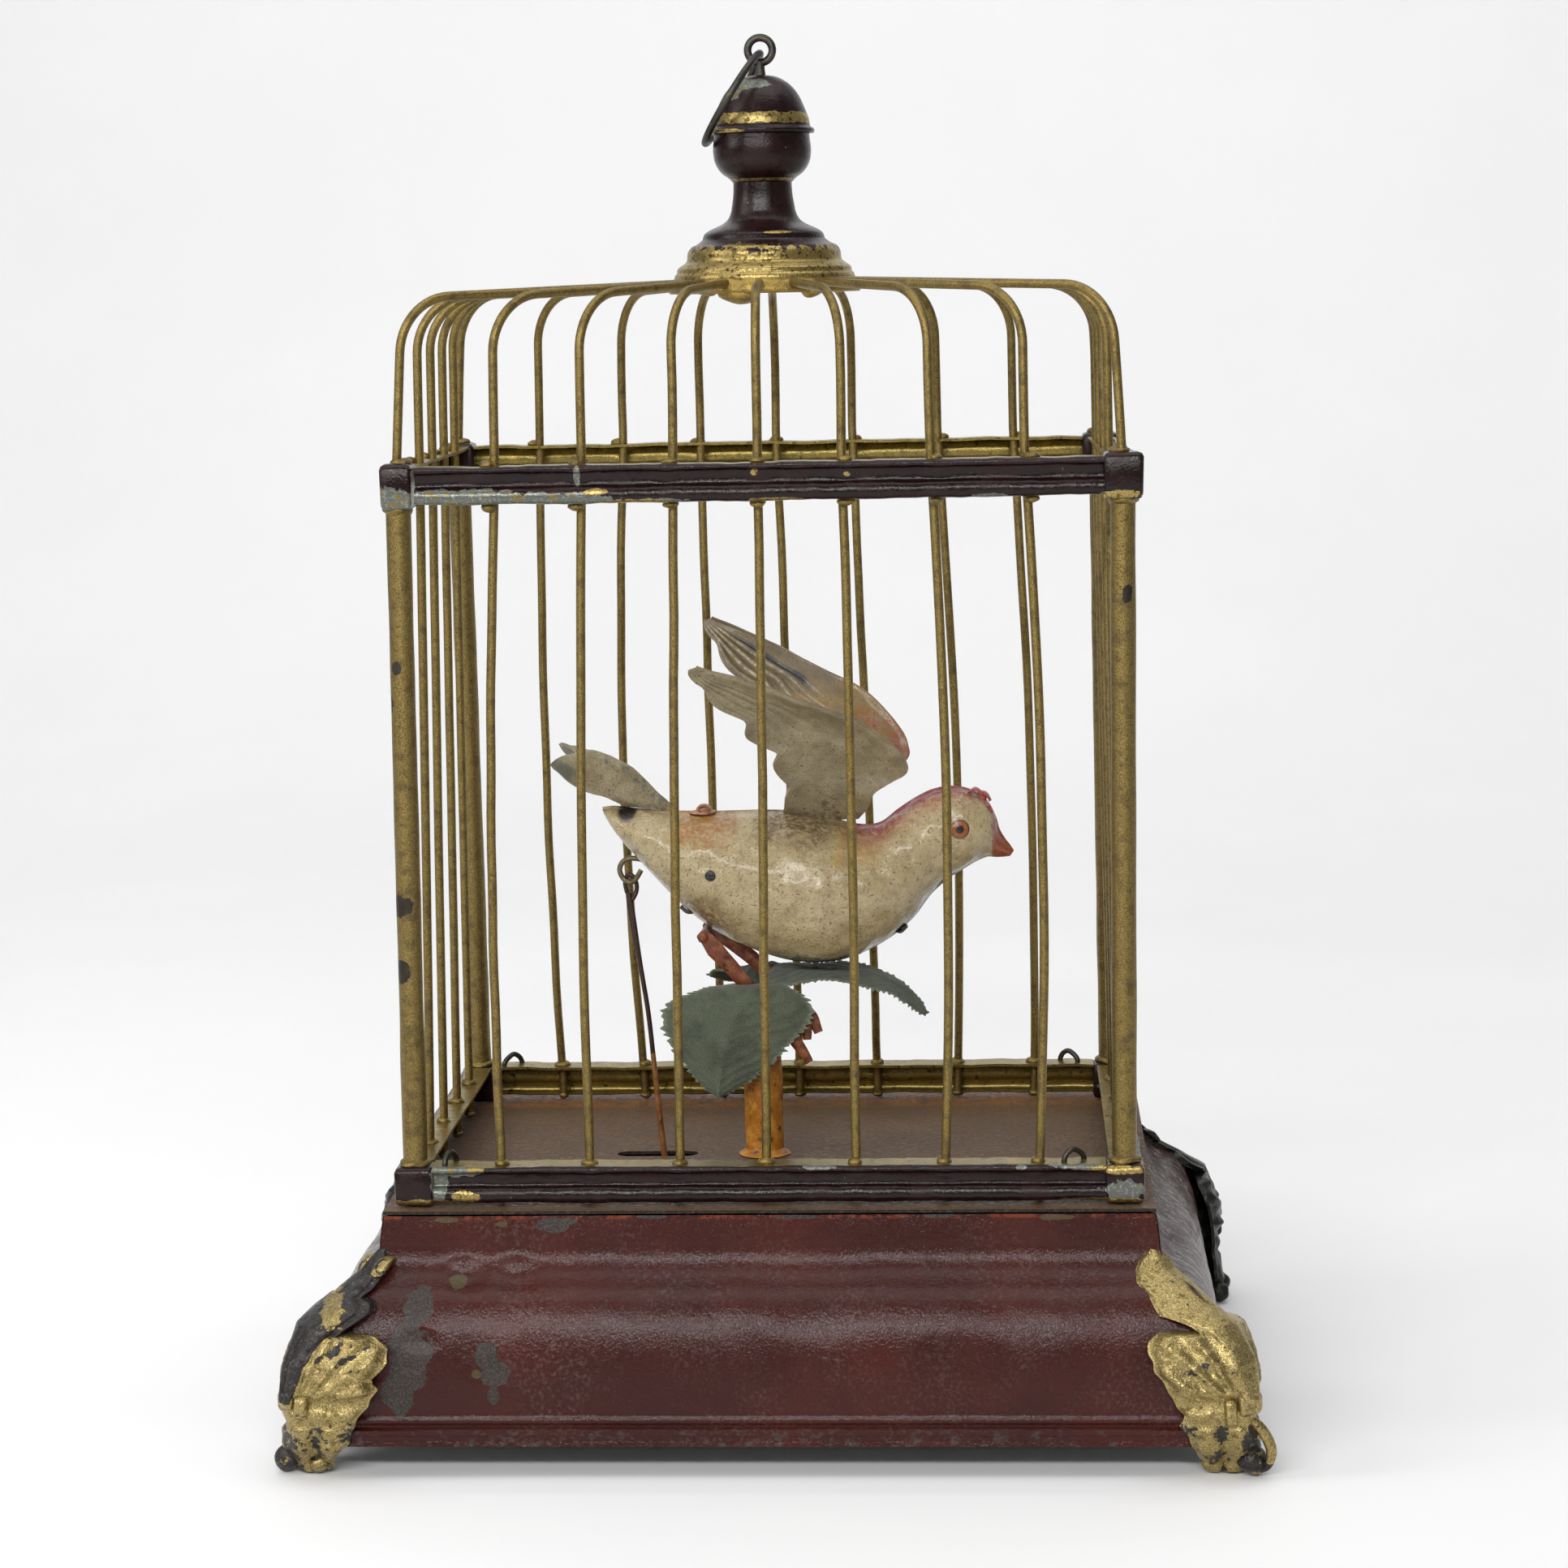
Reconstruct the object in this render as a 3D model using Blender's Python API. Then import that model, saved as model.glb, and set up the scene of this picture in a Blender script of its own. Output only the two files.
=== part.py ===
"""Painted tin birdcage with a rocking bird, worked by a hand crank and a small comb music work in its base.

Metres, +Z up, front towards -Y. The feet stand on z = 0 and the origin is the middle of the footprint's box.
"""

import math

import bmesh
import bpy
import numpy as np
from mathutils import Vector

MM = 0.001

# Gap between two solids that touch
CLEARANCE = 0.3 * MM

# Base box: an ogee skirt of painted tin on four feet
BASE_BOTTOM = 5.7 * MM
BASE_TOP = 44.1 * MM
SHEET = 0.6 * MM
LEDGE = 5.2 * MM
LIP_HEIGHT = 5.4 * MM
LIP_LEAN = 0.6 * MM
COVE_DROP = 6.7 * MM
COVE_REACH = 4.6 * MM
BELLY_DROP = 16.5 * MM
BELLY_REACH = 6.8 * MM
BEAD_HEIGHT = 8.3 * MM
BEAD_RADIUS = 0.8 * MM
COVER_HEIGHT = 0.5 * MM

# Foot stampings, by height above the table: height, width of each leaf, reach beyond the floor's corner
FOOT_SHEET = 0.7 * MM
FOOT_TOE = 2.4 * MM
FOOT_ROWS = [
    (38.2, 1.4, 0.5), (36.8, 2.6, 1.4), (35.0, 3.7, 3.2), (33.0, 4.0, 5.4), (31.4, 6.0, 7.4),
    (29.9, 9.2, 9.6), (28.2, 10.3, 12.0), (26.6, 8.2, 13.0), (25.5, 11.6, 13.6), (24.2, 15.0, 14.2),
    (22.0, 17.2, 14.8), (19.6, 17.1, 15.2), (17.4, 15.2, 15.5), (16.2, 16.0, 15.8), (13.2, 14.6, 15.7),
    (10.2, 13.2, 15.8), (7.2, 12.4, 16.9), (4.6, 11.6, 17.2), (2.4, 10.2, 16.6), (0.0, 9.0, 15.8),
]

# Cage of round wires between two moulded rails
CAGE_WIDTH = 124.0 * MM
CAGE_DEPTH = 80.0 * MM
FRONT_SPACES = 8
SIDE_SPACES = 5
WIRE_RADIUS = 0.8 * MM
WIRE_SIDES = 6
POST_RADIUS = 2.15 * MM
POST_SOLDER = 0.5 * MM
POST_SEAT = 3.0 * MM
RAIL_HEIGHT = 6.5 * MM
RAIL_SHEET = 0.5 * MM
RAIL_LIFT = 0.6 * MM
RAIL_INSIDE = 2.6 * MM
RAIL_OUTSIDE = 2.5 * MM
CAGE_CLEAR = 115.5 * MM
BLOCK_HALF = 3.4 * MM
BLOCK_RISE = 0.7 * MM

# Wire dome and the turned finial on its hub
DOME_SHOULDER = 28.6 * MM
DOME_RISE = 30.2 * MM
DOME_LEAN = 2.0 * MM
DOME_BEND = 10.0 * MM
SPOKE_END = 14.7 * MM
HUB_RADIUS = 17.2 * MM
HUB_SHEET = 0.8 * MM
TURN_SIDES = 18
FINIAL_FOOT = [(16.1, 0.0), (15.6, 0.9), (14.1, 2.9), (13.7, 4.3), (12.9, 5.7), (11.0, 7.1), (10.4, 8.1),
               (8.6, 9.2), (6.5, 10.6), (5.5, 13.1), (5.2, 16.2)]
FINIAL_CUP = [(5.2, 0.0), (5.7, 1.3), (7.9, 3.9), (8.6, 6.3), (8.7, 8.4)]
FINIAL_CAP = [(9.4, 0.0), (9.4, 0.6), (8.4, 2.2), (7.8, 4.4), (6.4, 7.2), (4.3, 9.2), (1.3, 10.2)]
FINIAL_WALL = 0.8 * MM
EYE_RADIUS = 2.2 * MM
EYE_WIRE = 0.7 * MM
EYE_NECK = 1.9 * MM
RING_RADIUS = 9.3 * MM
RING_WIRE = 0.65 * MM
RING_LEAN = math.radians(33.0)

# Bird: sizes in its own frame, x forward and z up from the pivot at the top of the legs
PLANE_Y = -4.4 * MM
PIVOT_X = -13.1 * MM
PIVOT_RISE = 41.6 * MM
BIRD_WALL = 0.6 * MM
BIRD_SEAM = 0.3 * MM
BIRD_BACK = [(-18.6, 22.9), (-15.0, 23.2), (-4.6, 22.2), (7.1, 22.2), (14.9, 22.2), (22.4, 21.4), (28.7, 19.5),
             (32.5, 19.8), (35.0, 21.3), (38.8, 24.1), (42.2, 25.9), (45.7, 26.3), (49.2, 25.6), (51.9, 23.2),
             (53.1, 20.2), (54.4, 17.2), (56.5, 14.1)]
BIRD_BELLY = [(-18.6, 22.3), (-13.0, 15.3), (-10.3, 12.3), (-6.8, 8.4), (-3.2, 4.9), (-0.4, 2.4), (1.9, 1.0),
              (6.6, -1.6), (11.3, -3.8), (15.9, -5.0), (20.1, -5.4), (25.4, -4.9), (30.1, -3.1), (34.9, -0.3),
              (39.6, 4.4), (42.5, 8.0), (46.1, 10.6), (49.7, 12.7), (53.1, 13.6), (56.5, 13.8)]
BIRD_BREADTH = [(-18.6, 0.7), (-14.0, 4.2), (-8.0, 8.0), (0.0, 11.2), (10.0, 13.0), (20.0, 13.2), (28.0, 11.6),
                (34.0, 8.6), (39.0, 7.4), (45.0, 7.6), (49.0, 6.6), (52.0, 4.0), (54.0, 1.9), (56.5, 0.5)]
BIRD_STATIONS = 15
BIRD_ROUND = 5
WIRE_HOLE_X = 2.2 * MM
WIRE_HOLE_Z = 10.5 * MM
WIRE_HOLE_RADIUS = 1.0 * MM
LUG_RADIUS = 1.6 * MM
LUG_RISE = 4.6 * MM
LUG_SHEET = 0.7 * MM
PIN_RADIUS = 0.6 * MM
PIN_HEAD = 0.6 * MM

# Wings: x and distance from the root line, trailing edge then leading edge
WING_SHEET = 0.5 * MM
WING_CAMBER = 2.2 * MM
WING_LEAN_LEFT = math.radians(19.0)
WING_LEAN_RIGHT = math.radians(37.0)
WING_ROOT_Y = 1.0 * MM
WING_ROOT_Z = 21.8 * MM
WING_BACK_EDGE = [(15.3, 1.1), (15.3, 6.2), (13.5, 12.7), (13.2, 15.3), (11.1, 17.4), (9.2, 19.8), (8.4, 23.0),
                  (5.0, 26.2), (2.7, 29.7), (0.4, 34.4), (1.3, 36.6)]
WING_FRONT_EDGE = [(28.4, -0.4), (30.0, 1.9), (31.9, 5.5), (34.8, 7.1), (37.3, 9.5), (37.6, 12.3), (36.2, 15.4),
                   (32.3, 20.2), (28.5, 23.4), (23.5, 25.9), (19.0, 28.3), (13.6, 31.4), (6.9, 34.5), (1.9, 36.6)]
WING_ROWS = 11

# Tail: fold line, then outer edge and its spread, from root to tip
TAIL_SHEET = 0.5 * MM
TAIL_FOLD = [(-4.9, 22.2), (-7.9, 25.8), (-11.7, 29.5), (-15.9, 32.4), (-19.9, 34.1), (-22.9, 33.9)]
TAIL_EDGE = [(-14.4, 24.2), (-16.3, 25.4), (-18.4, 26.3), (-21.6, 27.4), (-23.8, 29.5), (-26.6, 32.0)]
TAIL_SPREAD = [0.9, 2.2, 3.6, 5.0, 6.2, 7.0]

# Tail hook and push rod
HOOK_WIRE = 0.42 * MM
HOOK_ROOT_X = -10.3 * MM
HOOK_EYE_X = -14.2 * MM
HOOK_EYE_Z = 9.7 * MM
HOOK_RADIUS = 1.85 * MM
ROD_WIRE = 0.42 * MM
ROD_LOWER_WIRE = 0.65 * MM
ROD_SWELL = 20.0 * MM
ROD_LOOP = 1.45 * MM
SLOT_LENGTH = 15.2 * MM
SLOT_WIDTH = 3.8 * MM
SLOT_CENTRE_X = -22.8 * MM

# Perch: a bent tin tube with the legs in its top, and three cloth leaves
PERCH_X = -3.0 * MM
PERCH_RADIUS = 3.5 * MM
PERCH_FLANGE = 4.8 * MM
PERCH_TOP = 13.2 * MM
LEG_SPREAD = 4.3 * MM
LEG_SHEET = 0.8 * MM
LEG_WIDTH = 2.8 * MM
LEG_SHANK = 6.0 * MM
LEAF_SHEET = 0.5 * MM

# Crank, worm and pinned cylinder
CRANK_X = -22.5 * MM
CRANK_THROW = 3.9 * MM
CRANK_ANGLE = math.radians(57.0)
CRANK_PIN = 0.6 * MM
CRANK_PIN_LENGTH = 1.2 * MM
DISC_RADIUS = 5.6 * MM
DISC_THICK = 1.5 * MM
SHAFT_RADIUS = 1.5 * MM
WORM_PITCH_RADIUS = 3.0 * MM
WORM_TURNS = 3
WHEEL_TEETH = 20
WHEEL_PITCH_RADIUS = 7.5 * MM
WHEEL_ADDENDUM = 0.6 * MM
WHEEL_DEDENDUM = 0.9 * MM
WHEEL_THICK = 2.0 * MM
WHEEL_ROOM = 0.8 * MM
CYLINDER_Y = 19.0 * MM
CYLINDER_RADIUS = 6.4 * MM
CYLINDER_LENGTH = 30.0 * MM
CYLINDER_TRACKS = 10
CYLINDER_STEPS = 16
PIN_RAISE = 0.8 * MM
ARBOR_RADIUS = 1.3 * MM
COMB_SHEET = 0.9 * MM
COMB_TOOTH = 9.0 * MM
COMB_HEEL = 7.0 * MM
COMB_GAP = 0.5 * MM
BEDPLATE = 1.5 * MM
BRACKET = 1.2 * MM
BUSH_WALL = 1.0 * MM
ARM_RADIUS = 16.0 * MM
ARM_THICK = 1.5 * MM
ARM_BOSS = 3.4 * MM
ARM_END = 2.4 * MM
ARM_STANDOFF = 2.0 * MM
KNOB_LENGTH = 12.0 * MM
KNOB_RADIUS = 3.6 * MM
RIVET_RADIUS = 1.0 * MM
RIVET_HEAD = 1.9 * MM
RIVET_HEAD_THICK = 0.9 * MM

# Heights and half sizes that follow from the sizes above
FLOOR_HALF_X = CAGE_WIDTH / 2 + LEDGE
FLOOR_HALF_Y = CAGE_DEPTH / 2 + LEDGE
LOWER_RAIL = BASE_TOP + RAIL_LIFT
LOWER_RAIL_TOP = LOWER_RAIL + RAIL_HEIGHT
UPPER_RAIL = LOWER_RAIL_TOP + CAGE_CLEAR
UPPER_RAIL_TOP = UPPER_RAIL + RAIL_HEIGHT
HUB_AXIS = UPPER_RAIL_TOP + DOME_RISE
FINIAL_BASE = HUB_AXIS + WIRE_RADIUS + CLEARANCE
CUP_BASE = FINIAL_BASE + FINIAL_FOOT[-1][1] * MM + CLEARANCE
CAP_BASE = CUP_BASE + FINIAL_CUP[-1][1] * MM + CLEARANCE
CAP_TOP = CAP_BASE + FINIAL_CAP[-1][1] * MM
EYE_CENTRE = CAP_TOP + CLEARANCE + EYE_NECK + EYE_RADIUS
RING_PIVOT = EYE_CENTRE - (EYE_RADIUS - EYE_WIRE - RING_WIRE - CLEARANCE)
PIVOT_Z = BASE_TOP + PIVOT_RISE
PERCH_TOP_Z = PIVOT_Z - PERCH_TOP
BODY_REACH = LIP_LEAN + COVE_REACH + BELLY_REACH
COVER_TOP = BASE_BOTTOM + COVER_HEIGHT + SHEET
BED_TOP = COVER_TOP + CLEARANCE + BEDPLATE
CYLINDER_Z = BED_TOP + WHEEL_ROOM + WHEEL_PITCH_RADIUS + WHEEL_ADDENDUM
CRANK_HEIGHT = CYLINDER_Z + WHEEL_PITCH_RADIUS + WORM_PITCH_RADIUS
WORM_OUTER = WORM_PITCH_RADIUS + WHEEL_ADDENDUM
WORM_ROOT = WORM_PITCH_RADIUS - WHEEL_DEDENDUM
WORM_PITCH = 2 * math.pi * WHEEL_PITCH_RADIUS / WHEEL_TEETH
CRANK_PIN_X = CRANK_X + CRANK_THROW * math.cos(CRANK_ANGLE)
CRANK_PIN_Z = CRANK_HEIGHT + CRANK_THROW * math.sin(CRANK_ANGLE)
PIN_END_Y = PLANE_Y + ROD_LOWER_WIRE + CLEARANCE
DISC_Y = PIN_END_Y + CRANK_PIN_LENGTH
SHAFT_Y = DISC_Y + DISC_THICK + CLEARANCE
ARM_Y = FLOOR_HALF_Y + BODY_REACH + ARM_STANDOFF
KNOB_Y = ARM_Y + ARM_THICK + CLEARANCE
KNOB_END_Y = KNOB_Y + KNOB_LENGTH
BACK_Y = KNOB_END_Y + CLEARANCE + RIVET_HEAD_THICK
FRONT_Y = -(FLOOR_HALF_Y + max(row[2] for row in FOOT_ROWS) * MM)
CENTRE_SHIFT = -(BACK_Y + FRONT_Y) / 2

COLOURS = {
    "oxblood_paint": ((0.055, 0.012, 0.010), 0.45, 0.0),
    "floor_paint": ((0.26, 0.15, 0.08), 0.85, 0.0),
    "gilt_tin": ((0.42, 0.27, 0.07), 0.42, 1.0),
    "gilt_wire": ((0.26, 0.17, 0.05), 0.45, 1.0),
    "maroon_lacquer": ((0.022, 0.008, 0.008), 0.35, 0.0),
    "bird_cream": ((0.46, 0.38, 0.24), 0.50, 0.0),
    "ochre_paint": ((0.48, 0.20, 0.02), 0.50, 0.0),
    "leg_paint": ((0.36, 0.09, 0.02), 0.55, 0.0),
    "leaf_cloth": ((0.09, 0.14, 0.09), 0.95, 0.0),
    "iron_wire": ((0.20, 0.16, 0.11), 0.55, 1.0),
    "brass": ((0.60, 0.42, 0.14), 0.30, 1.0),
    "steel": ((0.45, 0.45, 0.46), 0.30, 1.0),
    "knob_wood": ((0.05, 0.03, 0.02), 0.45, 0.0),
}


def clear_scene():
    for obj in list(bpy.data.objects):
        bpy.data.objects.remove(obj, do_unlink=True)


def material(name):
    """The named finish as a Principled material, made once."""
    found = bpy.data.materials.get(name)
    if found:
        return found
    colour, roughness, metallic = COLOURS[name]
    made = bpy.data.materials.new(name)
    made.use_nodes = True
    shader = made.node_tree.nodes["Principled BSDF"]
    shader.inputs["Base Color"].default_value = (*colour, 1.0)
    shader.inputs["Roughness"].default_value = roughness
    shader.inputs["Metallic"].default_value = metallic
    made.diffuse_color = (*colour, 1.0)
    return made


def joined(shapes):
    """Several (points, faces) shapes as one."""
    points = []
    faces = []
    for shape_points, shape_faces in shapes:
        start = len(points)
        points += [tuple(p) for p in shape_points]
        faces += [[start + i for i in face] for face in shape_faces]
    return points, faces


def solid(name, shape, finish, origin=(0, 0, 0), smooth=True):
    """A named object from one shape, with its origin where it turns."""
    points, faces = shape
    origin = Vector(origin)
    mesh = bpy.data.meshes.new(name)
    mesh.from_pydata([Vector(p) - origin for p in points], [], faces)
    work = bmesh.new()
    work.from_mesh(mesh)
    bmesh.ops.recalc_face_normals(work, faces=work.faces)
    work.to_mesh(mesh)
    work.free()
    if smooth:
        mesh.shade_smooth()
        mesh.set_sharp_from_angle(angle=math.radians(35.0))
    obj = bpy.data.objects.new(name, mesh)
    obj.location = origin + Vector((0, CENTRE_SHIFT, 0))
    bpy.context.scene.collection.objects.link(obj)
    if finish:
        mesh.materials.append(material(finish))
    return obj


def boolean(obj, name, shape, operation):
    """Cut a shape from an object, or join it on, with an exact Boolean."""
    tool = solid(name, shape, None, smooth=False)
    tool.hide_render = True
    tool.display_type = "WIRE"
    modifier = obj.modifiers.new(name, "BOOLEAN")
    modifier.operation = operation
    modifier.solver = "EXACT"
    modifier.object = tool


def loft(rings, closed=False):
    """Rings of points joined by quads, with flat ends unless the rings close on themselves."""
    count = len(rings[0])
    points = [p for ring in rings for p in ring]
    faces = []
    for row in range(len(rings) if closed else len(rings) - 1):
        here = row * count
        there = (row + 1) % len(rings) * count
        for col in range(count):
            nxt = (col + 1) % count
            faces.append([here + col, here + nxt, there + nxt, there + col])
    if not closed:
        last = (len(rings) - 1) * count
        faces.append(list(range(count)))
        faces.append([last + i for i in range(count)])
    return points, faces


def tube(path, radius, sides, closed=False):
    """A round bar along a path of points, with one radius or one for each point."""
    path = [Vector(p) for p in path]
    radii = radius if isinstance(radius, list) else [radius] * len(path)
    rings = []
    side = None
    for i, here in enumerate(path):
        before = path[i - 1] if closed or i > 0 else here
        after = path[(i + 1) % len(path)] if closed or i < len(path) - 1 else here
        along = (after - before).normalized()
        if side is None:
            seed = Vector((0, 1, 0)) if abs(along.y) < 0.9 else Vector((1, 0, 0))
            side = along.cross(seed).normalized()
        side = (side - along * side.dot(along)).normalized()
        up = along.cross(side)
        ring = []
        for k in range(sides):
            turn = 2 * math.pi * (k + 0.5) / sides
            ring.append(here + (side * math.cos(turn) + up * math.sin(turn)) * radii[i])
        rings.append(ring)
    return loft(rings, closed)


def arc(centre, across, up, radius, start, end, steps):
    """Points along an arc, in the plane of two unit directions."""
    centre, across, up = Vector(centre), Vector(across), Vector(up)
    found = []
    for i in range(steps + 1):
        turn = start + (end - start) * i / steps
        found.append(centre + across * radius * math.cos(turn) + up * radius * math.sin(turn))
    return found


def rod(start, end, radius, sides):
    return tube([start, end], radius, sides)


def turned(profile, centre, sides=TURN_SIDES):
    """A closed profile of (radius, height) turned about a vertical axis."""
    x, y, z = centre
    rings = []
    for k in range(sides):
        turn = 2 * math.pi * k / sides
        rings.append([(x + r * math.cos(turn), y + r * math.sin(turn), z + h) for r, h in profile])
    return loft(rings, closed=True)


def prism(outline, low, high, axis="y"):
    """An outline of (across, up) pairs extruded along one axis."""
    ends = []
    for level in (low, high):
        if axis == "y":
            ends.append([(a, level, b) for a, b in outline])
        elif axis == "x":
            ends.append([(level, a, b) for a, b in outline])
        else:
            ends.append([(a, b, level) for a, b in outline])
    return loft(ends)


def box(low, high):
    outline = [(low[0], low[2]), (high[0], low[2]), (high[0], high[2]), (low[0], high[2])]
    return prism(outline, low[1], high[1])


def circle(centre, radius, sides, start=0.0, end=2 * math.pi):
    """Points round a circle, or round part of one with both ends."""
    whole = abs(end - start - 2 * math.pi) < 1e-6
    steps = sides if whole else sides - 1
    return [(centre[0] + radius * math.cos(start + (end - start) * k / steps),
             centre[1] + radius * math.sin(start + (end - start) * k / steps)) for k in range(sides)]


def sheet(grid, thickness):
    """A curved sheet of even thickness over a grid of points."""
    rows = np.array([[tuple(p) for p in row] for row in grid])
    down = np.gradient(rows, axis=0)
    across = np.gradient(rows, axis=1)
    normal = np.cross(down, across)
    normal /= np.linalg.norm(normal, axis=2, keepdims=True)
    return thick_shell(rows + normal * thickness / 2, rows - normal * thickness / 2)


def thick_shell(one, other):
    """Two grids of points joined all round their edges."""
    count, width = one.shape[:2]
    points = [tuple(p) for p in one.reshape(-1, 3)] + [tuple(p) for p in other.reshape(-1, 3)]
    half = count * width
    faces = []
    for i in range(count - 1):
        for j in range(width - 1):
            quad = [i * width + j, i * width + j + 1, (i + 1) * width + j + 1, (i + 1) * width + j]
            faces.append(quad)
            faces.append([half + k for k in reversed(quad)])
    edge = [j for j in range(width)]
    edge += [i * width + width - 1 for i in range(1, count)]
    edge += [(count - 1) * width + j for j in range(width - 2, -1, -1)]
    edge += [i * width for i in range(count - 2, 0, -1)]
    for k, here in enumerate(edge):
        nxt = edge[(k + 1) % len(edge)]
        faces.append([here, half + here, half + nxt, nxt])
    return points, faces


def offset_line(line, distance):
    """An open line of (across, up) points moved sideways by a distance, with mitred corners."""
    line = np.array(line, float)
    step = np.diff(line, axis=0)
    step /= np.linalg.norm(step, axis=1, keepdims=True)
    left = np.stack([-step[:, 1], step[:, 0]], axis=1)
    moved = []
    for i, here in enumerate(line):
        if i in (0, len(line) - 1):
            bend = left[0] if i == 0 else left[-1]
            moved.append(here + bend * distance)
        else:
            bend = left[i - 1] + left[i]
            bend /= np.linalg.norm(bend)
            moved.append(here + bend * distance / max(bend @ left[i], 0.5))
    return [tuple(p) for p in moved]


def smooth_at(table, where):
    """The value at one place on a table of (place, value) pairs in millimetres."""
    return float(np.interp(where, [a * MM for a, _ in table], [b * MM for _, b in table]))


def bezier(a, b, c, d, steps):
    """Points along a cubic curve, without its first."""
    found = []
    for i in range(1, steps + 1):
        t = i / steps
        u = 1 - t
        found.append(tuple(u ** 3 * a[k] + 3 * u * u * t * b[k] + 3 * u * t * t * c[k] + t ** 3 * d[k]
                           for k in (0, 1)))
    return found


def base_profile():
    """The skirt's outer line, as reach beyond the floor's edge and height."""
    top = (0.0, BASE_TOP - SHEET - CLEARANCE)
    lip = (LIP_LEAN, BASE_TOP - LIP_HEIGHT)
    cove = (lip[0] + COVE_REACH, lip[1] - COVE_DROP)
    belly = (BODY_REACH, cove[1] - BELLY_DROP)
    line = [top, lip]
    line += bezier(lip, (lip[0], lip[1] - COVE_DROP * 0.55), (cove[0] - COVE_REACH * 0.55, cove[1] + COVE_DROP * 0.2),
                   cove, 4)
    line += bezier(cove, (cove[0] + BELLY_REACH * 0.62, cove[1] - BELLY_DROP * 0.15),
                   (belly[0], belly[1] + BELLY_DROP * 0.5), belly, 5)
    line.append((BODY_REACH, BEAD_HEIGHT + BEAD_RADIUS))
    line.append((BODY_REACH + BEAD_RADIUS, BEAD_HEIGHT + BEAD_RADIUS * 0.4))
    line.append((BODY_REACH + BEAD_RADIUS, BEAD_HEIGHT - BEAD_RADIUS * 0.4))
    line.append((BODY_REACH + BEAD_RADIUS * 0.3, BEAD_HEIGHT - BEAD_RADIUS))
    line.append((BODY_REACH + BEAD_RADIUS * 0.6, BASE_BOTTOM))
    return line


def skirt_reach(height):
    """How far the skirt stands out at one height, with its bead as the widest part of the foot of it."""
    line = base_profile()
    if height < line[-5][1]:
        return BODY_REACH + BEAD_RADIUS
    return float(np.interp(-height, [-z for _, z in line[:-4]], [out for out, _ in line[:-4]]))


def make_base():
    outer = base_profile()
    section = outer + offset_line(outer, -SHEET)[::-1]
    mitre = CLEARANCE / math.sqrt(2)
    sides = {"base_front_panel": (0, -1), "base_back_panel": (0, 1),
             "base_left_panel": (-1, 0), "base_right_panel": (1, 0)}
    panels = {}
    for name, (sx, sy) in sides.items():
        ends = []
        for way in (-1, 1):
            ring = []
            for out, z in section:
                if sx:
                    ring.append((sx * (FLOOR_HALF_X + out), way * (FLOOR_HALF_Y + out - mitre), z))
                else:
                    ring.append((way * (FLOOR_HALF_X + out - mitre), sy * (FLOOR_HALF_Y + out), z))
            ends.append(ring)
        panels[name] = solid(name, loft(ends), "oxblood_paint")
    bush = rod((CRANK_X, FLOOR_HALF_Y - 5 * SHEET, CRANK_HEIGHT),
               (CRANK_X, FLOOR_HALF_Y + BODY_REACH + BEAD_RADIUS, CRANK_HEIGHT),
               SHAFT_RADIUS + 2 * CLEARANCE + BUSH_WALL, 12)
    boolean(panels["base_back_panel"], "bush_hole_cutter", bush, "DIFFERENCE")

    floor = solid("base_floor", box((-FLOOR_HALF_X, -FLOOR_HALF_Y, BASE_TOP - SHEET),
                                    (FLOOR_HALF_X, FLOOR_HALF_Y, BASE_TOP)), "floor_paint", smooth=False)
    half = (SLOT_LENGTH - SLOT_WIDTH) / 2
    slot = circle((SLOT_CENTRE_X + half, PLANE_Y), SLOT_WIDTH / 2, 5, -math.pi / 2, math.pi / 2)
    slot += circle((SLOT_CENTRE_X - half, PLANE_Y), SLOT_WIDTH / 2, 5, math.pi / 2, math.pi * 1.5)
    boolean(floor, "rod_slot_cutter", prism(slot, BASE_TOP - 3 * SHEET, BASE_TOP + SHEET, "z"), "DIFFERENCE")

    inset = SHEET + CLEARANCE
    solid("base_bottom_cover", box((-FLOOR_HALF_X - BODY_REACH + inset, -FLOOR_HALF_Y - BODY_REACH + inset,
                                    BASE_BOTTOM + COVER_HEIGHT),
                                   (FLOOR_HALF_X + BODY_REACH - inset, FLOOR_HALF_Y + BODY_REACH - inset,
                                    COVER_TOP)), "oxblood_paint", smooth=False)


def foot_grid(deep):
    """One foot's face as rows of (reach along X, reach along Y), fold in the middle, at a depth below it."""
    rows = []
    for height, width, fold in FOOT_ROWS:
        height, width, fold = height * MM, width * MM, fold * MM
        thick = FOOT_SHEET
        if height < BASE_BOTTOM:
            thick += (FOOT_TOE - FOOT_SHEET) * (1 - height / BASE_BOTTOM)
        edge = skirt_reach(height) + CLEARANCE + FOOT_SHEET
        fold = max(fold, edge)
        row = []
        for part in (1.0, 0.45, 0.0):
            stand = edge + (fold - edge) * (1 - part) ** 1.6
            row.append((fold - deep * thick - (width - deep * thick) * part, stand - deep * thick))
        across = [(a, b) for a, b in row]
        along = [(b, a) for a, b in row[-2::-1]]
        rows.append([(FLOOR_HALF_X + a, FLOOR_HALF_Y + b, height) for a, b in across + along])
    return np.array(rows)


def make_feet():
    for name, sx, sy in (("front_left", -1, -1), ("front_right", 1, -1), ("back_left", -1, 1), ("back_right", 1, 1)):
        flip = np.array((sx, sy, 1))
        solid("foot_" + name, thick_shell(foot_grid(0) * flip, foot_grid(1) * flip), "gilt_tin")


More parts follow.
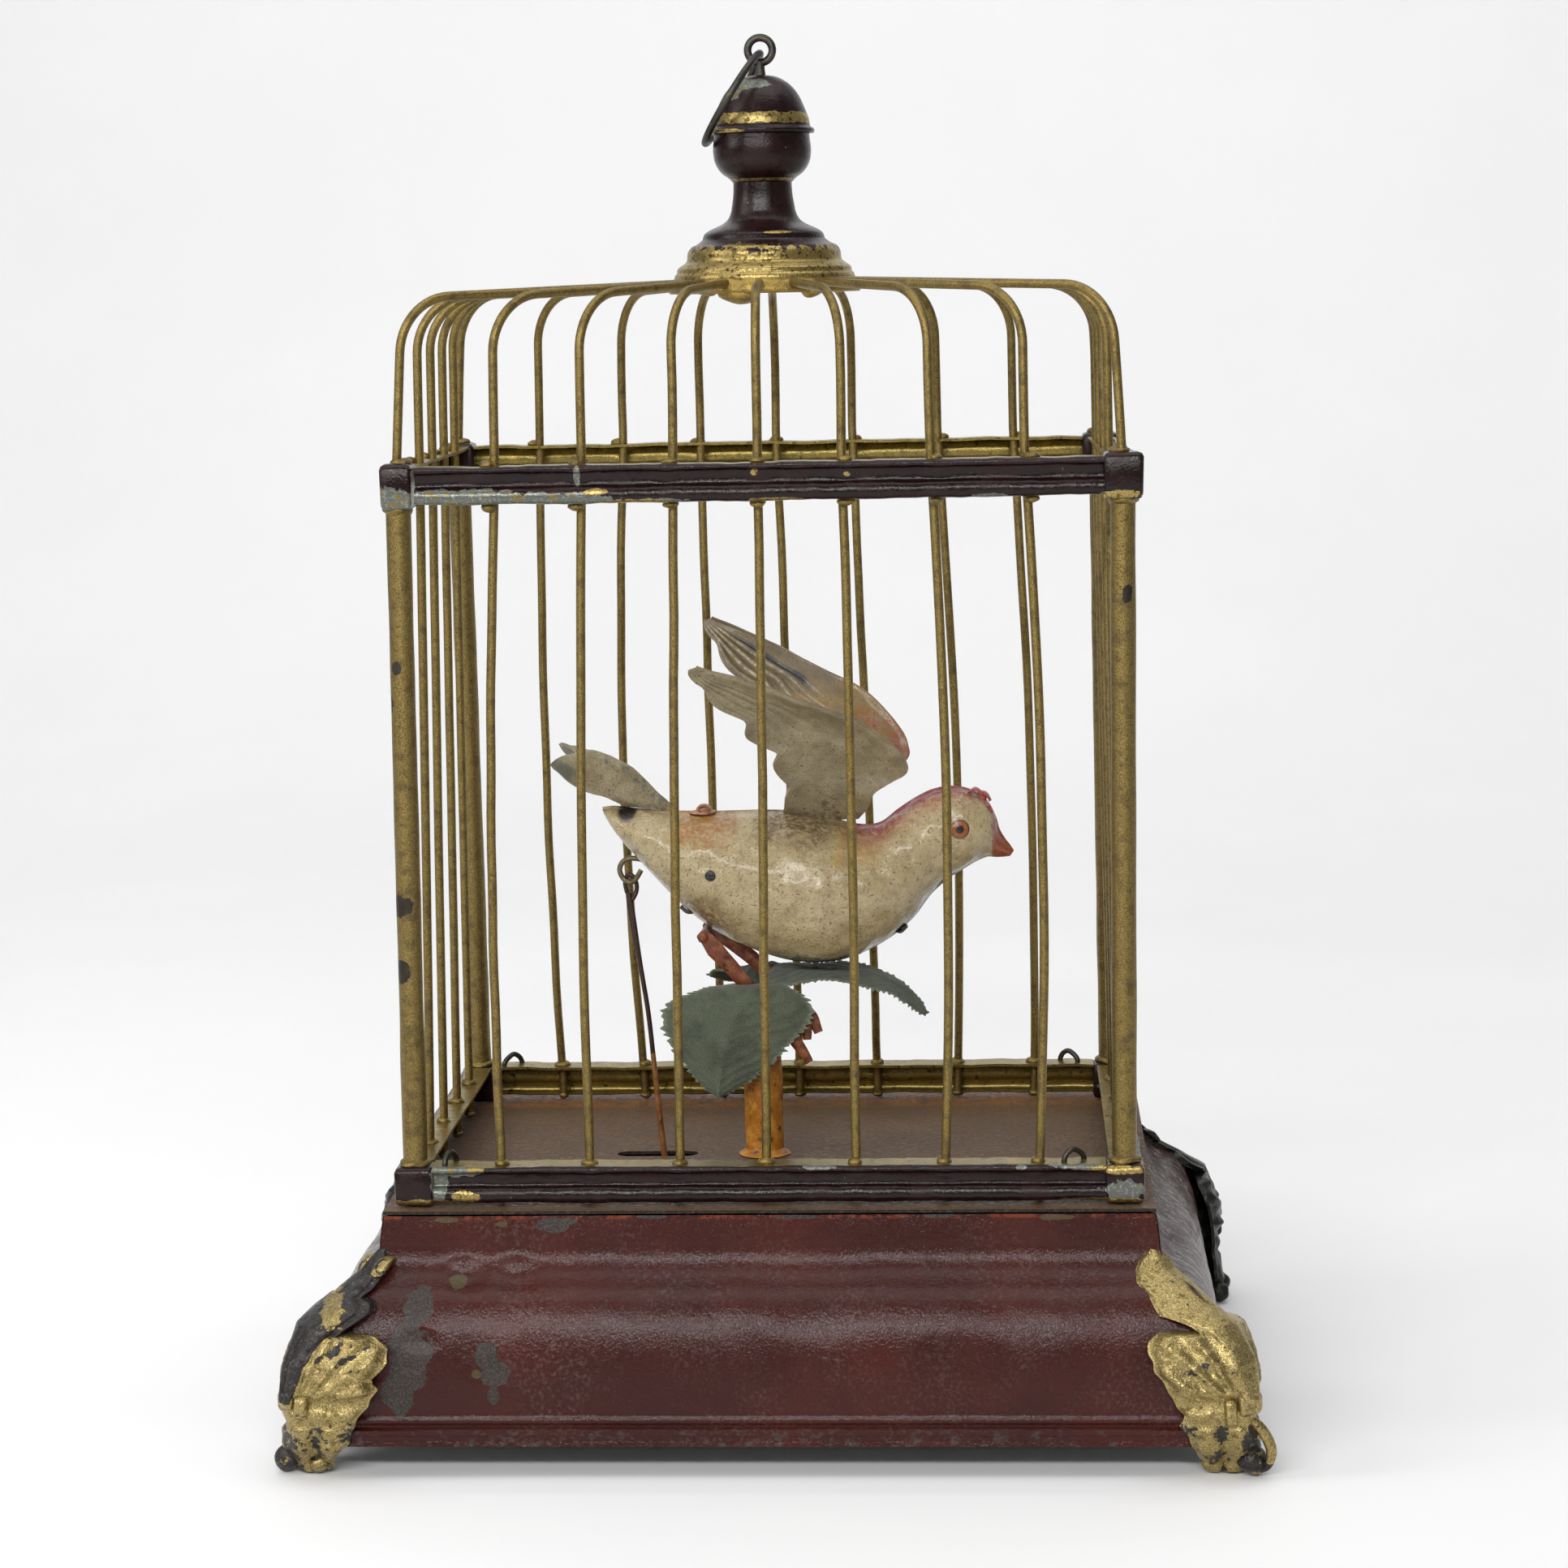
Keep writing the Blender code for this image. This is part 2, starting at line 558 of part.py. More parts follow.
def rail_section():
    """The moulded rail's sheet, as reach beyond the posts' plane and height above its foot."""
    h = RAIL_HEIGHT
    r = RAIL_OUTSIDE
    outer = [(-RAIL_INSIDE, h), (r, h), (r + 0.5 * MM, h - 0.5 * MM), (r + 0.4 * MM, h - 1.2 * MM),
             (r - 0.3 * MM, h - 1.8 * MM), (r - 0.6 * MM, h - 2.9 * MM), (r - 0.3 * MM, h - 3.9 * MM),
             (r + 0.4 * MM, 1.9 * MM), (r + 0.8 * MM, 1.1 * MM), (r + 0.4 * MM, 0.3 * MM), (r - 0.4 * MM, 0.0)]
    return outer + offset_line(outer, -RAIL_SHEET)[::-1]


def bar_places(spaces, length):
    """Where the wires stand between two posts."""
    return [length * (i / spaces - 0.5) for i in range(1, spaces)]


def make_rails():
    """Lower rails with holes for the wires, and upper rails soldered to theirs."""
    section = rail_section()
    sides = {"front": (0, -1), "back": (0, 1), "left": (-1, 0), "right": (1, 0)}
    for side, (sx, sy) in sides.items():
        reach = (CAGE_WIDTH if sx else CAGE_DEPTH) / 2
        run = (CAGE_DEPTH if sx else CAGE_WIDTH) / 2 - BLOCK_HALF - CLEARANCE
        places = bar_places(SIDE_SPACES if sx else FRONT_SPACES, CAGE_DEPTH if sx else CAGE_WIDTH)
        stands = [(sx * reach, at) if sx else (at, sy * reach) for at in places]
        for level, name in ((LOWER_RAIL, "lower_rail_"), (UPPER_RAIL, "cage_side_")):
            ends = []
            for way in (-run, run):
                if sx:
                    ends.append([(sx * (reach + out), way, level + z) for out, z in section])
                else:
                    ends.append([(way, sy * (reach + out), level + z) for out, z in section])
            rail = solid(name + side, loft(ends), "maroon_lacquer" if level == LOWER_RAIL else "gilt_wire")
            if level == LOWER_RAIL:
                holes = [rod((x, y, level + RAIL_HEIGHT - 3 * RAIL_SHEET), (x, y, level + RAIL_HEIGHT + RAIL_SHEET),
                             WIRE_RADIUS + CLEARANCE, WIRE_SIDES) for x, y in stands]
                boolean(rail, name + side + "_cutter", joined(holes), "DIFFERENCE")
            else:
                wires = [dome_wire(x, y, BASE_TOP + 3 * CLEARANCE) for x, y in stands]
                boolean(rail, name + side + "_joiner", joined(wires), "UNION")


def dome_wire(x, y, foot):
    """One wire: up from its foot, over the shoulder and in to the hub."""
    inward = Vector((-x, -y, 0)).normalized()
    start = Vector((x, y, UPPER_RAIL_TOP + BLOCK_RISE))
    shoulder = Vector((x, y, UPPER_RAIL_TOP + DOME_SHOULDER)) + inward * DOME_LEAN
    end = -inward * SPOKE_END + Vector((0, 0, HUB_AXIS))
    rise = (start - shoulder).normalized()
    run = (end - shoulder).normalized()
    corner = rise.angle(run)
    cut = DOME_BEND / math.tan(corner / 2)
    middle = shoulder + (rise + run).normalized() * DOME_BEND / math.sin(corner / 2)
    first = shoulder + rise * cut - middle
    last = shoulder + run * cut - middle
    sweep = first.angle(last)
    path = [Vector((x, y, foot)), start]
    for i in range(4):
        t = i / 3
        path.append(middle + (first * math.sin((1 - t) * sweep) + last * math.sin(t * sweep)) / math.sin(sweep))
    path.append(end)
    return tube(path, WIRE_RADIUS, WIRE_SIDES)


def make_corners():
    """Corner blocks of the lower rails, and posts soldered to their upper blocks and ribs."""
    low = (BASE_TOP + CLEARANCE, LOWER_RAIL_TOP)
    high = (UPPER_RAIL - BLOCK_RISE, UPPER_RAIL_TOP + BLOCK_RISE)
    names = {(-1, -1): "front_left", (1, -1): "front_right", (-1, 1): "back_left", (1, 1): "back_right"}
    for (sx, sy), name in names.items():
        x = sx * CAGE_WIDTH / 2
        y = sy * CAGE_DEPTH / 2
        block = solid("corner_block_" + name, box((x - BLOCK_HALF, y - BLOCK_HALF, low[0]),
                                                  (x + BLOCK_HALF, y + BLOCK_HALF, low[1])),
                      "maroon_lacquer", smooth=False)
        seat = rod((x, y, low[1] - POST_SEAT), (x, y, low[1] + SHEET), POST_RADIUS + CLEARANCE, 8)
        boolean(block, "post_seat_cutter_" + name, seat, "DIFFERENCE")

        foot = low[1] + CLEARANCE
        head = high[0]
        levels = [low[1] - POST_SEAT + CLEARANCE, foot, foot, foot + 3 * POST_SOLDER, foot + 6 * POST_SOLDER,
                  head - 3 * POST_SOLDER, head + POST_SOLDER]
        swell = [0, 0, POST_SOLDER, POST_SOLDER * 0.4, 0, 0, POST_SOLDER]
        post = solid("corner_post_" + name, tube([(x, y, z) for z in levels], [POST_RADIUS + s for s in swell], 8),
                     "gilt_wire")
        boolean(post, "post_block_joiner_" + name, box((x - BLOCK_HALF, y - BLOCK_HALF, high[0]),
                                                       (x + BLOCK_HALF, y + BLOCK_HALF, high[1])), "UNION")
        boolean(post, "rib_joiner_" + name, dome_wire(x, y, high[1] - POST_SEAT), "UNION")


def make_finial():
    disc = HUB_AXIS - WIRE_RADIUS - CLEARANCE
    solid("hub_disc", turned([(2 * MM, -HUB_SHEET), (HUB_RADIUS, -HUB_SHEET), (HUB_RADIUS, 0), (2 * MM, 0)],
                             (0, 0, disc)), "gilt_tin")
    foot = [(r * MM, h * MM) for r, h in FINIAL_FOOT]
    hollow = [(r - FINIAL_WALL, max(h - FINIAL_WALL * 0.5, 0.0)) for r, h in foot[:-2]]
    stem = [(foot[-2][0] - FINIAL_WALL, foot[-1][1]), (foot[-2][0] - FINIAL_WALL, foot[-2][1])]
    solid("finial_foot", turned(foot + stem + hollow[::-1], (0, 0, FINIAL_BASE)), "maroon_lacquer")
    cup = [(r * MM, h * MM) for r, h in FINIAL_CUP]
    bowl = [(r - FINIAL_WALL, h) for r, h in cup]
    solid("finial_cup", turned(cup + bowl[::-1], (0, 0, CUP_BASE)), "maroon_lacquer")
    cap = [(r * MM, h * MM) for r, h in FINIAL_CAP]
    under = [(r - FINIAL_WALL * 0.8, max(h - FINIAL_WALL, 0.0)) for r, h in cap[1:]]
    rim = (cap[0][0] - FINIAL_WALL, 0.0)
    solid("finial_cap", turned(cup_mouth(cap) + under[::-1][:-1] + [rim], (0, 0, CAP_BASE)), "maroon_lacquer")

    eye = arc((0, 0, EYE_CENTRE), (1, 0, 0), (0, 0, 1), EYE_RADIUS, 0, 2 * math.pi, 12)[:-1]
    loop = solid("hanger_eye", tube(eye, EYE_WIRE, 6, closed=True), "iron_wire")
    neck = rod((0, 0, CAP_TOP + CLEARANCE), (0, 0, EYE_CENTRE - EYE_RADIUS), EYE_WIRE, 6)
    boolean(loop, "eye_neck_joiner", neck, "UNION")

    down = Vector((-math.sin(RING_LEAN), 0, -math.cos(RING_LEAN)))
    centre = Vector((0, 0, RING_PIVOT)) + down * RING_RADIUS
    ring = arc(centre, down, (0, 1, 0), RING_RADIUS, 0, 2 * math.pi, 28)[:-1]
    solid("hanging_ring", tube(ring, RING_WIRE, 6, closed=True), "iron_wire", origin=(0, 0, RING_PIVOT))


def cup_mouth(cap):
    """The cap's outer line, closed at the top by a small neck for the eye."""
    return cap + [(cap[-1][0] * 0.4, cap[-1][1])]


def bird_point(x, y, z):
    return (PIVOT_X + x, PLANE_Y + y, PIVOT_Z + z)


def bird_section(x, wall):
    """Middle height, half height and half breadth of the bird's body, one wall inside its face."""
    top = smooth_at(BIRD_BACK, x)
    bottom = smooth_at(BIRD_BELLY, x)
    wide = smooth_at(BIRD_BREADTH, x)
    least = 0.12 * MM
    return (top + bottom) / 2, max((top - bottom) / 2 - wall, least), max(wide - wall, least)


def bird_half(side):
    """One stamped half of the body, open at the seam."""
    first = BIRD_BACK[0][0] * MM
    last = BIRD_BACK[-1][0] * MM
    skins = []
    for wall, inset in ((0.0, 0.0), (BIRD_WALL, 2.5 * BIRD_WALL)):
        rows = []
        for i in range(BIRD_STATIONS + 1):
            t = i / BIRD_STATIONS
            x = first + inset + (last - first - 2 * inset) * (t + 0.03 * math.sin(2 * math.pi * t))
            middle, high, wide = bird_section(x, wall)
            row = []
            for k in range(BIRD_ROUND + 1):
                turn = math.pi * (k / BIRD_ROUND - 0.5)
                y = side * (BIRD_SEAM / 2 + wide * math.cos(turn))
                row.append(bird_point(x, y, middle + high * math.sin(turn)))
            rows.append(row)
        skins.append(rows)
    count = BIRD_ROUND + 1
    half = (BIRD_STATIONS + 1) * count
    points = [p for rows in skins for row in rows for p in row]
    faces = []
    for i in range(BIRD_STATIONS):
        for k in range(BIRD_ROUND):
            quad = [i * count + k, i * count + k + 1, (i + 1) * count + k + 1, (i + 1) * count + k]
            faces.append(quad)
            faces.append([half + n for n in reversed(quad)])
        for k in (0, BIRD_ROUND):
            here = i * count + k
            nxt = here + count
            faces.append([here, nxt, half + nxt, half + here])
    for i in (0, BIRD_STATIONS):
        ring = [i * count + k for k in range(count)]
        faces.append(ring)
        faces.append([half + n for n in reversed(ring)])
        faces.append([ring[0], ring[-1], half + ring[-1], half + ring[0]])
    return points, faces


def make_bird():
    pivot = (PIVOT_X, PLANE_Y, PIVOT_Z)
    hole = rod(bird_point(WIRE_HOLE_X, -20 * MM, WIRE_HOLE_Z), bird_point(WIRE_HOLE_X, 20 * MM, WIRE_HOLE_Z),
               WIRE_HOLE_RADIUS, 8)
    lug_outline = [(PIVOT_X - LUG_RADIUS, PIVOT_Z + LUG_RISE), (PIVOT_X - LUG_RADIUS, PIVOT_Z)]
    lug_outline += circle((PIVOT_X, PIVOT_Z), LUG_RADIUS, 7, math.pi * 1.08, math.pi * 1.92)
    lug_outline += [(PIVOT_X + LUG_RADIUS, PIVOT_Z), (PIVOT_X + 2 * LUG_RADIUS, PIVOT_Z + LUG_RISE)]
    bore = rod((PIVOT_X, PLANE_Y - LEG_SPREAD * 2, PIVOT_Z), (PIVOT_X, PLANE_Y + LEG_SPREAD * 2, PIVOT_Z),
               PIN_RADIUS + CLEARANCE, 8)
    for name, side in (("right", -1), ("left", 1)):
        half = solid("bird_body_" + name, bird_half(side), "bird_cream", origin=pivot)
        near = PLANE_Y + side * BIRD_SEAM / 2
        far = PLANE_Y + side * (BIRD_SEAM / 2 + LUG_SHEET)
        boolean(half, "lug_joiner_" + name, prism(lug_outline, near, far), "UNION")
        boolean(half, "lug_bore_cutter_" + name, bore, "DIFFERENCE")
        boolean(half, "wire_hole_cutter_" + name, hole, "DIFFERENCE")
    solid("leg_pin", rod((PIVOT_X, PLANE_Y - LEG_SPREAD - LEG_SHEET - PIN_HEAD, PIVOT_Z),
                         (PIVOT_X, PLANE_Y + LEG_SPREAD + LEG_SHEET + PIN_HEAD, PIVOT_Z), PIN_RADIUS, 8),
          "iron_wire")

    for name, side, lean in (("right", -1, WING_LEAN_RIGHT), ("left", 1, WING_LEAN_LEFT)):
        solid("wing_" + name, wing(side, lean), "bird_cream", origin=pivot)
    grid = []
    for fold, edge, spread in zip(TAIL_FOLD, TAIL_EDGE, TAIL_SPREAD):
        row = []
        for part, side in ((1, -1), (0.5, -1), (0, 0), (0.5, 1), (1, 1)):
            x = fold[0] + (edge[0] - fold[0]) * part
            z = fold[1] + (edge[1] - fold[1]) * part + 0.8 * math.sin(part * math.pi)
            row.append(bird_point(x * MM, side * spread * part * MM, z * MM + TAIL_SHEET / 2 + CLEARANCE))
        grid.append(row)
    solid("bird_tail", sheet(grid, TAIL_SHEET), "bird_cream", origin=pivot)


def wing(side, lean):
    """One stamped wing, hollowed and leaning out from the bird's back."""
    grid = []
    low = [row[1] for row in WING_BACK_EDGE]
    for i in range(WING_ROWS + 1):
        t = i / WING_ROWS
        row = []
        back_at = low[0] + (low[-1] - low[0]) * t
        front_at = WING_FRONT_EDGE[0][1] + (WING_FRONT_EDGE[-1][1] - WING_FRONT_EDGE[0][1]) * t
        back = np.interp(back_at, low, [p[0] for p in WING_BACK_EDGE])
        front = np.interp(front_at, [p[1] for p in WING_FRONT_EDGE], [p[0] for p in WING_FRONT_EDGE])
        for k in range(5):
            share = k / 4
            x = (back + (front - back) * share) * MM
            rise = (back_at + (front_at - back_at) * share) * MM
            dish = WING_CAMBER * math.sin(math.pi * share) * math.sin(math.pi * min(t * 1.1, 1.0))
            y = side * (WING_ROOT_Y + rise * math.sin(lean) - dish * math.cos(lean))
            z = WING_ROOT_Z + rise * math.cos(lean) + dish * math.sin(lean)
            row.append(bird_point(x, y, z))
        grid.append(row)
    return sheet(grid, WING_SHEET)


def hook_eye():
    return Vector(bird_point(HOOK_EYE_X, 0, HOOK_EYE_Z))


def make_rod():
    """The wire hook under the tail, and the push rod that hangs from it down to the crank."""
    eye = hook_eye()
    bend = eye + Vector((0, 0, HOOK_RADIUS))
    root = Vector(bird_point(HOOK_ROOT_X, 0, smooth_at(BIRD_BELLY, HOOK_ROOT_X)))
    stand = Vector((-1, 0, -0.9)).normalized() * (HOOK_WIRE + CLEARANCE)
    over = arc(bend, (1, 0, 0), (0, 0, 1), HOOK_RADIUS, math.radians(65), math.radians(270), 8)
    path = [root + stand, root + stand * 1.5 + Vector((0, 0, HOOK_RADIUS * 0.35))] + over
    path.append(eye + Vector((HOOK_RADIUS * 0.7, 0, HOOK_WIRE * 0.3)))
    solid("tail_hook", tube(path, HOOK_WIRE, 6), "iron_wire", origin=(PIVOT_X, PLANE_Y, PIVOT_Z))

    sag = ROD_LOOP - ROD_WIRE - HOOK_WIRE - CLEARANCE
    loop = eye - Vector((0, 0, sag))
    pin = Vector((CRANK_PIN_X, PLANE_Y, CRANK_PIN_Z))
    eyelet = CRANK_PIN + CLEARANCE + ROD_LOWER_WIRE
    down = (pin - loop).normalized()
    top = arc(loop, (0, 1, 0), (0, 0, 1), ROD_LOOP, math.radians(-45), math.radians(270), 12)
    foot = pin - down * eyelet
    joint = loop + (foot - loop) * min(ROD_SWELL / (loop - foot).length, 0.9)
    side = Vector((-down.z, 0, down.x))
    low = arc(pin, -down, side, eyelet, 0, math.radians(290), 12)
    straight = [top[-1] + down * ROD_LOOP, joint, joint + down * ROD_LOWER_WIRE, foot - down * ROD_LOWER_WIRE]
    path = top + straight + low
    radii = [ROD_WIRE] * (len(top) + 2) + [ROD_LOWER_WIRE] * (len(low) + 2)
    solid("push_rod", tube(path, radii, 6), "iron_wire", origin=eye)


def make_perch():
    bore = PERCH_RADIUS - SHEET
    foot = BASE_TOP + CLEARANCE
    tube_line = [(bore, foot), (PERCH_FLANGE, foot), (PERCH_FLANGE, foot + SHEET), (PERCH_RADIUS, foot + 2 * SHEET),
                 (PERCH_RADIUS, PERCH_TOP_Z), (bore, PERCH_TOP_Z)]
    solid("perch_post", turned(tube_line, (PERCH_X, PLANE_Y, 0), 14), "ochre_paint")

    seat = PERCH_TOP_Z + CLEARANCE
    half = LEG_WIDTH / 2
    pivot = Vector((PIVOT_X, 0, PIVOT_Z))
    crotch = Vector((PERCH_X, 0, seat + LEG_WIDTH * 1.6))
    along = (pivot - crotch).normalized()
    out = Vector((-along.z, 0, along.x)) * half
    tip = along * half
    outline = [crotch - out, pivot - out, pivot + tip, pivot + out, crotch + out,
               Vector((PERCH_X - half * 1.3, 0, seat)), Vector((PERCH_X + half * 1.6, 0, seat))]
    outline = [(p.x, p.z) for p in outline]
    toes = []
    for reach, fall, rise in ((9.2, -9.6, 1.4), (9.8, -4.6, 3.4)):
        toes.append([(PERCH_X + half * 1.2, seat + LEG_WIDTH * 1.2 + rise * MM),
                     (PERCH_X + half * 1.2, seat + rise * MM * 0.4),
                     (PERCH_X + (reach - 1.6) * MM, seat + fall * MM),
                     (PERCH_X + reach * MM, seat + (fall - 0.4) * MM)])
    shank = rod((PERCH_X, PLANE_Y, PERCH_TOP_Z - LEG_SHANK), (PERCH_X, PLANE_Y, seat + LEG_WIDTH / 2),
                bore - CLEARANCE, 10)
    legs = solid("bird_legs", shank, "leg_paint")
    bridge = box((PERCH_X - half * 1.3, PLANE_Y - LEG_SPREAD - LEG_SHEET / 2, seat),
                 (PERCH_X + half * 1.3, PLANE_Y + LEG_SPREAD + LEG_SHEET / 2, seat + LEG_WIDTH * 0.8))
    boolean(legs, "leg_bridge_joiner", bridge, "UNION")
    for name, side in (("right", -1), ("left", 1)):
        y = PLANE_Y + side * LEG_SPREAD
        boolean(legs, "leg_joiner_" + name, prism(outline, y - LEG_SHEET, y + LEG_SHEET), "UNION")
        thin = LEG_SHEET * 0.7
        for k, toe in enumerate(toes):
            boolean(legs, "toe_joiner_%s_%d" % (name, k), prism(toe, y - thin, y + thin), "UNION")
    boolean(legs, "leg_bore_cutter", rod((PIVOT_X, PLANE_Y - 3 * LEG_SPREAD, PIVOT_Z),
                                         (PIVOT_X, PLANE_Y + 3 * LEG_SPREAD, PIVOT_Z), PIN_RADIUS + CLEARANCE, 8),
            "DIFFERENCE")
    make_leaves(seat)


def make_leaves(seat):
    """Three leaves set round the top of the post: hanging in front, arched to the right, spread behind."""
    front = PLANE_Y - LEG_SPREAD - LEG_SHEET - CLEARANCE - LEAF_SHEET / 2
    rows = [(3.6, -12.4, 4.2), (1.6, -17.2, 9.2), (-1.2, -17.8, 9.3), (-4.2, -16.6, 6.4), (-7.4, -14.6, 3.4),
            (-10.6, -12.4, 0.0), (-13.0, -10.8, -3.2), (-15.4, -8.6, -6.6)]
    grid = []
    for k, (z, left, right) in enumerate(rows):
        row = []
        for share in (0, 0.25, 0.5, 0.75, 1):
            x = (left + (right - left) * share) * MM
            y = front - (0.25 * k + 1.4 * abs(share - 0.5)) * MM
            row.append((PERCH_X + x, y, seat + z * MM))
        grid.append(row)
    solid("leaf_front", sheet(grid, LEAF_SHEET), "leaf_cloth")

    arch = [(3.2, 5.3, 1.6), (5.4, 5.6, 4.0), (9.0, 5.6, 6.0), (14.0, 5.5, 6.2), (19.0, 4.4, 5.6), (24.0, 2.3, 4.2),
            (28.0, -0.6, 2.4), (30.6, -3.0, 0.6)]
    middle = PLANE_Y + 1.0 * MM
    grid = []
    for x, z, wide in arch:
        row = []
        for share in (-1, -0.5, 0, 0.5, 1):
            row.append((PERCH_X + x * MM, middle + share * wide * MM, seat + (z - 0.9 * share * share) * MM))
        grid.append(row)
    solid("leaf_right", sheet(grid, LEAF_SHEET), "leaf_cloth")

    near = PLANE_Y + LEG_SPREAD + LEG_SHEET + CLEARANCE
    grid = []
    for x, z, wide in ((-10.6, 4.4, 0.8), (-7.0, 4.3, 3.4), (-3.0, 4.0, 5.4), (2.0, 3.6, 6.2), (7.0, 3.2, 5.4),
                       (10.6, 2.8, 3.0), (12.8, 2.4, 0.8)):
        row = []
        for share in (0, 0.33, 0.67, 1):
            row.append((PERCH_X + x * MM, near + share * 2 * wide * MM, seat + (z - 3.2 * share * share) * MM))
        grid.append(row)
    solid("leaf_back", sheet(grid, LEAF_SHEET), "leaf_cloth")


def worm_radius(along):
    """The worm's radius at one place on its pitch: a flat thread with sloping flanks."""
    place = abs(((along / WORM_PITCH + 0.5) % 1.0) - 0.5)
    return float(np.interp(place, [0.0, 0.09, 0.24, 0.5], [WORM_OUTER, WORM_OUTER, WORM_ROOT, WORM_ROOT]))


def worm_shaft():
    """The crank shaft with its right-handed worm, centred over the wheel."""
    sides = 12
    reach = WORM_TURNS * WORM_PITCH / 2
    levels = [CYLINDER_Y - reach + 2 * reach * i / (8 * WORM_TURNS) for i in range(8 * WORM_TURNS + 1)]
    rings = []

    def ring(y, radius_at):
        found = []
        for k in range(sides):
            turn = 2 * math.pi * k / sides
            r = radius_at(turn)
            found.append((CRANK_X + r * math.sin(turn), y, CRANK_HEIGHT + r * math.cos(turn)))
        return found

    def plain(turn):
        return SHAFT_RADIUS

    rings.append(ring(SHAFT_Y, plain))
    rings.append(ring(levels[0] - WORM_PITCH / 4, plain))
    for y in levels:
        rings.append(ring(y, lambda turn: worm_radius(y - CYLINDER_Y - WORM_PITCH * (turn / (2 * math.pi) - 0.5))))
    rings.append(ring(levels[-1] + WORM_PITCH / 4, plain))
    rings.append(ring(ARM_Y - CLEARANCE, plain))
    return loft(rings)


def make_crank():
    axis = (CRANK_X, 0, CRANK_HEIGHT)
    solid("crank_shaft", worm_shaft(), "steel", origin=axis)
    disc = solid("crank_disc", rod((CRANK_X, DISC_Y, CRANK_HEIGHT), (CRANK_X, DISC_Y + DISC_THICK, CRANK_HEIGHT),
                                   DISC_RADIUS, 20), "brass", origin=axis)
    pin = rod((CRANK_PIN_X, PIN_END_Y, CRANK_PIN_Z), (CRANK_PIN_X, DISC_Y + DISC_THICK / 2, CRANK_PIN_Z),
              CRANK_PIN, 8)
    boolean(disc, "crank_pin_joiner", pin, "UNION")

    knob_z = CRANK_HEIGHT - ARM_RADIUS
    outline = circle((CRANK_X, CRANK_HEIGHT), ARM_BOSS, 9, 0.0, math.pi)
    outline += circle((CRANK_X, knob_z), ARM_END, 9, math.pi, 2 * math.pi)
    arm = solid("crank_arm", prism(outline, ARM_Y, ARM_Y + ARM_THICK), "steel", origin=axis)
    end = KNOB_END_Y + CLEARANCE
    rivet = [(RIVET_RADIUS, ARM_Y + ARM_THICK / 2), (RIVET_RADIUS, end), (RIVET_HEAD, end),
             (RIVET_HEAD, end + RIVET_HEAD_THICK / 2), (RIVET_HEAD / 2, BACK_Y)]
    rings = [[(a, y, b) for a, b in circle((CRANK_X, knob_z), r, 12)] for r, y in rivet]
    boolean(arm, "rivet_joiner", loft(rings), "UNION")

    bore = RIVET_RADIUS + CLEARANCE
    line = [(bore, 0.0), (0.62, 0.0), (0.58, 0.16), (0.86, 0.42), (1.0, 0.68), (0.9, 0.92), (0.62, 1.0), (bore, 1.0)]
    rings = []
    for k in range(14):
        t = 2 * math.pi * k / 14
        ring = []
        for r, h in line:
            r = r if r == bore else r * KNOB_RADIUS
            ring.append((CRANK_X + r * math.cos(t), KNOB_Y + h * KNOB_LENGTH, knob_z + r * math.sin(t)))
        rings.append(ring)
    solid("crank_knob", loft(rings, closed=True), "knob_wood", origin=(CRANK_X, KNOB_Y, knob_z))

    bush_out = SHAFT_RADIUS + CLEARANCE + BUSH_WALL
    low = FLOOR_HALF_Y - 2 * SHEET
    high = ARM_Y - CLEARANCE
    rings = []
    for k in range(12):
        t = 2 * math.pi * k / 12
        line = [(SHAFT_RADIUS + CLEARANCE, low), (bush_out, low), (bush_out, high), (SHAFT_RADIUS + CLEARANCE, high)]
        rings.append([(CRANK_X + r * math.cos(t), y, CRANK_HEIGHT + r * math.sin(t)) for r, y in line])
    solid("crank_bush", loft(rings, closed=True), "brass")


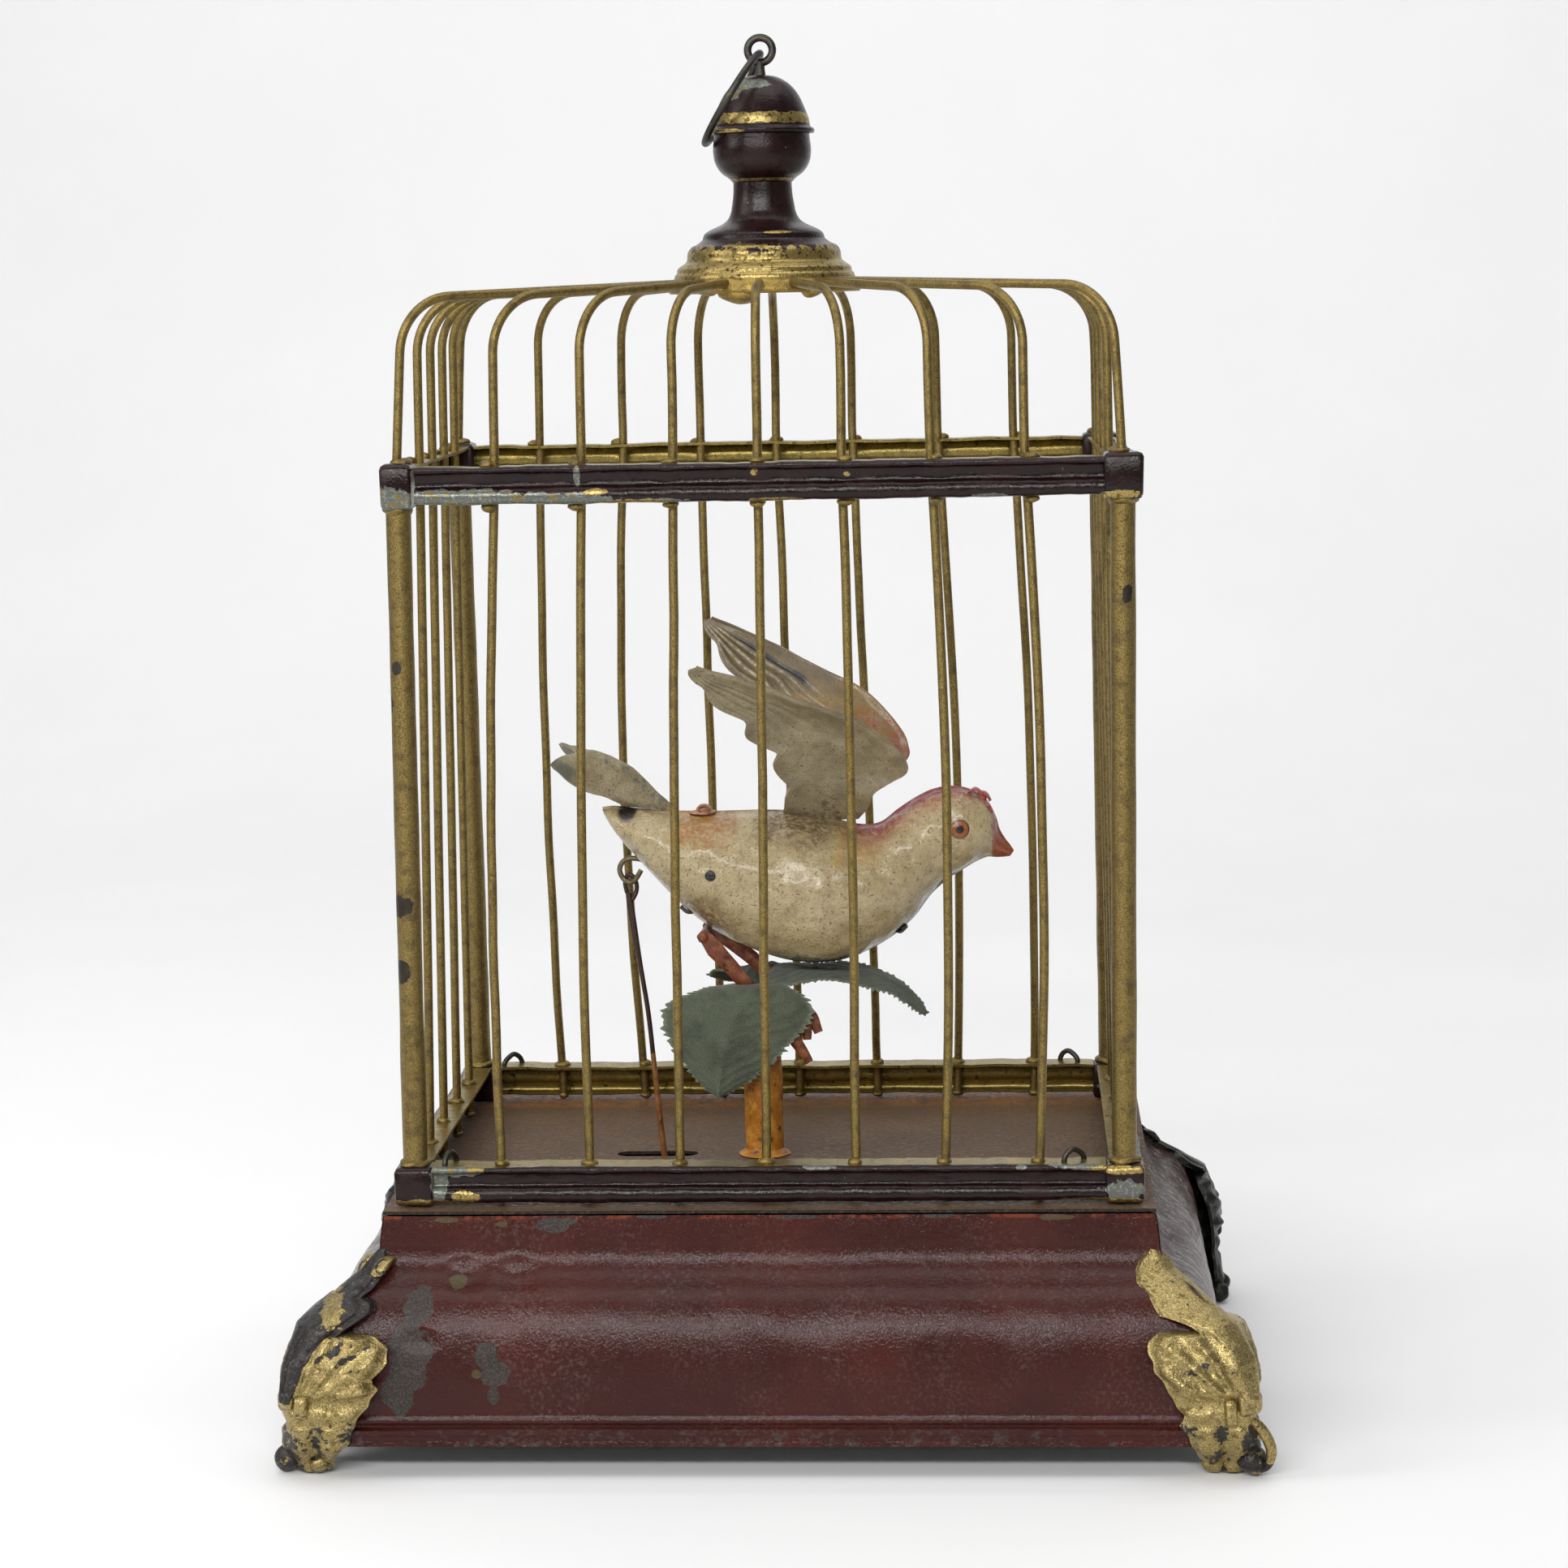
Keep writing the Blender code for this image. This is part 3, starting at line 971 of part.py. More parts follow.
def make_cylinder():
    """The pinned cylinder on its arbor, and the worm wheel beside it."""
    axis = (CRANK_X, CYLINDER_Y, CYLINDER_Z)
    left = CRANK_X + SHAFT_RADIUS + BRACKET / 2 + 3 * CLEARANCE
    tracks = CYLINDER_TRACKS * 2
    rings = []
    arbor_left = CRANK_X - WHEEL_THICK / 2 - 2 * BRACKET - CLEARANCE
    arbor_right = left + CYLINDER_LENGTH + 2 * BRACKET + CLEARANCE

    def ring(x, r):
        return [(x, CYLINDER_Y + r * math.cos(2 * math.pi * k / CYLINDER_STEPS),
                 CYLINDER_Z + r * math.sin(2 * math.pi * k / CYLINDER_STEPS)) for k in range(CYLINDER_STEPS)]

    rings.append(ring(arbor_left, ARBOR_RADIUS))
    rings.append(ring(left, ARBOR_RADIUS))
    for i in range(tracks + 1):
        rings.append(ring(left + CYLINDER_LENGTH * i / tracks, CYLINDER_RADIUS))
    rings.append(ring(left + CYLINDER_LENGTH, ARBOR_RADIUS))
    rings.append(ring(arbor_right, ARBOR_RADIUS))
    points, faces = loft(rings)
    points = [Vector(p) for p in points]
    centre = Vector((0, CYLINDER_Y, CYLINDER_Z))
    raised = []
    for n, face in enumerate(faces):
        row, col = divmod(n, CYLINDER_STEPS)
        track = row - 2
        pinned = 0 <= track < tracks and track % 2 == 1 and (col * 7 + track * 5) % 11 < 2
        if not pinned or len(face) != 4:
            raised.append(face)
            continue
        middle = sum((points[i] for i in face), Vector()) / 4
        out = middle - centre
        out.x = 0
        tip = middle + out.normalized() * PIN_RAISE
        start = len(points)
        for i in face:
            points.append(middle + (points[i] - middle) * 0.35)
        points.append(tip)
        for k in range(4):
            nxt = (k + 1) % 4
            raised.append([face[k], face[nxt], start + nxt, start + k])
            raised.append([start + k, start + nxt, start + 4])
    solid("pinned_cylinder", (points, raised), "brass", origin=axis)

    pitch = 2 * math.pi / WHEEL_TEETH
    outline = []
    for k in range(WHEEL_TEETH):
        tooth = math.pi / 2 + (k + 0.5) * pitch
        for turn, r in ((-0.26, WHEEL_PITCH_RADIUS - WHEEL_DEDENDUM), (-0.11, WHEEL_PITCH_RADIUS + WHEEL_ADDENDUM),
                        (0.11, WHEEL_PITCH_RADIUS + WHEEL_ADDENDUM), (0.26, WHEEL_PITCH_RADIUS - WHEEL_DEDENDUM)):
            outline.append((CYLINDER_Y + r * math.cos(tooth + turn * pitch),
                            CYLINDER_Z + r * math.sin(tooth + turn * pitch)))
    wheel = solid("worm_wheel", prism(outline, CRANK_X - WHEEL_THICK / 2, CRANK_X + WHEEL_THICK / 2, "x"), "brass",
                  origin=axis)
    bore = rod((CRANK_X - WHEEL_THICK, CYLINDER_Y, CYLINDER_Z), (CRANK_X + WHEEL_THICK, CYLINDER_Y, CYLINDER_Z),
               ARBOR_RADIUS + CLEARANCE, 12)
    boolean(wheel, "wheel_bore_cutter", bore, "DIFFERENCE")
    return arbor_left, arbor_right, left


def make_frame(arbor_left, arbor_right, left):
    """The cast frame with its three bearings and the comb's block, and the steel comb."""
    tip = CYLINDER_Y - CYLINDER_RADIUS - PIN_RAISE - CLEARANCE
    root = tip - COMB_TOOTH
    heel = root - COMB_HEEL
    pitch = CYLINDER_LENGTH / CYLINDER_TRACKS
    comb_left = left + pitch / 4
    comb_right = left + CYLINDER_LENGTH + pitch / 4
    comb_z = CYLINDER_Z - COMB_SHEET / 2
    sunk = BED_TOP - BEDPLATE / 2
    bed = box((arbor_left - 2 * BRACKET, heel - 2 * BRACKET, COVER_TOP + CLEARANCE),
              (arbor_right + 2 * BRACKET, CYLINDER_Y + CYLINDER_RADIUS + 2 * BRACKET, BED_TOP))
    frame = solid("movement_frame", bed, "brass", smooth=False)

    front = SHAFT_Y + 2 * CLEARANCE
    half = SHAFT_RADIUS + BRACKET / 2
    stands = [box((comb_left, heel, sunk), (comb_right, root, comb_z - CLEARANCE)),
              box((CRANK_X - half, front, sunk), (CRANK_X + half, front + BRACKET, CRANK_HEIGHT + half))]
    bores = [rod((CRANK_X, front - BRACKET, CRANK_HEIGHT), (CRANK_X, front + 2 * BRACKET, CRANK_HEIGHT),
                 SHAFT_RADIUS + CLEARANCE, 12)]
    half = 2.2 * ARBOR_RADIUS
    for x in (arbor_left + 2 * CLEARANCE, arbor_right - BRACKET - 2 * CLEARANCE):
        stands.append(prism([(CYLINDER_Y - 2 * half, sunk), (CYLINDER_Y + 2 * half, sunk),
                             (CYLINDER_Y + half, CYLINDER_Z + half), (CYLINDER_Y - half, CYLINDER_Z + half)],
                            x, x + BRACKET, "x"))
        bores.append(rod((x - BRACKET / 2, CYLINDER_Y, CYLINDER_Z), (x + BRACKET * 1.5, CYLINDER_Y, CYLINDER_Z),
                         ARBOR_RADIUS + CLEARANCE, 12))
    boolean(frame, "frame_stand_joiner", joined(stands), "UNION")
    boolean(frame, "frame_bore_cutter", joined(bores), "DIFFERENCE")

    outline = [(comb_left, root), (comb_left, heel), (comb_right, heel), (comb_right, root)]
    for k in reversed(range(CYLINDER_TRACKS)):
        middle = left + (k + 0.75) * pitch
        wide = (pitch - COMB_GAP) / 2
        outline += [(middle + wide, root), (middle + wide / 2, tip), (middle - wide / 2, tip), (middle - wide, root)]
    solid("tone_comb", prism(outline, comb_z, comb_z + COMB_SHEET, "z"), "steel", smooth=False)


def main():
    clear_scene()
    make_base()
    make_feet()
    make_rails()
    make_corners()
    make_finial()
    make_bird()
    make_rod()
    make_perch()
    make_crank()
    make_frame(*make_cylinder())


main()
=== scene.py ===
import math

import bmesh
import bpy
import numpy as np
from mathutils import Matrix, Vector


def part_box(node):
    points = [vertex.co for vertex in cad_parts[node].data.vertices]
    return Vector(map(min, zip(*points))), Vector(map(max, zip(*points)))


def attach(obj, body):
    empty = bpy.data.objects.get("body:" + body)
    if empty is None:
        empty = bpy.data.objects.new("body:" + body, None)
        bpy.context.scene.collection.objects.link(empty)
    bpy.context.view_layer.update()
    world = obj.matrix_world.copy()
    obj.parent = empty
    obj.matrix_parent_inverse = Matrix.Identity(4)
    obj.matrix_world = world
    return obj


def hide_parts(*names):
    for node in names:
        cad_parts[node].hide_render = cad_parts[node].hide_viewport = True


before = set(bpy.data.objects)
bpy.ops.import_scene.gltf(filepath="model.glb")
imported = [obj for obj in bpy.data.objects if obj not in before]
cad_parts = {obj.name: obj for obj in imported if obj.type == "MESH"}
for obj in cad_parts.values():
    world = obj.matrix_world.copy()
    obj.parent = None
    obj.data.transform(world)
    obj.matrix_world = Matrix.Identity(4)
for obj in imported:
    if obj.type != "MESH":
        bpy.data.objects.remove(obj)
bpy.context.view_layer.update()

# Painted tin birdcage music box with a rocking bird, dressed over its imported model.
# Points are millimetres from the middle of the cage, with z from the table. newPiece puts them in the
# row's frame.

mm = 0.001
floorBox = np.array(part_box("base_floor")) / mm
shiftY = floorBox[:, 1].mean()
floorHalf = (floorBox[1] - floorBox[0])[:2] / 2
blockBox = np.array(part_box("corner_block_front_right")) / mm
postX, postY = np.abs(blockBox.mean(axis=0) - (0, shiftY, 0))[:2]
print("frame loaded, cage", round(postX * 2, 1), "x", round(postY * 2, 1), "mm")


# Shapes as whole arrays


def unit(vectors):
    # vectors divided by their own lengths
    return vectors / np.maximum(np.linalg.norm(vectors, axis=-1, keepdims=True), 1e-9)


def gridFaces(rows, cols, wrapRows=False, wrapCols=False):
    # the quads of a rows by cols grid of points, joined to its start where it wraps
    i = np.arange(rows if wrapRows else rows - 1)[:, None]
    j = np.arange(cols if wrapCols else cols - 1)[None, :]
    below, beside = (i + 1) % rows, (j + 1) % cols
    quads = np.stack([i * cols + j, i * cols + beside, below * cols + beside, below * cols + j], axis=-1)
    return quads.reshape(-1, 4)


def evenly(line, count, closed=False):
    # points at even steps of a fine line's length
    length = np.append(0, np.cumsum(np.linalg.norm(np.diff(line, axis=0), axis=1)))
    at = np.linspace(0, length[-1], count, endpoint=not closed)
    return np.stack([np.interp(at, length, line[:, k]) for k in range(line.shape[1])], axis=1)


def curveThrough(points, count, closed=False):
    # a cubic through each given point, then sampled at even steps of its length
    given = np.asarray(points, float)
    if closed:
        given = np.vstack([given[-1:], given, given[:2]])
    else:
        given = np.vstack([2 * given[:1] - given[1:2], given, 2 * given[-1:] - given[-2:-1]])
    spans = len(given) - 3
    place = np.linspace(0, spans, spans * 24 + 1)
    i = np.minimum(place.astype(int), spans - 1)
    t = (place - i)[:, None]
    a, b, c, d = given[i], given[i + 1], given[i + 2], given[i + 3]
    fine = 0.5 * (2 * b + (c - a) * t + (2 * a - 5 * b + 4 * c - d) * t ** 2
                  + (3 * b - a - 3 * c + d) * t ** 3)
    return evenly(fine, count, closed)


def ripple(points, size, seed):
    # smooth unevenness from -1 to 1: six sine waves in scattered directions, each about size long
    rng = np.random.default_rng(abs(int(seed * 10)))
    waves = unit(rng.normal(size=(6, 3))) * 2 * math.pi / size * rng.uniform(0.6, 1.5, (6, 1))
    return np.sin(points @ waves.T + rng.uniform(0, 2 * math.pi, 6)).mean(axis=-1) * 1.8


def valueAt(z, rows):
    # the second number of the rows at each z, straight between rows that run downwards in z
    return np.interp(z, [row[0] for row in rows[::-1]], [row[1] for row in rows[::-1]])


def unevenBy(points, parts, seed):
    # ripples of each (size, height) added up
    return sum(ripple(points, size, seed + k) * height for k, (size, height) in enumerate(parts))


def hump(distance, width):
    # a bell: 1 at no distance, fading over width
    return np.exp(-0.5 * (distance / width) ** 2)


def step(value, start, end):
    # 0 before start, 1 after end, and smooth between them
    t = np.clip((value - start) / (end - start), 0, 1)
    return t * t * (3 - 2 * t)


def gridNormal(grid):
    # the cross product of a grid's two directions
    return unit(np.cross(np.gradient(grid, axis=0), np.gradient(grid, axis=1)))


def slab(front, back):
    # two grids joined all round their edges
    rows, cols = front.shape[:2]
    count = rows * cols
    quads = gridFaces(rows, cols)
    edge = np.concatenate([np.arange(cols), np.arange(1, rows) * cols + cols - 1,
                           (rows - 1) * cols + np.arange(cols - 2, -1, -1),
                           np.arange(rows - 2, 0, -1) * cols])
    after = np.roll(edge, -1)
    rim = np.stack([edge, edge + count, after + count, after], axis=1)
    return np.vstack([front.reshape(-1, 3), back.reshape(-1, 3)]), [quads, quads[:, ::-1] + count, rim]


def sheetOf(grid, thickness):
    # a grid pushed half its thickness to each side along its normal
    push = gridNormal(grid) * thickness / 2
    return slab(grid + push, grid - push)


def sweep(path, radius, sides=12, across=(0, 1, 0), closed=False):
    # path + radius * (across * cos(turn) + (tangent x across) * sin(turn))
    path = np.asarray(path, float)
    tangent = np.roll(path, -1, 0) - np.roll(path, 1, 0) if closed else np.gradient(path, axis=0)
    tangent = unit(tangent)
    across = np.broadcast_to(np.asarray(across, float), path.shape)
    side = unit(across - tangent * np.sum(across * tangent, axis=1, keepdims=True))
    up = np.cross(tangent, side)
    turn = np.arange(sides) * 2 * math.pi / sides
    radius = np.broadcast_to(radius, len(path))[:, None, None]
    ring = side[:, None] * np.cos(turn)[None, :, None] + up[:, None] * np.sin(turn)[None, :, None]
    faces = [gridFaces(len(path), sides, closed, True)]
    if not closed:
        faces += [np.arange(sides)[None], (len(path) - 1) * sides + np.arange(sides)[None]]
    return (path[:, None] + radius * ring).reshape(-1, 3), faces


def lathe(profile, centre, sides=72, axis="z"):
    # a closed line of (radius, height) turned about an axis through centre
    profile = np.asarray(profile, float)
    turn = np.arange(sides)[:, None] * 2 * math.pi / sides
    r, h = profile[None, :, 0], profile[None, :, 1] + 0 * turn
    ring = [r * np.cos(turn), r * np.sin(turn), h] if axis == "z" else [r * np.cos(turn), h, r * np.sin(turn)]
    return (np.stack(ring, axis=-1) + centre).reshape(-1, 3), [gridFaces(sides, len(profile), True, True)]


def blob(centre, radius, squash=(1, 1, 1), seed=0, sides=14):
    # a ball with a slightly uneven skin, closed at its poles by small rings
    lat = np.linspace(-1.5, 1.5, sides)[:, None]
    lon = np.arange(sides * 2)[None, :] * math.pi / sides
    ball = np.stack([np.cos(lat) * np.cos(lon), np.cos(lat) * np.sin(lon), np.sin(lat) + 0 * lon], axis=-1)
    ball = ball * (1 + 0.12 * ripple(ball, 1.3, seed))[..., None] * radius * np.asarray(squash)
    count = sides * 2
    return (ball + centre).reshape(-1, 3), [gridFaces(sides, count, False, True), np.arange(count)[None],
                                            (sides - 1) * count + np.arange(count)[None]]


blockSides, blockRings = 48, 8
blockCorner = 0.22  # the power that turns a circle into a square with small round corners


def roundedBlock(centre, half, bevel, seed=0):
    # a square tube end: a rounded square carried up z and drawn in by the bevel at both ends
    turn = (np.arange(blockSides) + 0.5) * 2 * math.pi / blockSides
    circle = np.stack([np.cos(turn), np.sin(turn)], axis=1)
    square = np.sign(circle) * np.abs(circle) ** blockCorner
    wide, high = half
    rim = np.array([(wide * 0.3, high), (wide - bevel, high), (wide - bevel * 0.3, high - bevel * 0.3),
                    (wide, high - bevel)])
    profile = np.vstack([rim * (1, -1), rim[::-1]])
    ring = square[None] * profile[:, :1, None]
    height = np.broadcast_to(profile[:, 1:, None], ring.shape[:2] + (1,))
    points = np.concatenate([ring, height], axis=2) + centre
    points = points + ripple(points, 7.0, seed)[..., None] * 0.12
    lid = np.arange(blockSides)[None]
    return points.reshape(-1, 3), [gridFaces(blockRings, blockSides, False, True), lid,
                                   (blockRings - 1) * blockSides + lid]


def newPiece(title, shapes, finish, body="housing", stands=(), marks=None, sharp=40.0):
    # one mesh of closed shapes, with marks as point attributes, put in the row's frame and riding on its body
    points, faces, start = [], [], 0
    for shapePoints, shapeFaces in shapes:
        points.append(np.asarray(shapePoints, float))
        for block in shapeFaces:
            faces += (block + start).tolist()
        start += len(shapePoints)
    points = (np.vstack(points) + (0, shiftY, 0)) * mm
    name = title if title not in bpy.data.objects else title + "_dressed"
    mesh = bpy.data.meshes.new(name)
    mesh.from_pydata(points.tolist(), [], faces)
    work = bmesh.new()
    work.from_mesh(mesh)
    bmesh.ops.recalc_face_normals(work, faces=work.faces)
    work.to_mesh(mesh)
    work.free()
    for mark, values in (marks or {}).items():
        attribute = mesh.attributes.new(mark, "FLOAT", "POINT")
        attribute.data.foreach_set("value", np.asarray(values, np.float32).ravel())
    mesh.shade_smooth()
    mesh.set_sharp_from_angle(angle=math.radians(sharp))
    mesh.materials.append(finish)
    piece = bpy.data.objects.new(name, mesh)
    bpy.context.scene.collection.objects.link(piece)
    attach(piece, body)
    if stands:
        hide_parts(*stands)
    return piece


# Finishes


def toLinear(hexText):
    # an sRGB hex colour as linear light
    s = np.array([int(hexText[i:i + 2], 16) / 255 for i in (1, 3, 5)])
    return tuple(np.where(s <= 0.04045, s / 12.92, ((s + 0.055) / 1.055) ** 2.4)) + (1.0,)


def addNode(tree, kind, inputs={}, **settings):
    # one node with its settings, its input values and its links
    node = tree.nodes.new(kind)
    for key, value in settings.items():
        setattr(node, key, value)
    for key, value in inputs.items():
        if isinstance(value, bpy.types.NodeSocket):
            tree.links.new(value, node.inputs[key])
        else:
            node.inputs[key].default_value = value
    return node


def startFinish(name, roughness, **sockets):
    # a shader with even values on its own sockets, and Object coordinates in millimetres
    finish = bpy.data.materials.new(name)
    finish.use_nodes = True
    tree = finish.node_tree
    shader = tree.nodes["Principled BSDF"]
    shader.inputs["Roughness"].default_value = roughness
    for key, value in sockets.items():
        shader.inputs[key.replace("_", " ")].default_value = value
    coords = addNode(tree, "ShaderNodeTexCoord").outputs["Object"]
    scale = (1 / mm, 1 / mm, 1 / mm)
    place = addNode(tree, "ShaderNodeMapping",
                    {"Vector": coords, "Scale": scale, "Location": (0, -shiftY, 0)})
    return finish, shader, place.outputs["Vector"]


def patches(place, size, low, high, detail=4.0, stretch=(1, 1, 1), seed=0.0):
    # a mask from 0 to 1 with blotches about size mm across, more of them as low and high fall
    tree = place.id_data
    moved = addNode(tree, "ShaderNodeMapping",
                    {"Vector": place, "Scale": stretch, "Location": (seed, seed * 2, 0)})
    noise = addNode(tree, "ShaderNodeTexNoise",
                    {"Vector": moved.outputs[0], "Scale": 1 / size, "Detail": detail,
                     "Roughness": 0.62})
    ranged = addNode(tree, "ShaderNodeMapRange",
                     {"Value": noise.outputs["Fac"], "From Min": low, "From Max": high},
                     interpolation_type="SMOOTHSTEP")
    return ranged.outputs["Result"]


def spots(place, centres, edge=0.35, ragged=1.4):
    # a mask that is 1 inside each (centre, half sizes) ellipsoid, with a torn edge
    tree = place.id_data
    noise = addNode(tree, "ShaderNodeTexNoise", {"Vector": place, "Scale": 1 / ragged, "Detail": 5.0})
    tear = addNode(tree, "ShaderNodeMath", {0: noise.outputs["Fac"], 1: 2 * edge, 2: 1 - edge},
                   operation="MULTIPLY_ADD")
    whole = None
    for centre, half in centres:
        scale = tuple(1 / h for h in half)
        move = tuple(-c / h for c, h in zip(centre, half))
        local = addNode(tree, "ShaderNodeMapping", {"Vector": place, "Scale": scale, "Location": move})
        far = addNode(tree, "ShaderNodeVectorMath", {0: local.outputs[0]}, operation="LENGTH")
        near = addNode(tree, "ShaderNodeMath", {0: tear.outputs[0], 1: far.outputs["Value"]},
                       operation="SUBTRACT")
        mask = addNode(tree, "ShaderNodeMapRange",
                       {"Value": near.outputs[0], "From Min": 0.0, "From Max": 0.06})
        whole = mask.outputs[0] if whole is None else addNode(
            tree, "ShaderNodeMath", {0: whole, 1: mask.outputs[0]}, operation="MAXIMUM").outputs[0]
    return whole


def blendOf(kind, value, *others):
    # values taken together by one kind of sum, such as MULTIPLY or MAXIMUM
    for other in others:
        value = addNode(value.id_data, "ShaderNodeMath", {0: value, 1: other}, operation=kind).outputs[0]
    return value


def coats(base, layers):
    # coats of colour laid over each other, each by the product of the masks and shares before it
    colour = toLinear(base) if isinstance(base, str) else base
    for *masks, over in layers:
        mask = blendOf("MULTIPLY", *masks)
        tree = mask.id_data
        over = toLinear(over) if isinstance(over, str) else over
        mixed = addNode(tree, "ShaderNodeMix", {0: mask, 6: colour, 7: over}, data_type="RGBA")
        colour = mixed.outputs[2]
    return colour


def layOn(shader, colour, roughness=None, metal=None, relief=()):
    # the colour, a range of roughness or metal by a mask, and heights in mm as bump
    tree = shader.id_data
    if isinstance(colour, bpy.types.NodeSocket):
        tree.links.new(colour, shader.inputs["Base Color"])
    else:
        shader.inputs["Base Color"].default_value = colour
    for key, given in (("Roughness", roughness), ("Metallic", metal)):
        if given:
            mask, low, high = given
            ranged = addNode(tree, "ShaderNodeMapRange", {"Value": mask, "To Min": low, "To Max": high})
            tree.links.new(ranged.outputs[0], shader.inputs[key])
    normal = None
    for mask, height in relief:
        inputs = {"Height": mask, "Strength": 1.0, "Distance": abs(height) * mm}
        if normal is not None:
            inputs["Normal"] = normal
        normal = addNode(tree, "ShaderNodeBump", inputs, invert=height < 0).outputs[0]
    if normal is not None:
        tree.links.new(normal, shader.inputs["Normal"])


def along(place, axis, start, end):
    # 0 before start and 1 after end along one axis, in mm
    tree = place.id_data
    part = addNode(tree, "ShaderNodeSeparateXYZ", {0: place}).outputs["XYZ".index(axis)]
    ranged = addNode(tree, "ShaderNodeMapRange", {"Value": part, "From Min": start, "From Max": end},
                     interpolation_type="SMOOTHSTEP")
    return ranged.outputs[0]


# Camera at the photograph's angle, and a plain pale studio

photoView = {"place": (41.3154, -644.2323, 202.8274), "yaw": 3.5209, "pitch": -7.9859, "roll": 1.1462,
             "focalPixels": 4382.59, "imagePixels": 1932, "sensor": 36.0}
yaw, pitch, roll = (math.radians(photoView[key]) for key in ("yaw", "pitch", "roll"))
forward = Vector((-math.sin(yaw) * math.cos(pitch), math.cos(yaw) * math.cos(pitch), math.sin(pitch)))
rightWay = Vector((math.cos(yaw), math.sin(yaw), 0))
upWay = rightWay.cross(forward)
turned = Matrix((rightWay * math.cos(roll) - upWay * math.sin(roll),
                 rightWay * math.sin(roll) + upWay * math.cos(roll), -forward)).transposed()
cameraPlace = (Vector(photoView["place"]) + Vector((0, shiftY, 0))) * mm
camera = bpy.data.objects.new("camera", bpy.data.cameras.new("camera"))
camera.data.sensor_width = photoView["sensor"]
camera.data.lens = photoView["sensor"] * photoView["focalPixels"] / photoView["imagePixels"]
camera.data.clip_start, camera.data.clip_end = 0.01, 20
camera.matrix_world = Matrix.Translation(cameraPlace) @ turned.to_4x4()
bpy.context.scene.collection.objects.link(camera)
bpy.context.scene.camera = camera
bpy.context.scene.view_settings.view_transform = "Standard"

studio = {"floorBack": 620.0, "sweep": 420.0, "wall": 1300.0, "front": -1500.0, "half": 1800.0, "world": 0.2}
lights = [  # place in mm, size in mm, watts, aimed at
          ((-160, -900, 560), (900, 70), 6.8, (0, 0, 90)),
          ((-700, -260, 520), (220, 500), 1.8, (0, 0, 110)),
          ((0, -120, 950), (900, 500), 3.2, (0, 0, 0)),
          ((0, 380, 1150), (2200, 300), 7.0, (0, 1040, 560)),
          ]


def studioSweep():
    # a flat floor, a quarter circle and a wall, carried across
    s = studio
    turn = np.linspace(0, math.pi / 2, 33)
    bend = np.stack([s["floorBack"] + s["sweep"] * np.sin(turn), s["sweep"] * (1 - np.cos(turn))], axis=1)
    line = np.vstack([[s["front"], 0], [0, 0], bend, [s["floorBack"] + s["sweep"], s["wall"]]])
    across = np.array([-s["half"], s["half"]])
    grid = np.stack([across[None, :] + 0 * line[:, :1], line[:, :1] + 0 * across, line[:, 1:] + 0 * across],
                    axis=-1)
    mesh = bpy.data.meshes.new("paper_sweep")
    mesh.from_pydata((grid.reshape(-1, 3) * mm).tolist(), [], gridFaces(len(line), 2)[:, ::-1].tolist())
    mesh.shade_smooth()
    sweep = bpy.data.objects.new("paper_sweep", mesh)
    bpy.context.scene.collection.objects.link(sweep)
    # seamless paper: matt, and very slightly uneven
    finish, shader, place = startFinish("seamlessPaper", 0.85)
    layOn(shader, coats("#f4f4f5", [(patches(place, 300, 0.35, 0.75), "#f8f8f8")]))
    mesh.materials.append(finish)


studioSweep()
for number, (spot, size, watts, aim) in enumerate(lights):
    lamp = bpy.data.lights.new("softbox_%d" % number, "AREA")
    lamp.shape = "RECTANGLE"
    lamp.size, lamp.size_y = size[0] * mm, size[1] * mm
    lamp.energy = watts
    stand = bpy.data.objects.new(lamp.name, lamp)
    stand.location = Vector(spot) * mm
    stand.rotation_euler = (Vector(aim) * mm - stand.location).to_track_quat("-Z", "Y").to_euler()
    bpy.context.scene.collection.objects.link(stand)
world = bpy.data.worlds.new("white_room")
bpy.context.scene.world = world
world.use_nodes = True
world.node_tree.nodes["Background"].inputs["Color"].default_value = (1, 1, 1, 1)
world.node_tree.nodes["Background"].inputs["Strength"].default_value = studio["world"]
print("camera and studio set")


# Finishes of this object


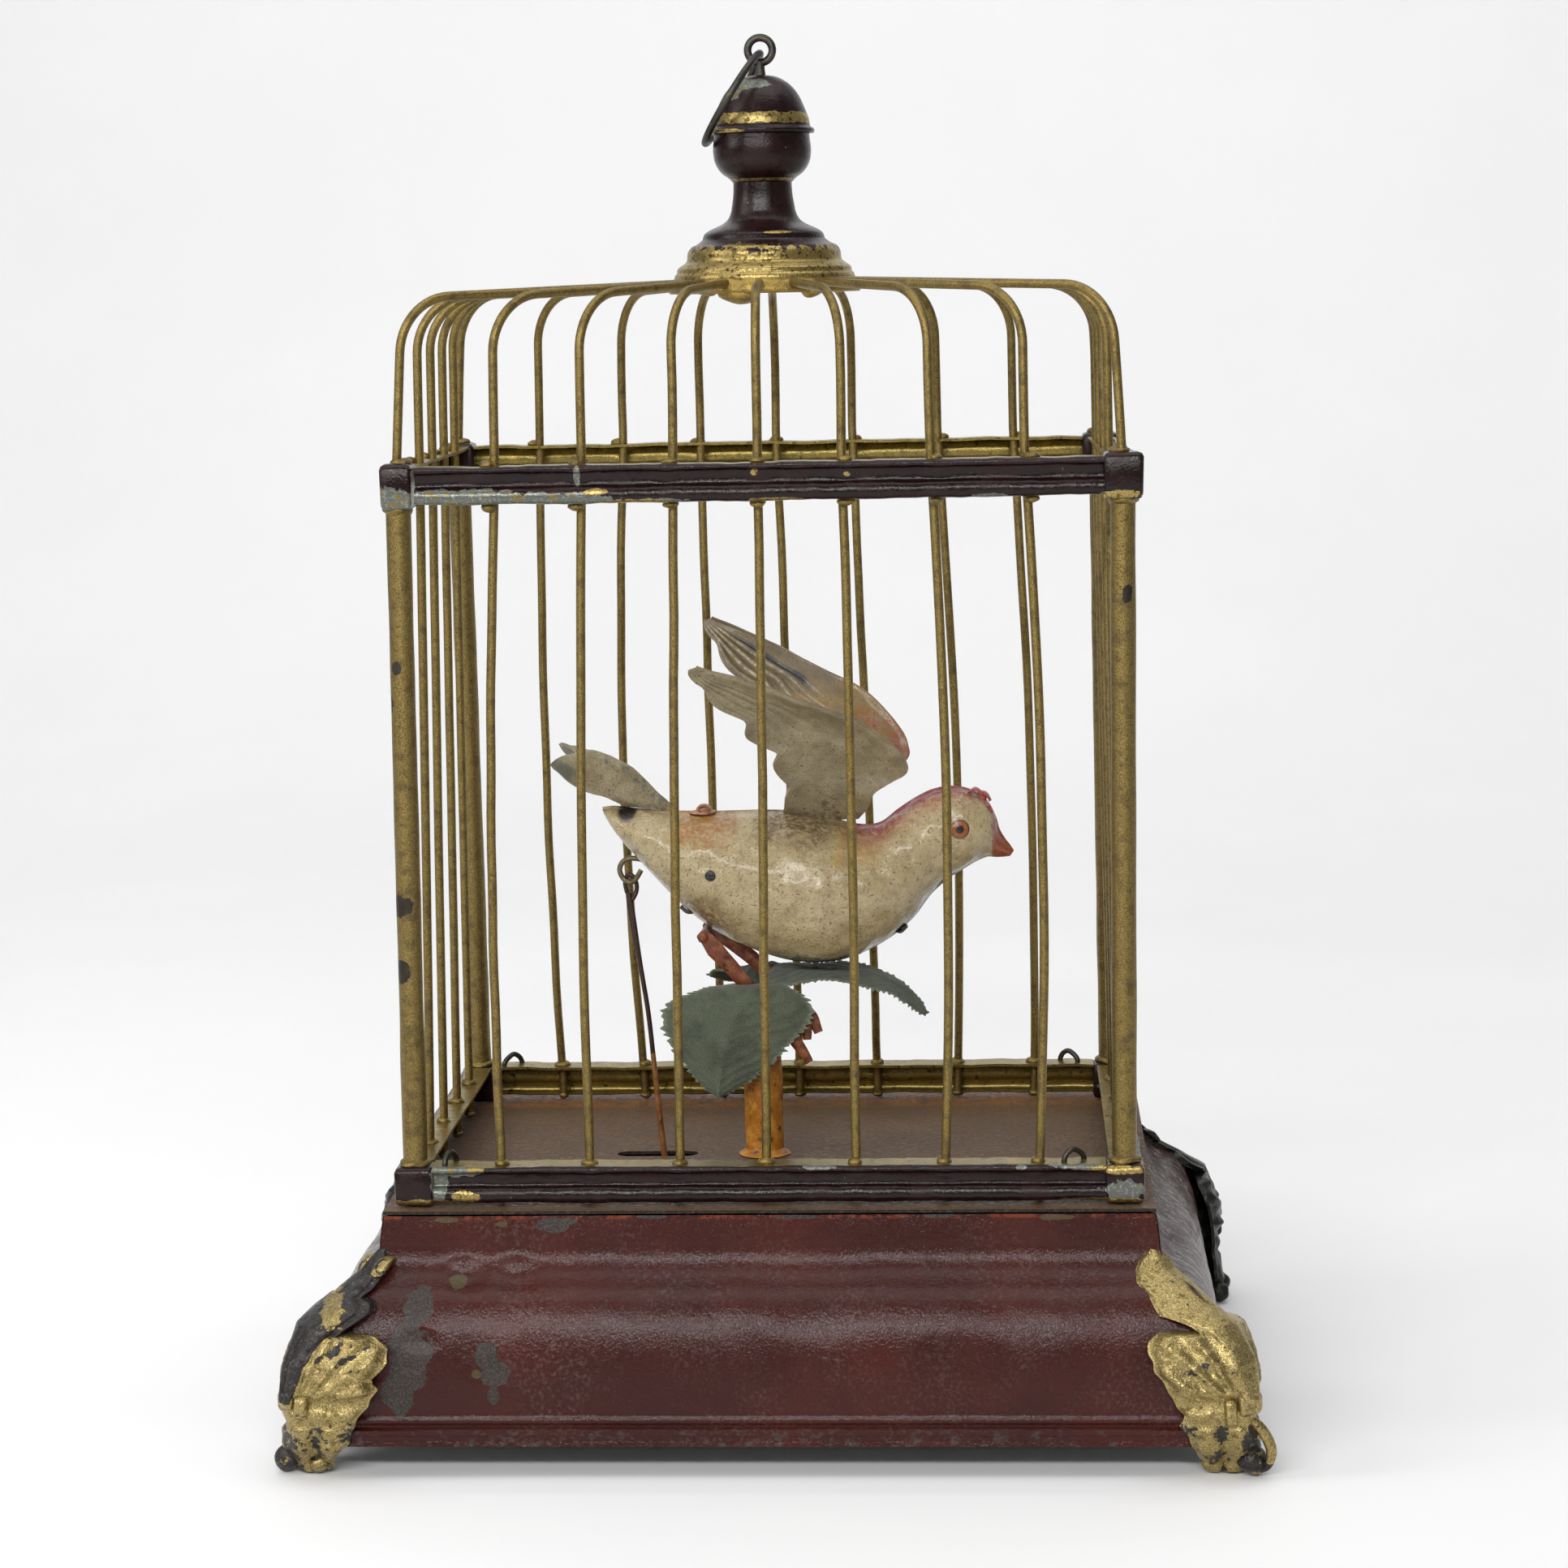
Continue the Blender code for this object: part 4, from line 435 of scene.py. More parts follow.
def stovedOxblood(name, bloomShare, losses, browns, wrinkled=0.0):
    # stoved oil paint on tin: deep brown red and glossy, orange peel that sparkles, thin bloom and
    # browned bare places
    finish, shader, place = startFinish(name, 0.2, Specular_IOR_Level=0.22 - 0.14 * wrinkled,
                                        Coat_Weight=0.15 * (1 - wrinkled), Coat_Roughness=0.4)
    cloud = patches(place, 26, 0.4, 0.7, seed=3.0)
    bloom = patches(place, 0.7, 0.46, 0.72, detail=6.0, seed=9.0)
    wide = patches(place, 16, 0.4, 0.66, detail=5.0, seed=14.0)
    peel = patches(place, 0.5, 0.25, 0.75, detail=2.0)
    rub = patches(place, 1.5, 0.7, 0.75, detail=9.0, stretch=(0.6, 0.6, 1.3), seed=21.0)
    crease = patches(place, 2.4, 0.4, 0.62, detail=7.0, stretch=(1, 1.3, 0.7), seed=31.0)
    dusty = blendOf("MULTIPLY", bloom, wide, bloomShare)
    brim = blendOf("MULTIPLY", along(place, "Z", 42.3, 42.9), patches(place, 2.0, 0.46, 0.6, seed=5.0))
    hem = blendOf("MULTIPLY", along(place, "Z", 9.0, 8.2), patches(place, 1.6, 0.54, 0.64, seed=6.0))
    layers = [(cloud, "#43140a"), (crease, 0.8 * wrinkled, "#877b74"), (dusty, "#75665f"),
              (rub, 0.5, "#6a5850"), (brim, "#6f3018"), (hem, 0.6, "#4b423d")]
    worn = blendOf("MULTIPLY", rub, 0.3)
    if losses:
        bare = blendOf("MULTIPLY", spots(place, losses, edge=0.62, ragged=2.0),
                       patches(place, 1.2, 0.22, 0.42, detail=8.0, seed=27.0))
        freckle = patches(place, 0.35, 0.45, 0.62, detail=4.0, seed=2.0)
        bareColour = coats("#2f2825", [(freckle, "#4b423c")])
        layers += [(spots(place, browns, edge=0.5, ragged=1.6), "#4c4029"), (bare, bareColour)]
        worn = blendOf("MAXIMUM", worn, bare)
    layOn(shader, coats("#360e07", layers), roughness=(blendOf("MAXIMUM", worn, dusty), 0.14, 0.42),
          relief=[(peel, 0.05), (worn, -0.05), (crease, 0.03 + wrinkled * 0.9)])
    return finish


def giltPaint(name, base, dark, light, wear, size, losses=(), lossColour="#85888a"):
    # bronze powder in varnish on wire: a satin metal with fine grain, browned in places and worn grey
    # in a few spots
    finish, shader, place = startFinish(name, 0.36, Metallic=0.8)
    deep = patches(place, size, 0.46, 0.7, seed=2.0, detail=6.0)
    powder = patches(place, 0.22, 0.35, 0.65, detail=2.0, seed=7.0)
    worn = patches(place, size * 1.5, 1.0 - wear, 1.06 - wear, detail=8.0, seed=13.0)
    layers = [(powder, 0.7, light), (deep, 0.6, dark), (worn, lossColour)]
    if losses:
        layers += [(spots(place, losses, edge=0.5), lossColour)]
    layOn(shader, coats(base, layers), roughness=(powder, 0.3, 0.48), metal=(deep, 0.85, 0.6),
          relief=[(powder, 0.02), (deep, -0.02)])
    return finish


def stampedFoot(name, lead, leadLight):
    # stamped lead foot: gold bronze on the parts marked gold, dull grey lead worn pale elsewhere, with
    # painted glints and shade
    finish, shader, place = startFinish(name, 0.45, Metallic=0.6)
    tree = finish.node_tree
    gold = addNode(tree, "ShaderNodeAttribute", attribute_name="gold").outputs["Fac"]
    rubbed = patches(place, 1.7, 0.3, 0.7, detail=8.0, seed=4.0)
    cover = addNode(tree, "ShaderNodeMath", {0: gold, 1: rubbed}, operation="ADD").outputs[0]
    cover = addNode(tree, "ShaderNodeMapRange",
                    {"Value": cover, "From Min": 0.86, "From Max": 0.94}).outputs[0]
    # pale patches are partly wear and partly painted glints; the dark shade spots are painted shade
    pale = patches(place, 1.1, 0.56, 0.68, detail=8.0, seed=9.0)
    shadeSpots = patches(place, 1.4, 0.52, 0.68, detail=5.0, seed=15.0)
    grain = patches(place, 0.4, 0.3, 0.7, detail=2.0)
    bare = coats(lead, [(pale, 0.6, leadLight), (shadeSpots, "#1f1d1c")])
    powder = patches(place, 0.22, 0.35, 0.65, detail=2.0, seed=7.0)
    # the bronze: powder grain, painted glints where pale and painted shade in the dark spots
    bronze = coats("#7f6e3d", [(powder, "#bda974"), (pale, 0.7, "#d3c18a"), (shadeSpots, 0.6, "#4d3e1c")])
    layOn(shader, coats(bare, [(cover, bronze)]), roughness=(shadeSpots, 0.28, 0.55), metal=(cover, 0.55, 0.85),
          relief=[(grain, 0.05), (cover, 0.05), (pale, 0.04)])
    return finish


def maroonRail(name, losses, gold):
    # glossy maroon black varnish over tin: bronze paint inside and on the flange, bare tin where it chipped
    finish, shader, place = startFinish(name, 0.22, Specular_IOR_Level=0.28)
    tree = finish.node_tree
    inside = addNode(tree, "ShaderNodeAttribute", attribute_name="inside").outputs["Fac"]
    cloud = patches(place, 6, 0.45, 0.62, detail=6.0)
    bright = patches(place, 2.4, 0.5, 0.66, detail=6.0, seed=4.0)
    chips = patches(place, 1.3, 0.69, 0.71, detail=8.0, seed=8.0)
    grain = patches(place, 0.4, 0.3, 0.7, detail=2.0)
    powder = patches(place, 0.22, 0.35, 0.65, detail=2.0, seed=7.0)
    goldSide = coats("#6f673f", [(powder, "#a08a4a"), (bright, 0.6, "#b09550"),
                                 (patches(place, 1.6, 0.56, 0.68, detail=6.0), "#42361c")])
    dark = coats("#190909", [(cloud, "#220d0d"), (bright, 0.15, "#3d2b29")])
    bare = chips
    if losses:
        bare = blendOf("MAXIMUM", chips, spots(place, losses, edge=0.6, ragged=1.5))
    goldSpots = spots(place, gold, edge=0.5, ragged=1.3)
    tin = coats("#64675f", [(patches(place, 0.5, 0.5, 0.66, detail=6.0, seed=3.0), "#8c8f88"),
                            (patches(place, 1.8, 0.56, 0.64, detail=8.0, seed=6.0), "#7d6b36")])
    goldLeaf = coats("#836f3c",
                     [(powder, "#b5a067"), (patches(place, 0.9, 0.5, 0.66, detail=6.0, seed=9.0), "#4a3a1a")])
    colour = coats(dark, [(bare, tin), (goldSpots, goldLeaf), (inside, goldSide)])
    shine = blendOf("MAXIMUM", inside, goldSpots, blendOf("MULTIPLY", bare, 0.5))
    layOn(shader, colour, roughness=(blendOf("MAXIMUM", shine, cloud), 0.2, 0.34), metal=(shine, 0.0, 0.85),
          relief=[(grain, 0.02), (bare, -0.06), (goldSpots, 0.02)])
    return finish


def plainMetal(name, colour, rough, spotColour, size=2.0, brushed=(1, 1, 1)):
    # turned or drawn metal: fine tool lines and small dull specks
    finish, shader, place = startFinish(name, rough, Metallic=1.0)
    lines = patches(place, 0.6, 0.3, 0.7, stretch=brushed)
    specks = patches(place, size, 0.56, 0.7, detail=7.0, seed=6.0)
    layOn(shader, coats(colour, [(specks, spotColour)]), roughness=(specks, rough, rough + 0.2),
          relief=[(lines, 0.02)])
    return finish


def drabFloorPaint():
    # thin brown distemper on the tin floor: sandy, speckled, scratched along X, with an orange worn
    # strip at the back, and painted shade on its edge below the top face
    finish, shader, place = startFinish("drabFloorPaint", 0.55)
    sand = patches(place, 1.1, 0.4, 0.7, detail=8.0)
    cloud = patches(place, 12, 0.4, 0.65, seed=2.0)
    strip = blendOf("MULTIPLY", along(place, "Y", 31.0, 36.0), patches(place, 3, 0.35, 0.55))
    scratch = patches(place, 1.0, 0.64, 0.7, detail=6.0, stretch=(0.12, 1, 1), seed=9.0)
    layers = [(cloud, "#5a3f25"), (sand, "#775a3a"), (patches(place, 0.6, 0.58, 0.68, seed=5.0), "#33251a"),
              # the last coat is painted shade: the floor's edge below its top face drawn dark
              (scratch, "#3a2618"), (strip, "#8f5a22"), (along(place, "Z", 44.07, 44.03), "#241b13")]
    layOn(shader, coats("#664a2d", layers), roughness=(sand, 0.45, 0.68),
          relief=[(sand, 0.3), (scratch, -0.05)])
    return finish


birdPaint = {
    # hole and cavity are near-black discs: painted shade inside an unmodelled hole and in the cavity at the
    # rump
    "eye": (33.9, 105.3), "eyeRing": 1.5, "pupil": 0.75, "hole": (-11.0, 97.8), "holeRadius": 0.95,
    "legDirt": ((-12.5, 88.0), 4.5, 4.0), "cavity": ((-26.6, 108.6), 1.7, 0.5),
    "beak": (39.7, 40.2, 0.5), "belly": (82.0, 80.2, -1.2),
    # each zone has a range from ridge to belly or in height, a start and an end along X, and after each pair
    # how far the paint's flow stirs that edge
    "byRidge": {"nape": ((0.4, 0.12, 0.06), (12.0, 16.5, 2.0), (37.4, 34.5, 1.0)),
                "deepNape": ((0.22, 0.05, 0.03), (12.0, 17.0, 2.0), (38.0, 36.0, 1.0)),
                "throat": ((0.86, 0.97, 0.04), (14.0, 20.0, 1.0), (36.0, 32.0, 1.0))},
    "byHeight": {"orange": ((103.6, 107.0, 2.6), (-17.5, -15.0, 1.0), (-4.0, -7.0, 1.5)),
                 "amber": ((103.0, 106.0, 2.6), (-20.0, -15.5, 1.0), (-7.0, -12.0, 1.5)),
                 "yellow": ((98.0, 103.0, 3.0), (11.0, 14.0, 2.0), (22.5, 17.5, 2.0)),
                 "soot": ((103.0, 107.5, 3.0), (-3.5, 0.0, 2.0), (14.5, 10.0, 2.0))},
}


def enamelledBird():
    # brushed enamel on stamped tin: cream with brown specks, red head and nape, dark belly, dabbed by hand
    finish, shader, place = startFinish("creamBirdEnamel", 0.3, Coat_Weight=0.35, Coat_Roughness=0.2)
    tree = finish.node_tree
    flow = patches(place, 3.5, 0.35, 0.65, detail=5.0)
    x, y, z = (addNode(tree, "ShaderNodeSeparateXYZ", {0: place}).outputs[i] for i in range(3))

    def ramp(value, low, high, stir=0.0):
        # a mask rising over low to high, its edge stirred by the paint's flow
        stirred = addNode(tree, "ShaderNodeMath", {0: flow, 1: stir, 2: value},
                          operation="MULTIPLY_ADD").outputs[0]
        return addNode(tree, "ShaderNodeMapRange", {"Value": stirred, "From Min": low, "From Max": high},
                       interpolation_type="SMOOTHSTEP").outputs[0]

    def disc(centre, radius, edge):
        # a mask inside a circle seen from the bird's side
        dx = addNode(tree, "ShaderNodeMath", {0: x, 1: centre[0]}, operation="SUBTRACT").outputs[0]
        dz = addNode(tree, "ShaderNodeMath", {0: z, 1: centre[1]}, operation="SUBTRACT").outputs[0]
        far = addNode(tree, "ShaderNodeVectorMath",
                      {0: addNode(tree, "ShaderNodeCombineXYZ", {0: dx, 2: dz}).outputs[0]},
                      operation="LENGTH").outputs["Value"]
        return addNode(tree, "ShaderNodeMapRange",
                       {"Value": far, "From Min": radius + edge, "From Max": radius - edge},
                       interpolation_type="SMOOTHSTEP").outputs[0]

    specks = patches(place, 0.42, 0.58, 0.66, detail=4.0, seed=4.0)
    grime = patches(place, 0.3, 0.42, 0.66, detail=3.0, seed=19.0)
    fine = patches(place, 1.6, 0.46, 0.7, detail=8.0, seed=8.0)
    dirt = patches(place, 5.0, 0.46, 0.66, detail=8.0, seed=11.0)
    fade = patches(place, 0.9, 0.3, 0.62, detail=8.0, seed=17.0)
    ridge = addNode(tree, "ShaderNodeAttribute", attribute_name="ridge").outputs["Fac"]
    zone = {}
    for value, zones in ((ridge, birdPaint["byRidge"]), (z, birdPaint["byHeight"])):
        for title, (rise, start, end) in zones.items():
            zone[title] = blendOf("MULTIPLY", ramp(value, *rise), ramp(x, *start), ramp(x, *end))
    eyeAt, eyeRing = birdPaint["eye"], birdPaint["eyeRing"]
    layers = [(fine, "#a08e66"), (dirt, 0.4, "#8a7650"), (grime, 0.28, "#6e5a38"), (specks, 0.8, "#4d3b22"),
              (zone["yellow"], fade, 0.6, "#b08a35"),
              (zone["amber"], blendOf("ADD", fade, 0.2), 0.7, "#a27a30"),
              (zone["orange"], fade, 0.8, "#915a20"), (zone["soot"], fade, 0.8, "#4d3320"),
              (disc(*birdPaint["legDirt"]), fade, 0.9, "#5f3a20"),
              (ramp(z, *birdPaint["belly"]), 0.9, "#26252a"), (zone["throat"], 0.8, "#2d3140"),
              (zone["nape"], blendOf("ADD", fade, 0.15), 0.75, "#9c4a40"),
              (zone["deepNape"], blendOf("ADD", fade, 0.4), "#7d2224"),
              (ramp(x, *birdPaint["beak"]), "#87411b"), (disc(eyeAt, eyeRing + 0.22, 0.1), "#3a2412"),
              (disc(eyeAt, eyeRing, 0.12), "#934d14"), (disc(eyeAt, birdPaint["pupil"], 0.1), "#0e0b0a"),
              # painted shade: the hole and the cavity at the rump drawn near black
              (disc(birdPaint["hole"], birdPaint["holeRadius"], 0.1), "#050403"),
              (disc(*birdPaint["cavity"]), "#1a1512")]
    layOn(shader, coats("#b5a47c", layers), roughness=(grime, 0.14, 0.34),
          relief=[(flow, 0.16), (fine, 0.05), (specks, 0.03),
                  (disc(birdPaint["hole"], birdPaint["holeRadius"], 0.2), -0.5)])
    return finish


quillTurn = 40.84  # radians of the quills' wave across a wing: six and a half waves


def enamelledWing(name, base, dull, painted):
    # the same enamel rubbed thin: a wing's red shoulder, amber middle, blue black streak and quills with
    # painted highlights on their pressed crests, or a tail's streaks
    finish, shader, place = startFinish(name, 0.34, Coat_Weight=0.25, Coat_Roughness=0.25)
    tree = finish.node_tree
    span = addNode(tree, "ShaderNodeAttribute", attribute_name="span").outputs["Fac"]
    chord = addNode(tree, "ShaderNodeAttribute", attribute_name="chord").outputs["Fac"]
    topSide = addNode(tree, "ShaderNodeAttribute", attribute_name="topSide").outputs["Fac"]
    flow = patches(place, 4.0, 0.35, 0.65, detail=6.0)
    dust = patches(place, 1.0, 0.42, 0.66, detail=8.0, seed=3.0)

    def band(value, low, high, soft, stir):
        # 1 between low and high, stirred by the paint's flow
        moved = addNode(tree, "ShaderNodeMath", {0: flow, 1: stir, 2: value},
                        operation="MULTIPLY_ADD").outputs[0]
        rise = addNode(tree, "ShaderNodeMapRange",
                       {"Value": moved, "From Min": low - soft, "From Max": low + soft})
        fall = addNode(tree, "ShaderNodeMapRange",
                       {"Value": moved, "From Min": high + soft, "From Max": high - soft})
        return blendOf("MULTIPLY", rise.outputs[0], fall.outputs[0])

    grime = patches(place, 0.3, 0.42, 0.66, detail=3.0, seed=19.0)
    dirt = patches(place, 5.0, 0.46, 0.66, detail=8.0, seed=11.0)
    layers = [(flow, dull), (dirt, 0.5, "#6d6148"), (grime, 0.35, "#5f5038"),
              (patches(place, 0.5, 0.6, 0.68), "#4f3d26")]
    if painted:
        quills = blendOf("MULTIPLY", chord, quillTurn)
        quills = addNode(tree, "ShaderNodeMath", {0: quills}, operation="COSINE").outputs[0]
        # pale: painted highlights along the crests of the pressed quills, which follow the same wave
        pale = addNode(tree, "ShaderNodeMapRange",
                       {"Value": quills, "From Min": 0.75, "From Max": 1.0}).outputs[0]
        far = band(span, 0.5, 1.1, 0.06, 0.1)
        layers += [(far, band(chord, -0.2, 0.3, 0.05, 0.1), topSide, 0.5, "#6a5a42"),
                   # pale quill crests: painted highlight, patchy with the dust
                   (far, band(chord, 0.45, 0.95, 0.05, 0.02), pale, dust, topSide, 0.6, "#cfc6ac"),
                   (band(span, 0.3, 0.56, 0.07, 0.1), blendOf("ADD", dust, 0.3), topSide, 0.8, "#95702b"),
                   (band(span, 0.2, 0.42, 0.06, 0.1), blendOf("ADD", dust, 0.2), topSide, 0.8, "#8a4c26"),
                   (band(span, 0.02, 0.38, 0.06, 0.1), band(chord, -0.3, 0.8, 0.15, 0.2),
                    blendOf("ADD", dust, 0.25), topSide, 0.8, "#7f3a2c"),
                   (band(span, 0.58, 0.9, 0.03, 0.02), band(chord, 0.33, 0.42, 0.03, 0.02), topSide,
                    "#222a33")]
    else:
        layers += [(band(span, 0.2, 0.8, 0.1, 0.1), band(chord, 0.14, 0.34, 0.06, 0.06), dust, 0.9,
                    "#39434a"),
                   (band(span, 0.8, 1.1, 0.08, 0.1), band(chord, 0.8, 1.2, 0.06, 0.1), 0.6, "#4a504c"),
                   (band(span, 0.62, 0.8, 0.06, 0.1), band(chord, 0.7, 0.95, 0.06, 0.1), dust, 0.6,
                    "#a06a3c")]
    root = band(span, -0.2, 0.12, 0.07, 0.12)
    layers += [(root, blendOf("ADD", dust, 0.2), 0.8, "#4f3822")]
    layOn(shader, coats(base, layers), roughness=(flow, 0.26, 0.46), relief=[(flow, 0.05), (grime, 0.03)])
    return finish


def waxedLeafCloth(name, base, light, dark):
    # starched and waxed cotton: dull, with the grain of a fine weave, dark stains and pale frayed edges
    finish, shader, place = startFinish(name, 0.72, Sheen_Weight=0.25)
    tree = finish.node_tree
    edge = addNode(tree, "ShaderNodeAttribute", attribute_name="edge").outputs["Fac"]
    threads = patches(place, 0.16, 0.35, 0.65, detail=1.0, stretch=(1, 1, 0.6))
    stain = patches(place, 5.0, 0.44, 0.66, detail=4.0)
    layers = [(stain, dark), (threads, 0.22, light), (edge, 0.7, light)]
    layOn(shader, coats(base, layers), roughness=(stain, 0.62, 0.8), relief=[(threads, 0.08)])
    return finish


def brushedPaint(name, base, light, dark, rough=0.42, metal=0.0):
    # brush paint: a little gloss, flow marks, and dark patches where it has aged
    finish, shader, place = startFinish(name, rough, Metallic=metal)
    flow = patches(place, 2.5, 0.42, 0.64, detail=6.0)
    deep = patches(place, 1.6, 0.55, 0.68, detail=6.0, seed=5.0)
    layOn(shader, coats(base, [(flow, light), (deep, dark)]), roughness=(flow, rough, rough + 0.18),
          relief=[(flow, 0.06)])
    return finish


def turnedWood():
    # stained beech, turned: dark rings and short flecks along the grain
    finish, shader, place = startFinish("stainedBeech", 0.4, Coat_Weight=0.3, Coat_Roughness=0.25)
    grain = patches(place, 1.4, 0.4, 0.66, detail=6.0, stretch=(1, 0.12, 1))
    fleck = patches(place, 0.5, 0.58, 0.7, stretch=(1, 0.25, 1), seed=3.0)
    layOn(shader, coats("#3b2013", [(grain, "#5a321c"), (fleck, "#24130b")]), relief=[(grain, 0.05)])
    return finish


frontLosses = [((-37.2, -45.5, 41.7), (3.4, 6, 1.3)), ((-34.6, -45.5, 42.3), (1.6, 6, 0.7)),
               ((-60.0, -52, 29.0), (2.6, 9, 3.4)), ((-61.5, -56, 21.5), (4.2, 12, 5.4)),
               ((-63.5, -57, 15.0), (2.6, 9, 4.0)), ((-48.2, -57, 21.4), (2.2, 9, 2.4)),
               ((-46.4, -57, 18.2), (2.6, 9, 2.2)), ((-47.0, -57, 14.8), (1.0, 9, 2.0)),
               ((-20.0, -45.5, 43.0), (2.4, 6, 0.4)), ((5.0, -45.5, 42.9), (4.0, 6, 0.35)),
               ((30.0, -45.5, 43.0), (3.0, 6, 0.4))]
frontBrowns = [((-53.6, -52, 32.7), (1.7, 9, 1.1)), ((-46.2, -46, 41.8), (1.1, 6, 0.6)),
               ((-49.8, -57, 18.4), (0.8, 9, 0.8)), ((-56.0, -46, 42.6), (2.2, 6, 0.5)),
               ((50.0, -46, 42.6), (3.2, 6, 0.5))]
paint = {
    "front": stovedOxblood("stovedOxbloodFront", 0.3, frontLosses, frontBrowns),
    "side": stovedOxblood("stovedOxbloodSide", 0.5, (), (), 0.1),
    "duskySide": stovedOxblood("bloomedOxbloodSide", 1.2, (), (), 0.8),
    "wire": giltPaint("giltWire", "#6c5930", "#3d2f19", "#a89356", 0.25, size=2.4),
    "post": giltPaint("giltPost", "#6b5831", "#3d3019", "#a38f55", 0.27, size=2.2,
                      losses=[((-63, -42, 97.5), (2.6, 3, 2.0)), ((-63, -42, 86), (1.6, 3, 2.2)),
                              ((-64, -41, 133), (1.2, 3, 2.4)), ((-62, -42, 139), (0.9, 3, 1.2)),
                              ((63, -42, 150), (0.9, 3, 1.6))], lossColour="#3b342d"),
    "solder": giltPaint("giltSolder", "#876f36", "#4a3a1c", "#b39a55", 0.3, size=1.6),
    "hookWire": giltPaint("oliveBrownWire", "#6a5f46", "#3a3022", "#8d8160", 0.3, size=1.2,
                          lossColour="#3a3129"),
    "darkWire": giltPaint("darkBrownWire", "#40302a", "#241a17", "#5c483c", 0.3, size=1.6,
                          lossColour="#5f4a2c"),
    "foot": stampedFoot("wornGiltLeadFoot", "#35312f", "#77787a"),
    # the back feet: the same lead finish in darker tones
    "backFoot": stampedFoot("darkBackLeadFoot", "#24241f", "#4e4c40"),
    "floor": drabFloorPaint(),
    "tin": plainMetal("tinplate", "#8a8d8a", 0.4, "#5c5a55"),
    "iron": plainMetal("oiledIronWire", "#4a4845", 0.42, "#7a6436", size=1.2),
    "brass": plainMetal("turnedBrass", "#a8874a", 0.3, "#6f5528"),
    "steel": plainMetal("hardenedSteel", "#85878a", 0.28, "#55544f", brushed=(0.1, 1, 1)),
    "ochre": brushedPaint("ochreBrushPaint", "#a8691d", "#c88a30", "#5d3a14"),
    "rust": brushedPaint("rustBrownRodPaint", "#7a4a22", "#94642f", "#3f2a1a", 0.4),
    "brick": brushedPaint("brickLegPaint", "#69321a", "#8b5029", "#35190d", 0.32),
    "wood": turnedWood(),
}
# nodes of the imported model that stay, with their finishes
kept = {"base_floor": "floor", "base_bottom_cover": "tin", "crank_shaft": "brass", "crank_disc": "brass",
        "crank_bush": "brass", "crank_arm": "steel", "worm_wheel": "brass", "pinned_cylinder": "brass",
        "movement_frame": "tin", "tone_comb": "steel", "leg_pin": "iron"}
for node, finish in kept.items():
    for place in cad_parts[node].material_slots:
        place.material = paint[finish]
print("finishes made")


# Base skirt

# each side's own direction and the direction out of it
sideWays = {"front": ((1, 0, 0), (0, -1, 0)), "back": ((1, 0, 0), (0, 1, 0)),
            "left": ((0, 1, 0), (-1, 0, 0)), "right": ((0, 1, 0), (1, 0, 0))}
skirt = {
    "sheet": 0.6, "mitre": 0.212, "rows": 96, "columns": 240, "flatHem": (9, 14),
    "uneven": ((30, 0.16), (7, 0.05)),
    "lip": [(0.0, 43.2), (0.35, 41.0), (0.6, 38.7)],
    "cove": [(0.6, 38.7), (0.6, 35.015), (2.67, 33.34), (5.2, 32.0)],
    "belly": [(5.2, 32.0), (9.416, 29.767), (12, 23.75), (12, 15.5)],
    "hem": [(12.0, 12.5), (12.0, 11.2), (12.05, 10.9), (12.45, 10.5), (12.5, 10.2), (12.45, 9.9), (12.0, 9.5),
            (11.95, 9.1), (12.2, 8.9), (12.75, 8.6), (12.8, 8.2), (12.7, 7.8), (12.3, 7.5), (12.15, 7.0),
            (12.35, 6.3), (12.48, 5.7)],
    # place along the side, height, depth and width of each dent
    "frontDents": [(-53.4, 35.2, -0.45, 2.0), (-52.0, 32.8, 0.35, 2.6), (-44.2, 35.1, -0.5, 2.2),
                   (-42.6, 32.5, 0.4, 2.8), (-59.4, 24.0, 0.5, 2.6), (-46.5, 19.0, 0.3, 3.0),
                   (33.0, 20.0, 0.25, 6.0), (8.0, 30.0, 0.2, 7.0)],
    "sideDents": [(-20.0, 34.0, 0.4, 5.0), (12.0, 22.0, 0.5, 6.0), (28.0, 30.0, 0.35, 4.0)],
}


def onSide(side, x, out, height):
    # x along a side, out from the middle of the cage, and up
    along, outward = sideWays[side]
    return (x[..., None] * np.array(along) + out[..., None] * np.array(outward)
            + height[..., None] * np.array((0, 0, 1)))


def bezier(controls, count):
    # a cubic bezier curve through four control points
    t = np.linspace(0, 1, count)[:, None]
    a, b, c, d = np.array(controls, float)
    return a * (1 - t) ** 3 + 3 * b * t * (1 - t) ** 2 + 3 * c * t * t * (1 - t) + d * t ** 3


def skirtLine():
    # lip, cove, belly and beaded hem as one even line of (out, z)
    cove, belly = bezier(skirt["cove"], 160)[1:], bezier(skirt["belly"], 200)[1:]
    return evenly(np.vstack([skirt["lip"], cove, belly, skirt["hem"]]), skirt["rows"])


halfX, halfY = floorHalf


